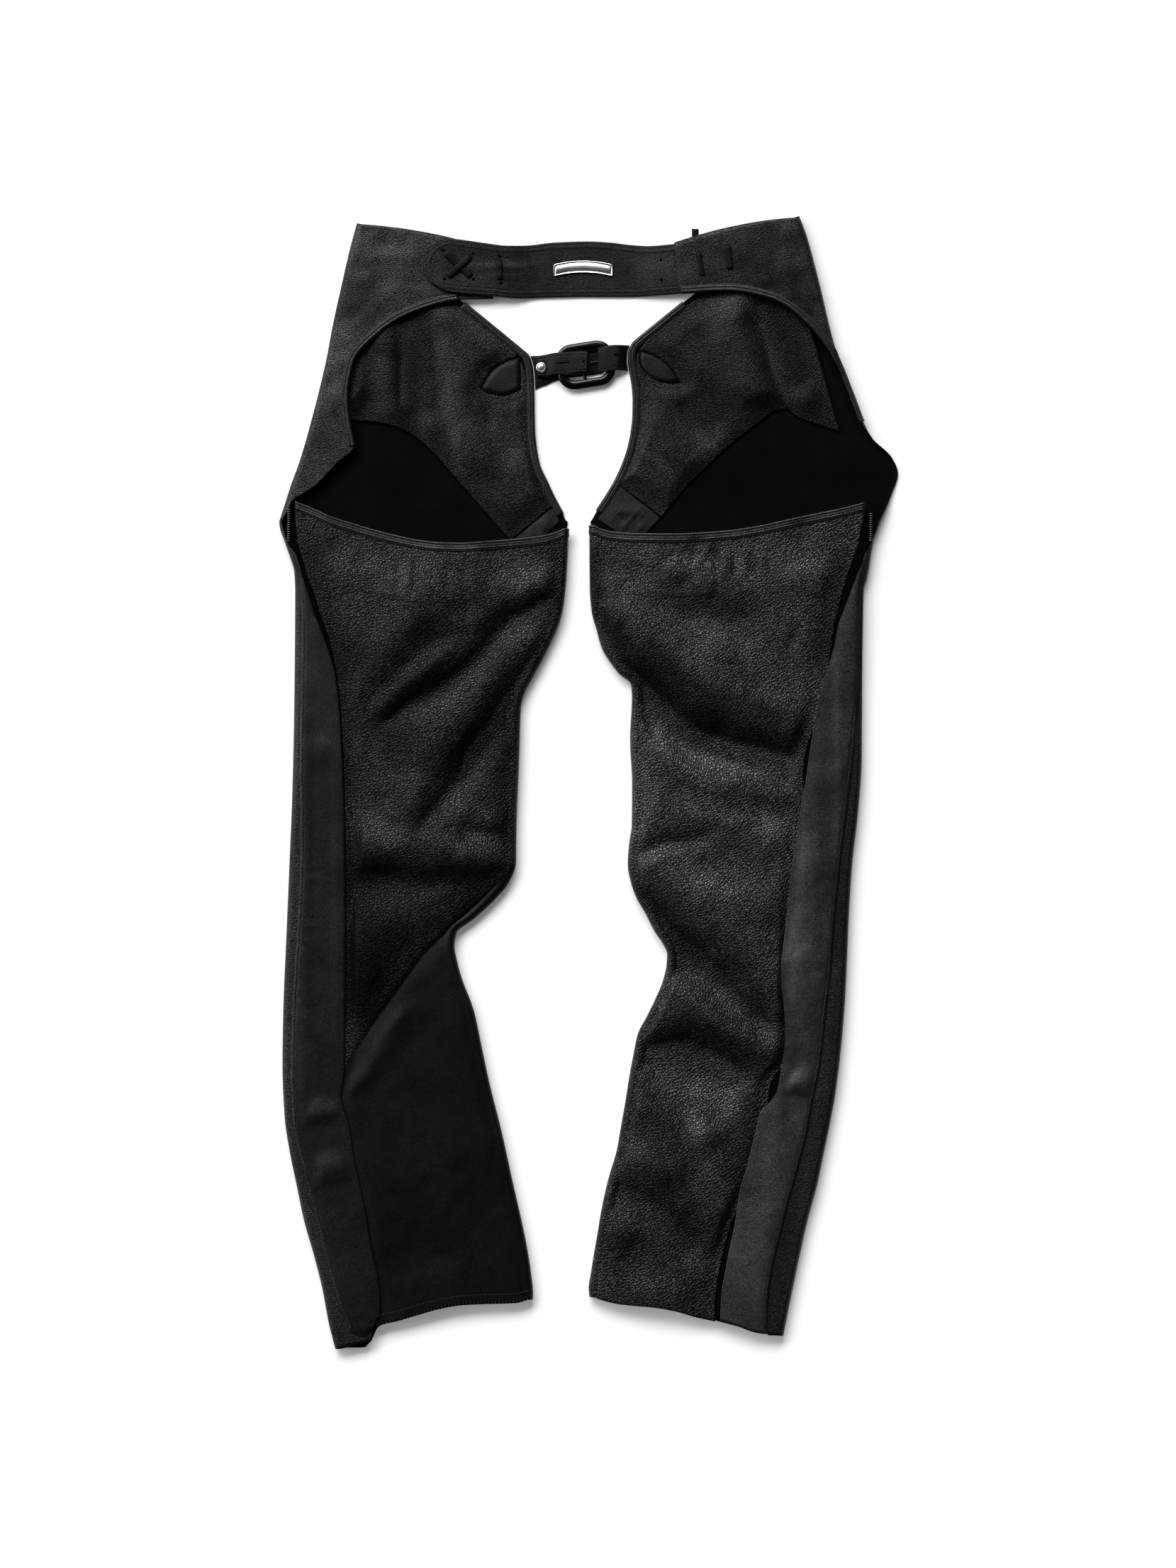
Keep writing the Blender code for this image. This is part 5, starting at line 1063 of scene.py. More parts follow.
def band_grid(edge, inward, ups, profile, scale, count=26):
    """A binding over an edge, one row for each of its points."""
    across, lift = profile_reader(profile, count)
    edge = np.asarray(edge, float)[:, None, :]
    inward = np.asarray(inward, float)[:, None, :]
    ups = np.asarray(ups, float)[:, None, :]
    scale = np.asarray(scale, float)[:, None]
    reach = np.where(across[None, :] > 0, across[None, :] * scale, across[None, :])
    return edge + inward * reach[:, :, None] + ups * lift[None, :, None]


def front_binding_grid(side, fan, yoke_height, waist_share):
    """The bound inner edge of a front panel and part of its waist."""
    last = len(fan) - 1
    read = fan_reader(fan)
    ts = np.arange(0.8, last + 0.01, 0.09)
    edge = [np.array([read["a_x"](t), read["a_y"](t), 0.0]) for t in ts]
    waist = fan_rows(side, fan, yoke_height, [last])[0][:FLAT_COLUMNS + 1]
    reach = waist_share * FLAT_COLUMNS
    edge = edge[:-1] + [np.array([point[0], point[1], 0.0]) for point in waist[:int(reach) + 1]]
    path = spread(edge, round(len(edge) * 1.2))
    squares = flat_normals(path, -side)
    for _ in range(3):
        squares[1:-1] = (squares[:-2] + squares[1:-1] * 2 + squares[2:]) / 4
    squares = squares / np.linalg.norm(squares, axis=1)[:, None]
    ups = np.tile(np.array([0.0, 0.0, 1.0]), (len(path), 1))
    return band_grid(path, squares, ups, FRONT_PROFILE, np.ones(len(path)))


def seat_binding_grid(side, fan, yoke_height, seat_range):
    """The bound edge of the yoke along the seat opening."""
    places = np.linspace(seat_range[0], seat_range[1], round((seat_range[1] - seat_range[0]) * 22))
    sections = fan_rows(side, fan, yoke_height, places)
    edge = np.array([section[-1] for section in sections])
    squares = flat_normals(edge, -side)
    inward = []
    ups = []
    scale = []
    for section, square in zip(sections, squares):
        step = section[-4] - section[-1]
        level = np.hypot(step[0], step[1])
        lean = np.array([square[0] * level, square[1] * level, step[2]])
        lean = lean / np.linalg.norm(lean)
        up = np.array([0.0, 0.0, 1.0]) - lean[2] * lean
        inward.append(lean)
        ups.append(up / np.linalg.norm(up))
        reach = np.linalg.norm(section[-1] - section[FLAT_COLUMNS + 24])
        scale.append(min(1.0, max(0.45, reach / 9.0)))
    return band_grid(edge, inward, ups, SEAT_PROFILE, scale)


def thigh_binding_grid(leg, grid):
    """The back panel's bound top edge, from its top rows."""
    count = BACK_COLUMNS + 9
    top = grid[-1, :count]
    under = grid[-4, :count]
    reach = under - top
    inward = reach / np.linalg.norm(reach, axis=1)[:, None]
    ups = np.tile(np.array([0.0, 0.0, 1.0]), (count, 1))
    centre = top[BACK_COLUMNS] - np.array([0.0, 0.0, FOLD])
    for i in range(BACK_COLUMNS + 1, count):
        ups[i] = (top[i] - centre) / np.linalg.norm(top[i] - centre)
    return band_grid(top, inward, ups, THIGH_PROFILE, np.ones(count))


def belt_outline():
    """The outline of the belt, from its right end round and back."""
    round_end = BELT_START + BELT_ROUND
    xs = np.linspace(round_end, BELT_END, 60)
    angles = np.radians(np.linspace(90, 0, 24))[1:]
    ys_middle = (BELT_TOP(xs[0]) + BELT_BOTTOM(xs[0])) / 2
    half = (BELT_TOP(xs[0]) - BELT_BOTTOM(xs[0])) / 2
    top = [(x, float(BELT_TOP(x))) for x in xs[::-1]]
    turn = [(round_end - BELT_ROUND * math.cos(a), ys_middle + half * math.sin(a)) for a in angles]
    back = [(round_end - BELT_ROUND * math.cos(a), ys_middle - half * math.sin(a)) for a in angles[::-1][1:]]
    bottom = [(x, float(BELT_BOTTOM(x))) for x in xs]
    return top + turn + back + bottom


def belt_middle(x, y):
    """Height of the middle of the belt's wall."""
    height = BELT_HEIGHT(x) + fold_height(x, y, BELT_RIDGES)
    return height + 0.25 * noise(x, y, 24, 61) + 0.1 * noise(x, y, 9, 62)


def belt_grid(outline):
    """The belt's surface, raised and grooved along its edge."""
    round_end = BELT_START + BELT_ROUND
    angles = np.radians(np.linspace(6, 90, 46))
    xs = np.concatenate((round_end - BELT_ROUND * np.cos(angles), np.linspace(round_end, BELT_END, 190)[1:]))
    share = np.maximum(1 - ((round_end - np.minimum(xs, round_end)) / BELT_ROUND) ** 2, 0.0) ** 0.5
    middle = ((BELT_TOP(xs) + BELT_BOTTOM(xs)) / 2)[:, None]
    half = ((BELT_TOP(xs) - BELT_BOTTOM(xs)) / 2 * share)[:, None]
    flat = np.linspace(-0.7, 0.7, 36)
    k = np.concatenate((np.linspace(-1, -0.7, 17)[:-1], flat[:-1], np.linspace(0.7, 1, 17)))
    x = np.broadcast_to(xs[:, None], (len(xs), len(k)))
    y = middle + half * k[None, :]
    gap, _, _ = distance_along(x, y, outline)
    return np.stack([x, y, belt_middle(x, y) + BELT_PROFILE(gap)], axis=2)


def stroke_grid(start, end, height, hump, waist, width=LACE_WIDTH, taper=0.0):
    """One stroke of the flat lacing, which dips into its hole at each end."""
    start = np.array(start, float)
    end = np.array(end, float)
    along = (end - start) / np.hypot(*(end - start))
    square = np.array([-along[1], along[0]])
    length = np.hypot(*(end - start))
    rows = []
    for f in np.linspace(0.0, 1.0, 40):
        place = start + (end - start) * f
        rise = hump * smoothstep(1 - abs(f - 0.5) / 0.4)
        dip = -2.2 * (1 - smoothstep(min(f, 1 - f) * length / 2.6))
        pinch = 1 - 0.35 * (1 - smoothstep(min(f, 1 - f) * length / 3.0))
        half = width / 2 * (1 - waist * math.sin(math.pi * f)) * pinch * (1 - taper * f)
        z = float(height(place[0], place[1])) + GAP + THONG / 2 + rise + dip
        rows.append([
            (*(place + square * half * k), z + 0.3 * (1 - k * k) - 0.25 * abs(k) ** 6)
            for k in np.linspace(-1, 1, 11)
        ])
    return np.array(rows)


def strap_grid(xs, low, high, height, start=None, columns=25, round_by=0.5):
    """A short strap between two edges, its borders rounded down."""
    rows = []
    for i, x in enumerate(xs):
        row = []
        for k in np.linspace(0.0, 1.0, columns):
            y = float(low(x)) + (float(high(x)) - float(low(x))) * k
            px = x if start is None else x + (start(y) - xs[0]) * max(0.0, 1 - abs(x - xs[0]) / 4.0)
            gap = min(k, 1 - k) * (float(high(x)) - float(low(x)))
            drop = round_by * (1 - smoothstep(gap / 1.4))
            groove = 0.3 * math.exp(-(((gap - 2.4) / 0.5) ** 2))
            row.append((px, y, float(height(x)) - drop - groove + 0.12 * float(noise(x, y, 7, 71))))
        rows.append(row)
    return np.array(rows)


def buckle_place(x, y):
    """A place in the buckle's own axes, turned and moved onto the table."""
    return (
        BUCKLE_CENTRE[0] + x * math.cos(BUCKLE_TILT) - y * math.sin(BUCKLE_TILT),
        BUCKLE_CENTRE[1] + x * math.sin(BUCKLE_TILT) + y * math.cos(BUCKLE_TILT),
    )


def link(name, mesh, finishes):
    """An object of a mesh, with its materials and even gloss where none is set."""
    if "polish_and_painted_light" not in mesh.attributes:
        layer = mesh.attributes.new("polish_and_painted_light", "FLOAT", "POINT")
        layer.data.foreach_set("value", np.ones(len(mesh.vertices), dtype=np.float32))
    made = bpy.data.objects.new(name, mesh)
    for finish in finishes:
        made.data.materials.append(finish)
    bpy.context.scene.collection.objects.link(made)
    return made


def grid_mesh(name, grid, flip, keep=None):
    """A mesh of quads through a grid of points in millimetres."""
    rows, columns = grid.shape[:2]
    index = np.arange(rows * columns).reshape(rows, columns)
    faces = np.stack([index[:-1, :-1], index[:-1, 1:], index[1:, 1:], index[1:, :-1]], axis=-1).reshape(-1, 4)
    if flip:
        faces = faces[:, ::-1]
    if keep is not None:
        faces = faces[keep.reshape(-1)]
    mesh = bpy.data.meshes.new(name)
    mesh.from_pydata((grid.reshape(-1, 3) * MM).tolist(), [], faces.tolist())
    if keep is not None:
        shape = bmesh.new()
        shape.from_mesh(mesh)
        loose = [vert for vert in shape.verts if not vert.link_faces]
        bmesh.ops.delete(shape, geom=loose, context="VERTS")
        shape.to_mesh(mesh)
        shape.free()
    mesh.shade_smooth()
    return mesh


def polish_and_painted_light_of(x, y, patches, seed):
    """How bright the leather's shine is at each place: slow random unevenness of the finish, and the listed
    patches of painted highlight and painted shade.
    """
    amount = 0.18 * noise(x, y, 46, seed) + 0.12 * noise(x, y, 17, seed + 1) + 0.08 * noise(x, y, 7, seed + 2)
    for strength, width, points in patches:
        gap, share, _ = distance_along(x, y, points)
        amount = amount + strength * np.exp(-((gap / width) ** 2))
    return np.exp(np.clip(amount, -1.6, 1.0))


def shell(name, grid, wall, finishes, flip=False, keep=None, polish_and_painted_light=()):
    """A thin wall on a grid: first finish outside, second inside and on its rim."""
    mesh = grid_mesh(name, grid, flip, keep)
    places = np.empty(len(mesh.vertices) * 3)
    mesh.vertices.foreach_get("co", places)
    places = places.reshape(-1, 3) / MM
    # Per-point gloss: random unevenness of the finish, with painted highlight and painted shade from the
    # patches
    layer = mesh.attributes.new("polish_and_painted_light", "FLOAT", "POINT")
    gloss = polish_and_painted_light_of(places[:, 0], places[:, 1], polish_and_painted_light, len(name))
    layer.data.foreach_set("value", gloss.astype(np.float32))
    made = link(name, mesh, finishes)
    thicken = made.modifiers.new("wall", "SOLIDIFY")
    thicken.thickness = wall * MM
    thicken.offset = 0.0
    if len(finishes) > 1:
        thicken.material_offset = 1
        thicken.material_offset_rim = 1
    return made


def leaf_holed(name, grid, outline, wall, finishes, flip, polish_and_painted_light=()):
    """A shell with an opening: grid points near the outline move onto it, faces inside it go."""
    x = grid[:, :, 0]
    y = grid[:, :, 1]
    gap, near_x, near_y = nearest_on(x, y, outline)
    cell = 1.3
    snap = gap < cell
    grid[:, :, 0] = np.where(snap, near_x, x)
    grid[:, :, 1] = np.where(snap, near_y, y)
    middle_x = (grid[:-1, :-1, 0] + grid[1:, 1:, 0] + grid[:-1, 1:, 0] + grid[1:, :-1, 0]) / 4
    middle_y = (grid[:-1, :-1, 1] + grid[1:, 1:, 1] + grid[:-1, 1:, 1] + grid[1:, :-1, 1]) / 4
    keep = ~inside_outline(middle_x, middle_y, outline)
    return shell(name, grid, wall, finishes, flip, keep, polish_and_painted_light)


def tube_mesh(name, path, radius, sides=12, closed=False, flatten=1.0):
    """A bar of round section along a path of points in millimetres."""
    path = np.asarray(path, float)
    count = len(path)
    if closed:
        along = np.roll(path, -1, axis=0) - np.roll(path, 1, axis=0)
    else:
        along = np.gradient(path, axis=0)
    along = along / np.linalg.norm(along, axis=1)[:, None]
    up = np.array([0.0, 0.0, 1.0])
    square = np.cross(along, up)
    square = square / np.maximum(np.linalg.norm(square, axis=1)[:, None], 1e-6)
    lift = np.cross(square, along)
    angles = np.linspace(0, 2 * math.pi, sides, endpoint=False)
    radii = np.broadcast_to(np.asarray(radius, float), (count,))[:, None, None]
    ring = (square[:, None, :] * np.cos(angles)[None, :, None]
            + lift[:, None, :] * np.sin(angles)[None, :, None] * flatten)
    points = (path[:, None, :] + ring * radii).reshape(-1, 3)
    faces = []
    last = count if closed else count - 1
    for i in range(last):
        for j in range(sides):
            a = i * sides + j
            b = i * sides + (j + 1) % sides
            c = (i + 1) % count * sides + (j + 1) % sides
            d = (i + 1) % count * sides + j
            faces.append((a, b, c, d))
    if not closed:
        faces.append(tuple(range(sides))[::-1])
        faces.append(tuple(range((count - 1) * sides, count * sides)))
    mesh = bpy.data.meshes.new(name)
    mesh.from_pydata((points * MM).tolist(), [], faces)
    mesh.shade_smooth()
    return mesh


def turned_mesh(name, profile, centre, steps=40):
    """A turned piece from (radius, height) pairs round an upright axis."""
    vertices = []
    faces = []
    for radius, height in profile:
        for i in range(steps):
            angle = 2 * math.pi * i / steps
            vertices.append(((centre[0] + radius * math.cos(angle)) * MM,
                             (centre[1] + radius * math.sin(angle)) * MM, height * MM))
    for i in range(len(profile) - 1):
        for j in range(steps):
            k = (j + 1) % steps
            faces.append((i * steps + j, i * steps + k, (i + 1) * steps + k, (i + 1) * steps + j))
    faces.append(tuple(range(steps))[::-1])
    faces.append(tuple(range((len(profile) - 1) * steps, len(profile) * steps)))
    mesh = bpy.data.meshes.new(name)
    mesh.from_pydata(vertices, [], faces)
    mesh.shade_smooth()
    return mesh


class Ground:
    """Finds the top of built pieces under a place, for what is sewn onto them."""

    def __init__(self, *pieces):
        graph = bpy.context.evaluated_depsgraph_get()
        self.trees = [BVHTree.FromObject(piece, graph) for piece in pieces]

    def top(self, x, y):
        best = None
        normal = Vector((0.0, 0.0, 1.0))
        for tree in self.trees:
            hit, face, _, _ = tree.ray_cast(Vector((x * MM, y * MM, 0.06)), Vector((0.0, 0.0, -1.0)))
            if hit is not None and (best is None or hit.z / MM > best):
                best = hit.z / MM
                normal = face
        return best, normal


def resample(path, pitch):
    """A level path read again at about an even pitch."""
    path = np.asarray(path, float)
    steps = np.hypot(*np.diff(path[:, :2], axis=0).T)
    along = np.concatenate(([0.0], np.cumsum(steps)))
    count = max(2, round(along[-1] / pitch) + 1)
    wanted = np.linspace(0.0, along[-1], count)
    return np.stack([np.interp(wanted, along, path[:, k]) for k in range(2)], axis=1)


class Sewing:
    """Rows of stitches and their needle holes, the holes as flat dark discs of painted shade, gathered into
    one mesh for each group of pieces.
    """

    def __init__(self, name):
        self.name = name
        self.thread_points = []
        self.thread_faces = []
        self.hole_points = []
        self.hole_faces = []
        self.random = np.random.default_rng(len(name) * 7 + 3)

    def capsule(self, stations, radius):
        stations = np.asarray(stations, float)
        along = np.gradient(stations, axis=0)
        along = along / np.maximum(np.linalg.norm(along, axis=1)[:, None], 1e-6)
        square = np.cross(along, np.array([0.0, 0.0, 1.0]))
        square = square / np.maximum(np.linalg.norm(square, axis=1)[:, None], 1e-6)
        lift = np.cross(square, along)
        base = len(self.thread_points)
        for point, out, up, size in zip(stations, square, lift, radius):
            for k in range(6):
                angle = math.pi * k / 3
                self.thread_points.append(point + out * math.cos(angle) * size + up * math.sin(angle) * size)
        for i in range(len(stations) - 1):
            for k in range(6):
                a = base + i * 6 + k
                b = base + i * 6 + (k + 1) % 6
                self.thread_faces.append((a, b, b + 6, a + 6))

    # A flat dark disc on the surface where a hole is: painted hole shade
    def hole(self, x, y, z, along, long_radius, wide_radius):
        base = len(self.hole_points)
        square = np.array([-along[1], along[0]])
        for k in range(8):
            angle = math.pi * k / 4
            place = (np.array([x, y]) + along * math.cos(angle) * long_radius
                     + square * math.sin(angle) * wide_radius)
            self.hole_points.append((place[0], place[1], z))
        self.hole_faces.append(tuple(range(base, base + 8)))

    def row(self, ground, path, pitch=STITCH, radius=STITCH_RADIUS, share=0.74):
        """Stitches along a path, each a short raised thread between two needle holes."""
        points = resample(path, pitch)
        for start, end in zip(points[:-1], points[1:]):
            step = end - start
            if np.hypot(*step) < 0.4:
                continue
            along = step / np.hypot(*step)
            wobble = self.random.uniform(-0.12, 0.12, 2)
            a = start + step * (1 - share) / 2 + np.array([-along[1], along[0]]) * wobble[0]
            b = end - step * (1 - share) / 2 + np.array([-along[1], along[0]]) * wobble[1]
            low, _ = ground.top(*a)
            high, _ = ground.top(*b)
            middle, _ = ground.top(*((a + b) / 2))
            if low is None or high is None or middle is None:
                continue
            if max(low, high, middle) - min(low, high, middle) > 2.0:
                continue
            stations = []
            for f, dip in ((0.0, -0.3), (0.2, 0.02), (0.5, 0.14), (0.8, 0.02), (1.0, -0.3)):
                place = a + (b - a) * f
                stations.append((place[0], place[1], low + (high - low) * f + dip))
            self.capsule(stations, [radius * 0.7, radius, radius, radius, radius * 0.7])
            self.hole(end[0], end[1], high + 0.06, along, 0.5, 0.36)

    def ticks(self, ground, path, inward, length, pitch=3.4):
        """Overcast stitches, square to an edge."""
        points = resample(path, pitch)
        for before, after in zip(points[:-1], points[1:]):
            along = (after - before) / max(np.hypot(*(after - before)), 1e-6)
            square = np.array([-along[1], along[0]]) * inward
            stations = []
            for f in (0.0, 0.33, 0.66, 1.0):
                place = before + square * (0.4 + length * f) + along * f * 0.5
                z, _ = ground.top(*place)
                if z is None:
                    break
                stations.append((place[0], place[1], z + (0.1 if 0 < f < 1 else -0.15)))
            if len(stations) == 4:
                self.capsule(stations, [0.22, 0.3, 0.3, 0.22])

    def make(self, thread, dark):
        mesh = bpy.data.meshes.new(self.name)
        points = np.array(self.thread_points + [np.array(point) for point in self.hole_points], float)
        shift = len(self.thread_points)
        faces = self.thread_faces + [tuple(i + shift for i in face) for face in self.hole_faces]
        mesh.from_pydata((points * MM).tolist(), [], faces)
        mesh.shade_smooth()
        made = link(self.name, mesh, [thread, dark])
        kinds = np.zeros(len(faces), dtype=np.int32)
        kinds[len(self.thread_faces):] = 1
        mesh.polygons.foreach_set("material_index", kinds)
        return made


def wire(tree, output, node, socket):
    tree.links.new(output, node.inputs[socket])


def add_math(tree, operation, first, second=None, third=None):
    node = tree.nodes.new("ShaderNodeMath")
    node.operation = operation
    for i, value in enumerate((first, second, third)):
        if value is None:
            continue
        if hasattr(value, "links"):
            tree.links.new(value, node.inputs[i])
        else:
            node.inputs[i].default_value = value
    return node.outputs[0]


def add_noise(tree, place, scale, detail=2.0, roughness=0.5, distortion=0.0):
    node = tree.nodes.new("ShaderNodeTexNoise")
    tree.links.new(place, node.inputs["Vector"])
    node.inputs["Scale"].default_value = scale
    node.inputs["Detail"].default_value = detail
    node.inputs["Roughness"].default_value = roughness
    node.inputs["Distortion"].default_value = distortion
    return node.outputs["Fac"]


def add_ramp(tree, value, *stops):
    node = tree.nodes.new("ShaderNodeValToRGB")
    tree.links.new(value, node.inputs["Fac"])
    ramp = node.color_ramp
    ramp.elements[0].position = stops[0][0]
    ramp.elements[0].color = (*(stops[0][1],) * 3, 1.0)
    ramp.elements[1].position = stops[-1][0]
    ramp.elements[1].color = (*(stops[-1][1],) * 3, 1.0)
    for position, level in stops[1:-1]:
        ramp.elements.new(position).color = (level, level, level, 1.0)
    return node.outputs["Color"]


def add_bump(tree, height, distance, strength, normal=None):
    node = tree.nodes.new("ShaderNodeBump")
    tree.links.new(height, node.inputs["Height"])
    node.inputs["Distance"].default_value = distance
    node.inputs["Strength"].default_value = strength
    if normal is not None:
        tree.links.new(normal, node.inputs["Normal"])
    return node.outputs["Normal"]


def scaled_place(tree, stretch=(1.0, 1.0, 1.0), swirl=0.0):
    """Object coordinates, stretched, and pushed about by noise so that cells aren't regular."""
    source = tree.nodes.new("ShaderNodeTexCoord")
    mapping = tree.nodes.new("ShaderNodeMapping")
    mapping.inputs["Scale"].default_value = stretch
    tree.links.new(source.outputs["Object"], mapping.inputs["Vector"])
    if not swirl:
        return mapping.outputs["Vector"]
    push = tree.nodes.new("ShaderNodeTexNoise")
    push.inputs["Scale"].default_value = 160.0
    push.inputs["Detail"].default_value = 2.0
    tree.links.new(source.outputs["Object"], push.inputs["Vector"])
    scale = tree.nodes.new("ShaderNodeVectorMath")
    scale.operation = "SCALE"
    scale.inputs["Scale"].default_value = swirl
    tree.links.new(push.outputs["Color"], scale.inputs[0])
    total = tree.nodes.new("ShaderNodeVectorMath")
    total.operation = "ADD"
    tree.links.new(mapping.outputs["Vector"], total.inputs[0])
    tree.links.new(scale.outputs["Vector"], total.inputs[1])
    return total.outputs["Vector"]


def new_material(name):
    """A material, its nodes and its shader."""
    made = bpy.data.materials.new(name)
    made.use_nodes = True
    return made, made.node_tree, made.node_tree.nodes["Principled BSDF"]


def leather(name, cell, depth, dark, light, rough, gloss=0.5, fine=0.06, stretch=(1.0, 1.0, 1.0), painted_sheen_ramp=None):
    """Grained black leather: rounded pebbles with creases between them, and uneven finish; the creases
    are painted darker and duller as shade.

    The last argument, when given, is a painted sheen ramp (axis, start, gloss there, end, gloss there),
    in millimetres along the part: gloss that rises or falls along it as painted highlight and painted shade.
    """
    made, tree, shader = new_material(name)
    place = scaled_place(tree, stretch, 0.0016)
    pebbles = tree.nodes.new("ShaderNodeTexVoronoi")
    pebbles.feature = "DISTANCE_TO_EDGE"
    pebbles.inputs["Scale"].default_value = 1.0 / (cell * MM)
    tree.links.new(place, pebbles.inputs["Vector"])
    raised = add_ramp(tree, pebbles.outputs["Distance"],
                      (0.0, 0.0), (0.08, 0.4), (0.2, 0.72), (0.34, 0.92), (0.5, 1.0))
    speckle = add_noise(tree, place, 1.0 / (0.9 * MM), 3.0, 0.6)
    patches = add_noise(tree, place, 22.0, 3.0, 0.55)
    wide = add_noise(tree, place, 5.0, 2.0, 0.5)
    height = add_math(tree, "ADD", raised, add_math(tree, "MULTIPLY", speckle, fine * 4))
    normal = add_bump(tree, height, depth * MM, 1.0)
    wire(tree, normal, shader, "Normal")
    tone = add_math(tree, "MULTIPLY_ADD", patches, 0.6, add_math(tree, "MULTIPLY", wide, 0.4))
    mix = tree.nodes.new("ShaderNodeMix")
    mix.data_type = "RGBA"
    mix.inputs["A"].default_value = (dark, dark, dark * 1.03, 1.0)
    mix.inputs["B"].default_value = (light, light, light * 1.03, 1.0)
    # Base colour lighter on pebble tops and darker in the creases between them: painted crease shade over the
    # random tone
    tone_and_crease_shade = add_math(tree, "MULTIPLY", tone, add_math(tree, "MULTIPLY_ADD", raised, 0.7, 0.3))
    tree.links.new(tone_and_crease_shade, mix.inputs["Factor"])
    wire(tree, mix.outputs["Result"], shader, "Base Color")
    roughness = add_math(tree, "MULTIPLY_ADD", patches, -0.16, rough + 0.08)
    roughness = add_math(tree, "MULTIPLY_ADD", speckle, 0.08, add_math(tree, "SUBTRACT", roughness, 0.04))
    wire(tree, roughness, shader, "Roughness")
    pits = add_noise(tree, place, 1.0 / (cell * 0.8 * MM), 2.0, 0.6)
    shine = add_ramp(tree, pits, (0.36, 0.7), (0.5, 1.0), (0.64, 1.45))
    # Less shine in the creases between pebbles: painted crease shade
    shine = add_math(tree, "MULTIPLY", shine, add_math(tree, "MULTIPLY_ADD", raised, 0.5, 0.6))
    # Per-point gloss from the mesh: random finish unevenness plus patches of painted highlight and painted
    # shade
    polish_and_painted_light = tree.nodes.new("ShaderNodeAttribute")
    polish_and_painted_light.attribute_name = "polish_and_painted_light"
    shine = add_math(tree, "MULTIPLY", shine, polish_and_painted_light.outputs["Fac"])
    if painted_sheen_ramp is None:
        wire(tree, add_math(tree, "MULTIPLY", shine, gloss), shader, "Specular IOR Level")
        return made
    # Gloss ramped along one axis of the part: a painted sheen that fades into painted shade
    axis, start, start_gloss, end, end_gloss = painted_sheen_ramp
    source = tree.nodes.new("ShaderNodeTexCoord")
    parts = tree.nodes.new("ShaderNodeSeparateXYZ")
    tree.links.new(source.outputs["Object"], parts.inputs["Vector"])
    painted_sheen_along_axis = tree.nodes.new("ShaderNodeMapRange")
    tree.links.new(parts.outputs[axis], painted_sheen_along_axis.inputs["Value"])
    painted_sheen_along_axis.inputs["From Min"].default_value = start * MM
    painted_sheen_along_axis.inputs["From Max"].default_value = end * MM
    painted_sheen_along_axis.inputs["To Min"].default_value = start_gloss
    painted_sheen_along_axis.inputs["To Max"].default_value = end_gloss
    wire(tree, add_math(tree, "MULTIPLY", shine, painted_sheen_along_axis.outputs["Result"]), shader, "Specular IOR Level")
    return made


def suede(name, level):
    """The flesh side: short nap with no shine."""
    made, tree, shader = new_material(name)
    place = scaled_place(tree)
    nap = add_noise(tree, place, 1.0 / (0.7 * MM), 4.0, 0.7)
    drift = add_noise(tree, place, 30.0, 3.0, 0.6)
    tone = add_ramp(tree, add_math(tree, "MULTIPLY_ADD", nap, 0.5, add_math(tree, "MULTIPLY", drift, 0.5)),
                    (0.3, level * 0.5), (0.75, level * 1.7))
    wire(tree, tone, shader, "Base Color")
    wire(tree, add_bump(tree, nap, 0.35 * MM, 0.8), shader, "Normal")
    shader.inputs["Roughness"].default_value = 1.0
    shader.inputs["Specular IOR Level"].default_value = 0.05
    return made


def woven(name, level, gloss=0.15):
    """Close tape or thread with a fine diagonal weave."""
    made, tree, shader = new_material(name)
    source = tree.nodes.new("ShaderNodeTexCoord")
    wave = tree.nodes.new("ShaderNodeTexWave")
    wave.bands_direction = "DIAGONAL"
    wave.inputs["Scale"].default_value = 900.0
    wave.inputs["Distortion"].default_value = 0.6
    tree.links.new(source.outputs["Object"], wave.inputs["Vector"])
    tone = add_ramp(tree, wave.outputs["Fac"], (0.0, level * 0.5), (1.0, level * 1.4))
    wire(tree, tone, shader, "Base Color")
    wire(tree, add_bump(tree, wave.outputs["Fac"], 0.12 * MM, 0.7), shader, "Normal")
    shader.inputs["Roughness"].default_value = 0.8
    shader.inputs["Specular IOR Level"].default_value = gloss
    return made


def metal(name, level, rough, brushed=0.0):
    """Plated metal, smooth or brushed along its length."""
    made, tree, shader = new_material(name)
    stretch = (0.03, 1.0, 1.0) if brushed else (1.0, 1.0, 1.0)
    place = scaled_place(tree, stretch)
    lines = add_noise(tree, place, 2600.0 if brushed else 400.0, 2.0, 0.6)
    smudge = add_noise(tree, scaled_place(tree), 90.0, 3.0, 0.6)
    tone = add_ramp(tree, smudge, (0.25, level * 0.82), (0.75, level))
    wire(tree, tone, shader, "Base Color")
    shader.inputs["Metallic"].default_value = 1.0
    wire(tree, add_math(tree, "MULTIPLY_ADD", smudge, 0.12, rough - 0.06), shader, "Roughness")
    wire(tree, add_bump(tree, lines, 0.02 * MM, 0.3 + brushed), shader, "Normal")
    return made


def plain(name, level, rough, gloss=0.2):
    """A dull, lightly mottled finish."""
    made, tree, shader = new_material(name)
    place = scaled_place(tree)
    tone = add_ramp(tree, add_noise(tree, place, 900.0), (0.2, level * 0.6), (0.8, level * 1.4))
    wire(tree, tone, shader, "Base Color")
    shader.inputs["Roughness"].default_value = rough
    shader.inputs["Specular IOR Level"].default_value = gloss
    return made


# The grain, yoke and flap leathers carry painted sheen ramps: gloss that rises or falls across the part as
# painted highlight and shade. The left and right flap leathers are lit and shaded copies of one leather.
GRAIN = leather("grain_leather", 2.6, 0.44, 0.0008, 0.0028, 0.38, painted_sheen_ramp=("X", -120, 0.33, 60, 0.47))
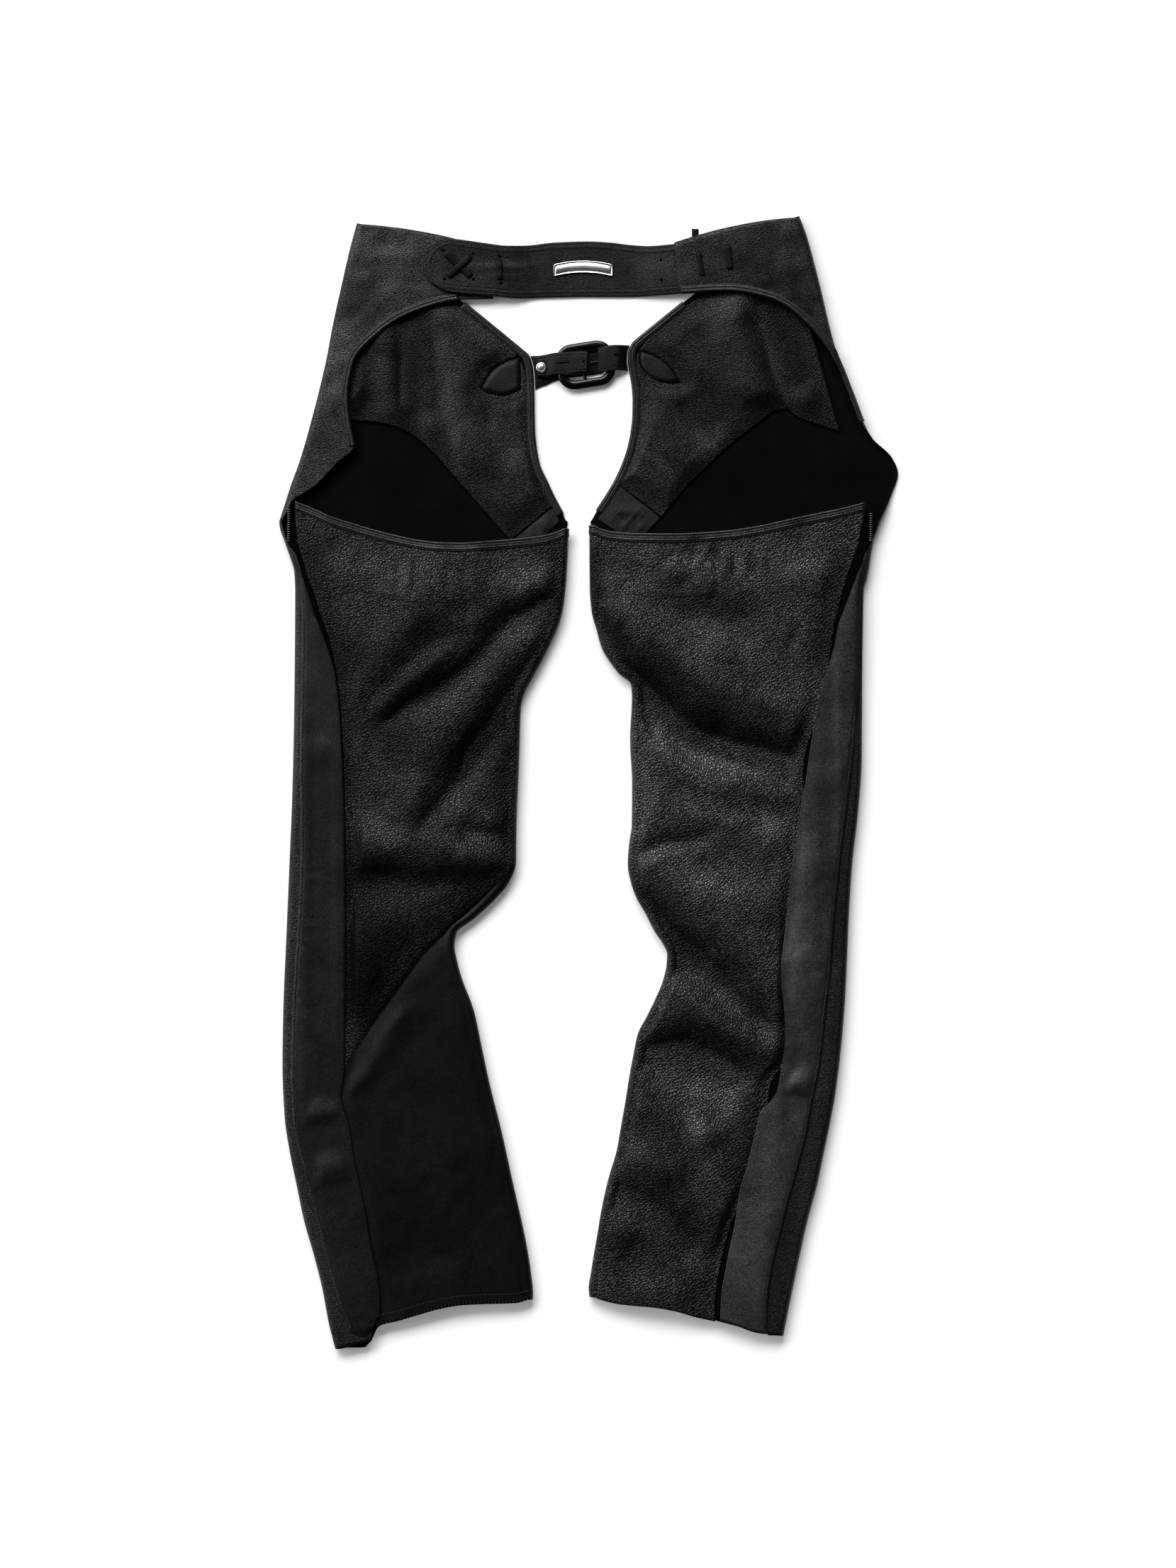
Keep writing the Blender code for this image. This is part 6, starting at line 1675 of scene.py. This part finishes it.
# Smoother grain, and low gloss as painted shade, for the back panel below the left leg's twist
SMOOTH_SHADED_SIDE = leather("smooth_leg_leather_painted_shade", 1.4, 0.1, 0.0010, 0.0030, 0.45, 0.17)
YOKE = leather("yoke_leather", 2.0, 0.22, 0.0012, 0.004, 0.42, 0.33, painted_sheen_ramp=("X", -230, 0.42, 200, 0.26))
BELT_LEATHER = leather("belt_leather", 1.6, 0.2, 0.0010, 0.0034, 0.41, 0.23)
FLAP_LEFT = leather("flap_leather_left", 1.5, 0.12, 0.0012, 0.004, 0.41, painted_sheen_ramp=("Y", -480, 0.34, 0, 0.31))
FLAP_RIGHT = leather("flap_leather_right", 1.5, 0.14, 0.0012, 0.004, 0.41, painted_sheen_ramp=("Y", -440, 0.98, 80, 0.47))
EDGE = leather("bound_edge_leather", 1.3, 0.1, 0.0012, 0.004, 0.34, 0.42)
INNER = leather("lining_leather", 2.3, 0.26, 0.0008, 0.0026, 0.41, 0.24)
STRAP_LEATHER = leather("strap_leather", 1.4, 0.14, 0.0010, 0.0034, 0.42, 0.23)
THONG_LEATHER = leather("thong_leather", 1.2, 0.08, 0.0010, 0.003, 0.5, 0.14)
CREASED = leather("facing_leather", 1.0, 0.16, 0.0012, 0.004, 0.38, 0.27)
SUEDE = suede("suede_side", 0.0017)
THREAD = woven("sewing_thread", 0.03, 0.2)
# Zip tape, made near black and without shine so that the strip beside each flap reads as its shadow: real
# dark tape and painted gap shade
ZIP_TAPE_AND_GAP_SHADE = woven("zip_tape_and_gap_shade", 0.0007, 0.03)
# Near-black flat finish of the hole discs: painted shade of needle holes and punched holes
HOLE_SHADE = plain("needle_hole_painted_shade", 0.0012, 1.0, 0.0)
PLATE_METAL = metal("plate_metal", 0.88, 0.32, 1.0)
BUCKLE_METAL = metal("buckle_metal", 0.03, 0.24)
TEETH_METAL = metal("teeth_metal", 0.16, 0.45)


# Teeth of the zips: pitch, height of their middle, and each tooth's line from side to side
TOOTH_PITCH = 2.1
TOOTH_LIFT = 11.4
TOOTH_PROFILE = ((-1.3, -0.5), (-0.9, 0), (0.9, 0), (1.3, -0.5))

# Holes punched in the belt and in the buckle's straps, drawn as dark discs of painted hole shade: x, y, half
# length, half width
BELT_HOLES = (
    (68.3, 492.4, 1.8, 1.7), (69.0, 473.6, 1.8, 1.7), (-137.2, 501.0, 1.8, 1.3), (-108.8, 473.8, 1.8, 1.3),
    (-135.6, 474.0, 1.8, 1.3), (-108.9, 498.0, 1.8, 1.3), (-84.6, 495.6, 2.4, 1.4), (-83.4, 470.6, 2.4, 1.4),
)
BUCKLE_HOLES = ((-24.5, 395.4, 7.4, 0.8), (-4.7, 396.3, 1.3, 1.2), (25.4, 403.0, 1.5, 1.3))


def settle(piece, node=None):
    """Rides a piece on the part and hides the solid that it stands for, when one is given."""
    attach(piece, "root")
    if node is not None:
        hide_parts(node)
    return piece


def build_leg(leg, fan, yoke_height, word, seat_range, waist_share, lower, upper, slopes, fine, facing, leaf):
    """All the sewn pieces of one leg, by name, and the grid of its back panel."""
    side = leg.side
    flip = side > 0
    front = shell(f"shell_front_{word}", front_grid(leg, fan, yoke_height), PANEL, [YOKE, SUEDE], flip,
                  polish_and_painted_light=YOKE_PAINTED_LIGHT)
    settle(front, f"front_panel_{word}")
    grid = back_grid(leg)
    back = shell(f"shell_back_{word}", grid, PANEL, [GRAIN, SUEDE, SMOOTH_SHADED_SIDE, SUEDE], flip,
                 polish_and_painted_light=LEFT_PAINTED_LIGHT if side < 0 else RIGHT_PAINTED_LIGHT)
    if side < 0:
        # Faces below the twist line take the smooth, low-gloss leather: painted shade below the fold
        middle = (grid[:-1, :-1] + grid[1:, 1:]) / 2
        _, share, place = distance_along(middle[:, :, 0], middle[:, :, 1], LEFT_TWIST)
        below = (place > 0) & (middle[:, :, 1] < LEFT_TWIST[0][1])
        back.data.polygons.foreach_set("material_index", (below * 2).astype(np.int32).reshape(-1))
    settle(back, f"back_panel_{word}")
    flap_leather = FLAP_LEFT if side < 0 else FLAP_RIGHT
    flap = shell(f"shell_flap_{word}", flap_grid(leg), OVERLAY, [flap_leather, SUEDE], flip,
                 polish_and_painted_light=FLAP_PAINTED_LIGHT)
    settle(flap, f"zip_flap_{word}")
    tape = shell(f"zip_tape_{word}", tape_grid(leg), 0.9, [ZIP_TAPE_AND_GAP_SHADE], flip)
    settle(tape, f"zip_{word}")
    front_edge_grid = front_binding_grid(side, fan, yoke_height, waist_share)
    front_edge = shell(f"binding_front_{word}", front_edge_grid, BINDING, [EDGE, SUEDE], flip)
    settle(front_edge, f"front_binding_{word}")
    seat_edge_grid = seat_binding_grid(side, fan, yoke_height, seat_range)
    seat_edge = shell(f"binding_seat_{word}", seat_edge_grid, BINDING, [EDGE, SUEDE], flip)
    settle(seat_edge, f"seat_binding_{word}")
    thigh_edge_grid = thigh_binding_grid(leg, grid)
    thigh_edge = shell(f"binding_thigh_{word}", thigh_edge_grid, BINDING, [EDGE, SUEDE], not flip)
    settle(thigh_edge, f"thigh_binding_{word}")
    opening = leaf_outline(leaf)
    lining = leaf_holed(f"shell_lining_{word}", lining_grid(lower, upper, slopes, fine, 81 + side, opening),
                        opening, LINING, [INNER, SUEDE], not flip, LINING_PAINTED_LIGHT)
    settle(lining, f"front_lining_{word}")
    piece = shell(f"shell_facing_{word}", facing_grid(side, facing, lower, upper), LINING,
                  [CREASED, SUEDE], flip)
    settle(piece, f"thigh_facing_{word}")
    return {"front": front, "back": back, "flap": flap, "tape": tape, "front_edge": front_edge,
            "seat_edge": seat_edge, "thigh_edge": thigh_edge, "lining": lining, "facing": piece, "grid": grid}


def leaf_plate(word, leaf):
    """Strap leather seen through the lining's opening."""
    outline = leaf_outline(leaf, LEAF_SHARE)
    middle = outline.mean(axis=0)
    count = len(outline)
    vertices = []
    for height in (PANEL + GAP, PANEL + GAP + LEAF_WALL):
        for scale in (1.0, 0.66, 0.33):
            for x, y in middle + (outline - middle) * scale:
                bump = 0.15 * float(noise(x, y, 6, 91)) if height > PANEL + GAP and scale < 1 else 0.0
                vertices.append((x * MM, y * MM, (height + bump) * MM))
    faces = []
    for layer in (0, 3):
        for ring in (0, 1):
            for i in range(count):
                a = (layer + ring) * count + i
                b = (layer + ring) * count + (i + 1) % count
                quad = (a, b, b + count, a + count)
                faces.append(quad if layer else quad[::-1])
        last = tuple(range((layer + 2) * count, (layer + 3) * count))
        faces.append(last if layer else last[::-1])
    for i in range(count):
        j = (i + 1) % count
        faces.append((i, j, 3 * count + j, 3 * count + i))
    mesh = bpy.data.meshes.new(f"leaf_root_{word}")
    mesh.from_pydata(vertices, [], faces)
    mesh.shade_smooth()
    made = link(f"leaf_root_{word}", mesh, [STRAP_LEATHER])
    return settle(made, f"strap_root_{word}")


left = build_leg(LEFT_LEG, LEFT_FAN, LEFT_YOKE_HEIGHT, "left", LEFT_SEAT, LEFT_WAIST, LEFT_LINING_LOWER,
                 LEFT_LINING_UPPER, LEFT_LINING_SLOPES, LEFT_LINING_FINE, LEFT_FACING, LEFT_LEAF)
right = build_leg(RIGHT_LEG, RIGHT_FAN, RIGHT_YOKE_HEIGHT, "right", RIGHT_SEAT, RIGHT_WAIST,
                  RIGHT_LINING_LOWER, RIGHT_LINING_UPPER, RIGHT_LINING_SLOPES, RIGHT_LINING_FINE,
                  RIGHT_FACING, RIGHT_LEAF)
root_left = leaf_plate("left", LEFT_LEAF)
root_right = leaf_plate("right", RIGHT_LEAF)

belt_edge = belt_outline()
belt = shell("shell_belt", belt_grid(belt_edge), BELT - 0.6, [BELT_LEATHER, STRAP_LEATHER], flip=True,
             polish_and_painted_light=BELT_PAINTED_LIGHT)
settle(belt, "back_belt")


# Right yoke near its end: height there, and where along x its wall starts to sink and how far
YOKE_END_HEIGHT = 8.4
YOKE_SINK_START = 206
YOKE_SINK_REACH = 122


def right_yoke_top(x, y):
    """Top of the right yoke's wall near its end, where it is straight between fold and end."""
    sunk = (FOLD_TOP - YOKE_END_HEIGHT) * (YOKE_SINK_START - x) / YOKE_SINK_REACH
    return FOLD_TOP - sunk + PANEL / 2 + 0.15


def belt_top(x, y):
    """Top of the belt's wall."""
    return belt_middle(x, y) + (BELT - 0.6) / 2 + 0.1


for name, start, end, height, hump, waist in (
    ("lace_cross_under", (-136, 499.5), (-110, 475.5), belt_top, 0.0, 0.0),
    ("lace_cross_over", (-133.5, 475.5), (-110.5, 496.2), belt_top, 1.7, 0.0),
    ("lace_bar_left", (-84.5, 493.5), (-83.4, 472.5), belt_top, 0.0, 0.0),
    ("lace_twist_right", (103.3, 499.8), (107.2, 476.2), right_yoke_top, 0.0, 0.35),
    ("lace_bar_right", (130.0, 506.2), (133.2, 482.4), right_yoke_top, 0.0, 0.0),
):
    stroke = stroke_grid(start, end, height, hump, waist)
    piece = shell(name.replace("lace", "thong"), stroke, THONG, [THONG_LEATHER], flip=False)
    settle(piece, name)
grid = np.array([[(x, y, 7.1 + 0.2 * math.sin(x + y)) for x in np.linspace(97.2, 103.6, 9)]
                 for y in np.linspace(512.0, 521.5, 12)])
settle(shell("thong_end", grid, THONG, [THONG_LEATHER], flip=False), "lace_end")


def plate_piece():
    """The belt's metal plate: bare, with a low rim along its edge."""
    half_length = PLATE_LENGTH / 2
    half_width = PLATE_WIDTH / 2
    steps = 30
    base = 1.8 + BELT / 2 + GAP
    rings = []
    for inset, height in PLATE_PROFILE:
        ring = []
        for sign, order in ((1, range(-steps, steps + 1)), (-1, range(steps, -steps - 1, -1))):
            for i in order:
                f = i / steps
                x = (half_length - inset) * f
                arch = PLATE_ARCH * (1 - f * f) - PLATE_ARCH / 2
                corner = max(0.0, abs(x) - (half_length - 1.6))
                trim = 1.6 - math.sqrt(max(1.6 ** 2 - corner ** 2, 0.0)) if corner > 0 else 0.0
                reach = max(half_width - inset - trim * (1 - inset / 5), 0.05)
                ring.append((PLATE_CENTRE[0] + x, PLATE_CENTRE[1] + arch + sign * reach, base + height))
        rings.append(ring)
    count = len(rings[0])
    vertices = [(x * MM, y * MM, z * MM) for ring in rings for x, y, z in ring]
    faces = []
    for r in range(len(rings) - 1):
        for i in range(count):
            j = (i + 1) % count
            faces.append((r * count + i, (r + 1) * count + i, (r + 1) * count + j, r * count + j))
    top = (len(rings) - 1) * count
    for i in range(2 * steps):
        a = top + i
        b = top + i + 1
        c = top + count - 1 - i - 1
        d = top + count - 1 - i
        faces.append((a, d, c, b))
    for i in range(2 * steps):
        faces.append((i, i + 1, count - 1 - i - 1, count - 1 - i))
    mesh = bpy.data.meshes.new("plate_bright")
    mesh.from_pydata(vertices, [], faces)
    shape = bmesh.new()
    shape.from_mesh(mesh)
    bmesh.ops.remove_doubles(shape, verts=shape.verts, dist=0.00001)
    bmesh.ops.recalc_face_normals(shape, faces=shape.faces)
    shape.to_mesh(mesh)
    shape.free()
    mesh.shade_smooth()
    return settle(link("plate_bright", mesh, [PLATE_METAL]), "belt_plate")


belt_plate = plate_piece()


def ring_path():
    """The middle line of the buckle's frame."""
    half_x = BUCKLE_SIZE[0] / 2 - BUCKLE_CORNER
    half_y = BUCKLE_SIZE[1] / 2 - BUCKLE_CORNER
    ring = []
    for quarter, (sx, sy) in enumerate(((1, 1), (-1, 1), (-1, -1), (1, -1))):
        for i in range(13):
            angle = math.radians(90 * quarter + 7.5 * i)
            x = sx * half_x + (BUCKLE_CORNER - BUCKLE_BAR) * math.cos(angle)
            y = sy * half_y + (BUCKLE_CORNER - BUCKLE_BAR) * math.sin(angle)
            ring.append((*buckle_place(x, y), BUCKLE_LIFT))
    return ring


frame_mesh = tube_mesh("ring_bright", ring_path(), BUCKLE_BAR, 24, closed=True, flatten=BUCKLE_FLATTEN)
settle(link("ring_bright", frame_mesh, [BUCKLE_METAL]), "buckle_frame")
bar_reach = BUCKLE_SIZE[1] / 2 - BUCKLE_BAR
bar = [(*buckle_place(-2.5, y), BUCKLE_LIFT) for y in np.linspace(-bar_reach, bar_reach, 12)]
middle_bar = link("ring_bar", tube_mesh("ring_bar", bar, BUCKLE_MIDDLE_BAR, 16), [BUCKLE_METAL])
settle(middle_bar, None)
pin = [(*buckle_place(x, PRONG_OFFSET), PRONG_LIFT) for x in np.linspace(4.0, 16.5, 12)]
prong = link("ring_pin", tube_mesh("ring_pin", pin, PRONG_RADIUS, 12), [BUCKLE_METAL])
settle(prong, "buckle_prong")

left_fan = fan_reader(LEFT_FAN)
right_fan = fan_reader(RIGHT_FAN)
left_front_edge = curve(*[(float(left_fan["a_y"](t)), float(left_fan["a_x"](t))) for t in range(6, 13)])
right_front_edge = curve(*[(float(right_fan["a_y"](t)), float(right_fan["a_x"](t))) for t in range(7, 14)])

low = curve((-52, 371.0), (-40, 375.3), (-33, 378.6), (-18, 382.0), (0, 384.0), (14, 386.4))
high = curve((-52, 402.0), (-40, 403.0), (-33, 404.5), (-18, 406.0), (0, 407.6), (14, 409.8))
strap_left = shell("band_buckle_left", strap_grid(
    np.linspace(-51.5, 13, 60), low, high, lambda x: UNDER_STRAP_LIFT,
    lambda y: float(left_front_edge(y)) + 2.2,
), UNDER_STRAP - 0.2, [THONG_LEATHER], flip=True)
settle(strap_left, "buckle_strap_left")

low = curve((-49, 383.5), (-40, 382.6), (-32, 384.8), (-18, 383.6), (0, 385.4))
high = curve((-49, 401.4), (-33, 404.2), (-18, 405.4), (0, 406.6))
height = curve((-49, 4.5), (-39.5, 4.5), (-32, BUCKLE_STRAP_LIFT), (-5, BUCKLE_STRAP_LIFT))
grid = strap_grid(np.linspace(-48.8, -5, 60), low, high, height)
reach = BUCKLE_STRAP_LIFT - BUCKLE_LIFT
turn_rows = []
for angle in np.linspace(8, 110, 14):
    turned = math.radians(angle)
    row = grid[-1].copy() if not turn_rows else turn_rows[0].copy()
    row[:, 0] = -5 + reach * math.sin(turned)
    row[:, 2] = grid[-1][:, 2] - reach * (1 - math.cos(turned))
    turn_rows.append(row)
grid = np.concatenate((grid, np.array(turn_rows)))
loop_left = shell("band_loop_left", grid, STRAP - 0.4, [STRAP_LEATHER], flip=True)
settle(loop_left, "buckle_loop_left")

low = curve((9, 385.6), (25, 388.8), (38.5, 388.2))
high = curve((9, 409.2), (22, 411.6), (38.5, 412.2))
height = curve((9, 7.6), (18, BUCKLE_STRAP_LIFT), (26, BUCKLE_STRAP_LIFT), (37.4, 1.8), (38.5, 1.7))
strap_right = shell("band_buckle_right", strap_grid(
    np.linspace(38, 9, 50), low, high, height, lambda y: float(right_front_edge(y)) - 2.4,
), STRAP - 0.4, [STRAP_LEATHER], flip=False)
settle(strap_right, "buckle_strap_right")

low = curve((-19, 385.2), (0, 386.6))
high = curve((-19, 404.6), (0, 405.6))
patch = shell("band_patch_left", strap_grid(
    np.linspace(-18, -1.2, 24), low, high, lambda x: BUCKLE_STRAP_LIFT + STRAP / 2 + 0.3,
), 1.0, [STRAP_LEATHER], flip=True)
settle(patch, None)

base = 4.5 + STRAP / 2 + GAP
snap = link("snap_dome", turned_mesh("snap_dome", (
    (4.6, base), (4.9, base + 0.4), (4.8, base + 0.8), (4.2, base + 1.2), (3.6, base + 1.3),
    (3.3, base + 1.15),
    (2.9, base + 1.25), (2.0, base + 1.6), (1.0, base + 1.75), (0.2, base + 1.8),
), SNAP_CENTRE), [PLATE_METAL])
settle(snap, "snap_head")


def fan_line(side, fan, yoke_height, start, end, inset):
    """A line on the yoke, inset from its seat edge."""
    sections = fan_rows(side, fan, yoke_height, np.linspace(start, end, 120))
    edge = np.array([section[-1] for section in sections])
    squares = flat_normals(edge, -side)
    return (edge + squares * inset)[:, :2]


def inset_path(points, distance):
    """A path moved square to itself."""
    places = np.array([point[:2] for point in points], float)
    along = np.gradient(places, axis=0)
    square = np.stack([-along[:, 1], along[:, 0]], axis=1)
    square = square / np.maximum(np.linalg.norm(square, axis=1)[:, None], 1e-6)
    return places + square * distance


def sew_leg(leg, fan, yoke_height, word, parts, seat_range):
    """The stitching of one leg and its yoke."""
    side = leg.side
    sewing = Sewing(f"stitches_leg_{word}")
    low, high = FLAP_RANGES[side]
    ground = Ground(parts["front"], parts["flap"])
    levels = levels_between(low + 3, high + 6)
    seam = leg.edge("seam", levels)
    sewing.row(ground, np.stack([seam[0] + side * 0.3, seam[1]], axis=1))
    top = parts["grid"][-1, 2:BACK_COLUMNS + 6]
    under = parts["grid"][-4, 2:BACK_COLUMNS + 6]
    inward = (under - top) / np.linalg.norm(under - top, axis=1)[:, None]
    ground = Ground(parts["thigh_edge"])
    for inset in (1.9, 7.2):
        sewing.row(ground, (top + inward * inset)[:, :2])
    ground = Ground(parts["seat_edge"])
    for inset in (2.6, 5.0):
        sewing.row(ground, fan_line(side, fan, yoke_height, seat_range[0] + 0.2, seat_range[1] - 0.1, inset))
    ground = Ground(parts["front_edge"])
    read = fan_reader(fan)
    ts = np.linspace(0.9, len(fan) - 1, 120)
    edge = np.array([(float(read["a_x"](t)), float(read["a_y"](t)), 0.0) for t in ts])
    for inset in (2.0, 4.6):
        sewing.row(ground, (edge + flat_normals(edge, -side) * inset)[:, :2])
    ground = Ground(parts["back"])
    hem = parts["grid"][0, 2:BACK_COLUMNS + 4]
    sewing.ticks(ground, hem[:, :2], 1 if side < 0 else -1, 2.2)
    sewing.row(ground, parts["grid"][3, 2:BACK_COLUMNS + 4][:, :2])
    piece = sewing.make(THREAD, HOLE_SHADE)
    return settle(piece, None)


stitches_left = sew_leg(LEFT_LEG, LEFT_FAN, LEFT_YOKE_HEIGHT, "left", left, LEFT_SEAT)
stitches_right = sew_leg(RIGHT_LEG, RIGHT_FAN, RIGHT_YOKE_HEIGHT, "right", right, RIGHT_SEAT)

belt_sewing = Sewing("stitches_belt")
belt_ground = Ground(belt)
for inset in BELT_LINES:
    belt_sewing.row(belt_ground, inset_path(resample(belt_edge, 2.0), inset))
for x, y, long_radius, wide_radius in BELT_HOLES:
    top, _ = belt_ground.top(x, y)
    belt_sewing.hole(x, y, top + 0.08, np.array([1.0, 0.0]), long_radius, wide_radius)
stitches_belt = settle(belt_sewing.make(THREAD, HOLE_SHADE), None)

buckle_sewing = Sewing("stitches_buckle")
buckle_ground = Ground(loop_left, strap_right, patch)
for x, y, long_radius, wide_radius in BUCKLE_HOLES:
    top, _ = buckle_ground.top(x, y)
    if top is not None:
        buckle_sewing.hole(x, y, top + 0.08, np.array([1.0, 0.08]), long_radius, wide_radius)
buckle_sewing.row(buckle_ground, [(-47, 384.6), (-40, 384.2), (-32, 386.2), (-19, 385.4)], 1.9)
buckle_sewing.row(buckle_ground, [(-47, 400.6), (-33, 402.8), (-19, 404.0)], 1.9)
buckle_sewing.row(buckle_ground, [(11, 387.2), (25, 390.2), (36, 389.8)], 1.9)
stitches_buckle = settle(buckle_sewing.make(THREAD, HOLE_SHADE), None)


def zip_teeth(word, points):
    """The teeth of a zip that show above its flap."""
    teeth = Sewing(f"teeth_{word}")
    for x, y in resample(points, TOOTH_PITCH):
        stations = [(x + reach, y, TOOTH_LIFT + rise) for reach, rise in TOOTH_PROFILE]
        teeth.capsule(stations, [0.3, 0.55, 0.55, 0.3])
    return settle(teeth.make(TEETH_METAL, HOLE_SHADE), None)


zip_teeth("left", ((-282.6, 228.0), (-282.2, 257.0)))
zip_teeth("right", ((265.4, 228.0), (265.8, 253.0)))


def light(name, kind, place, target, size, power):
    """A lamp aimed at a place."""
    data = bpy.data.lights.new(name, kind)
    data.energy = power
    if kind == "AREA":
        data.shape = "RECTANGLE"
        data.size, data.size_y = size
    made = bpy.data.objects.new(name, data)
    made.location = place
    made.rotation_euler = (Vector(target) - Vector(place)).to_track_quat("-Z", "Y").to_euler()
    bpy.context.scene.collection.objects.link(made)
    return made


def stage_floor():
    """The pale floor under the garment."""
    mesh = bpy.data.meshes.new("table_top")
    reach = 6.0
    corners = [(-reach, -reach, 0), (reach, -reach, 0), (reach, reach, 0), (-reach, reach, 0)]
    mesh.from_pydata(corners, [], [(0, 1, 2, 3)])
    made, tree, shader = new_material("table_paper")
    place = scaled_place(tree)
    wire(tree, add_ramp(tree, add_noise(tree, place, 60.0), (0.2, 0.93), (0.8, 0.95)), shader, "Base Color")
    shader.inputs["Roughness"].default_value = 0.9
    shader.inputs["Specular IOR Level"].default_value = 0.1
    source = tree.nodes.new("ShaderNodeTexCoord")
    parts = tree.nodes.new("ShaderNodeSeparateXYZ")
    tree.links.new(source.outputs["Object"], parts.inputs["Vector"])
    shader.inputs["Emission Color"].default_value = (1.0, 1.0, 1.0, 1.0)
    glow = add_math(tree, "MULTIPLY_ADD", parts.outputs["Y"], -0.18, 0.13)
    wire(tree, add_math(tree, "MAXIMUM", glow, 0.0), shader, "Emission Strength")
    floor = link("table_top", mesh, [made])
    return floor


floor = stage_floor()
light("softbox_top", "AREA", (-1.9, 5.2, 4.6), (0.0, 0.0, 0.0), (8.0, 3.6), 830.0)
light("softbox_left", "AREA", (-4.6, 0.6, 2.6), (0.0, 0.0, 0.0), (3.0, 3.0), 90.0)
world = bpy.data.worlds.new("studio")
world.use_nodes = True
world.node_tree.nodes["Background"].inputs["Color"].default_value = (1.0, 1.0, 1.0, 1.0)
world.node_tree.nodes["Background"].inputs["Strength"].default_value = 0.04
scene = bpy.context.scene
scene.world = world
scene.view_settings.view_transform = "Standard"

camera_data = bpy.data.cameras.new("camera")
camera_data.lens = 100.0
camera_data.sensor_width = 36.0
camera_data.sensor_fit = "VERTICAL"
camera_data.sensor_height = 36.0
camera_data.clip_end = 30.0
camera = bpy.data.objects.new("camera", camera_data)
camera.location = (-0.00067, -0.00134, 4.11)
scene.collection.objects.link(camera)
scene.camera = camera
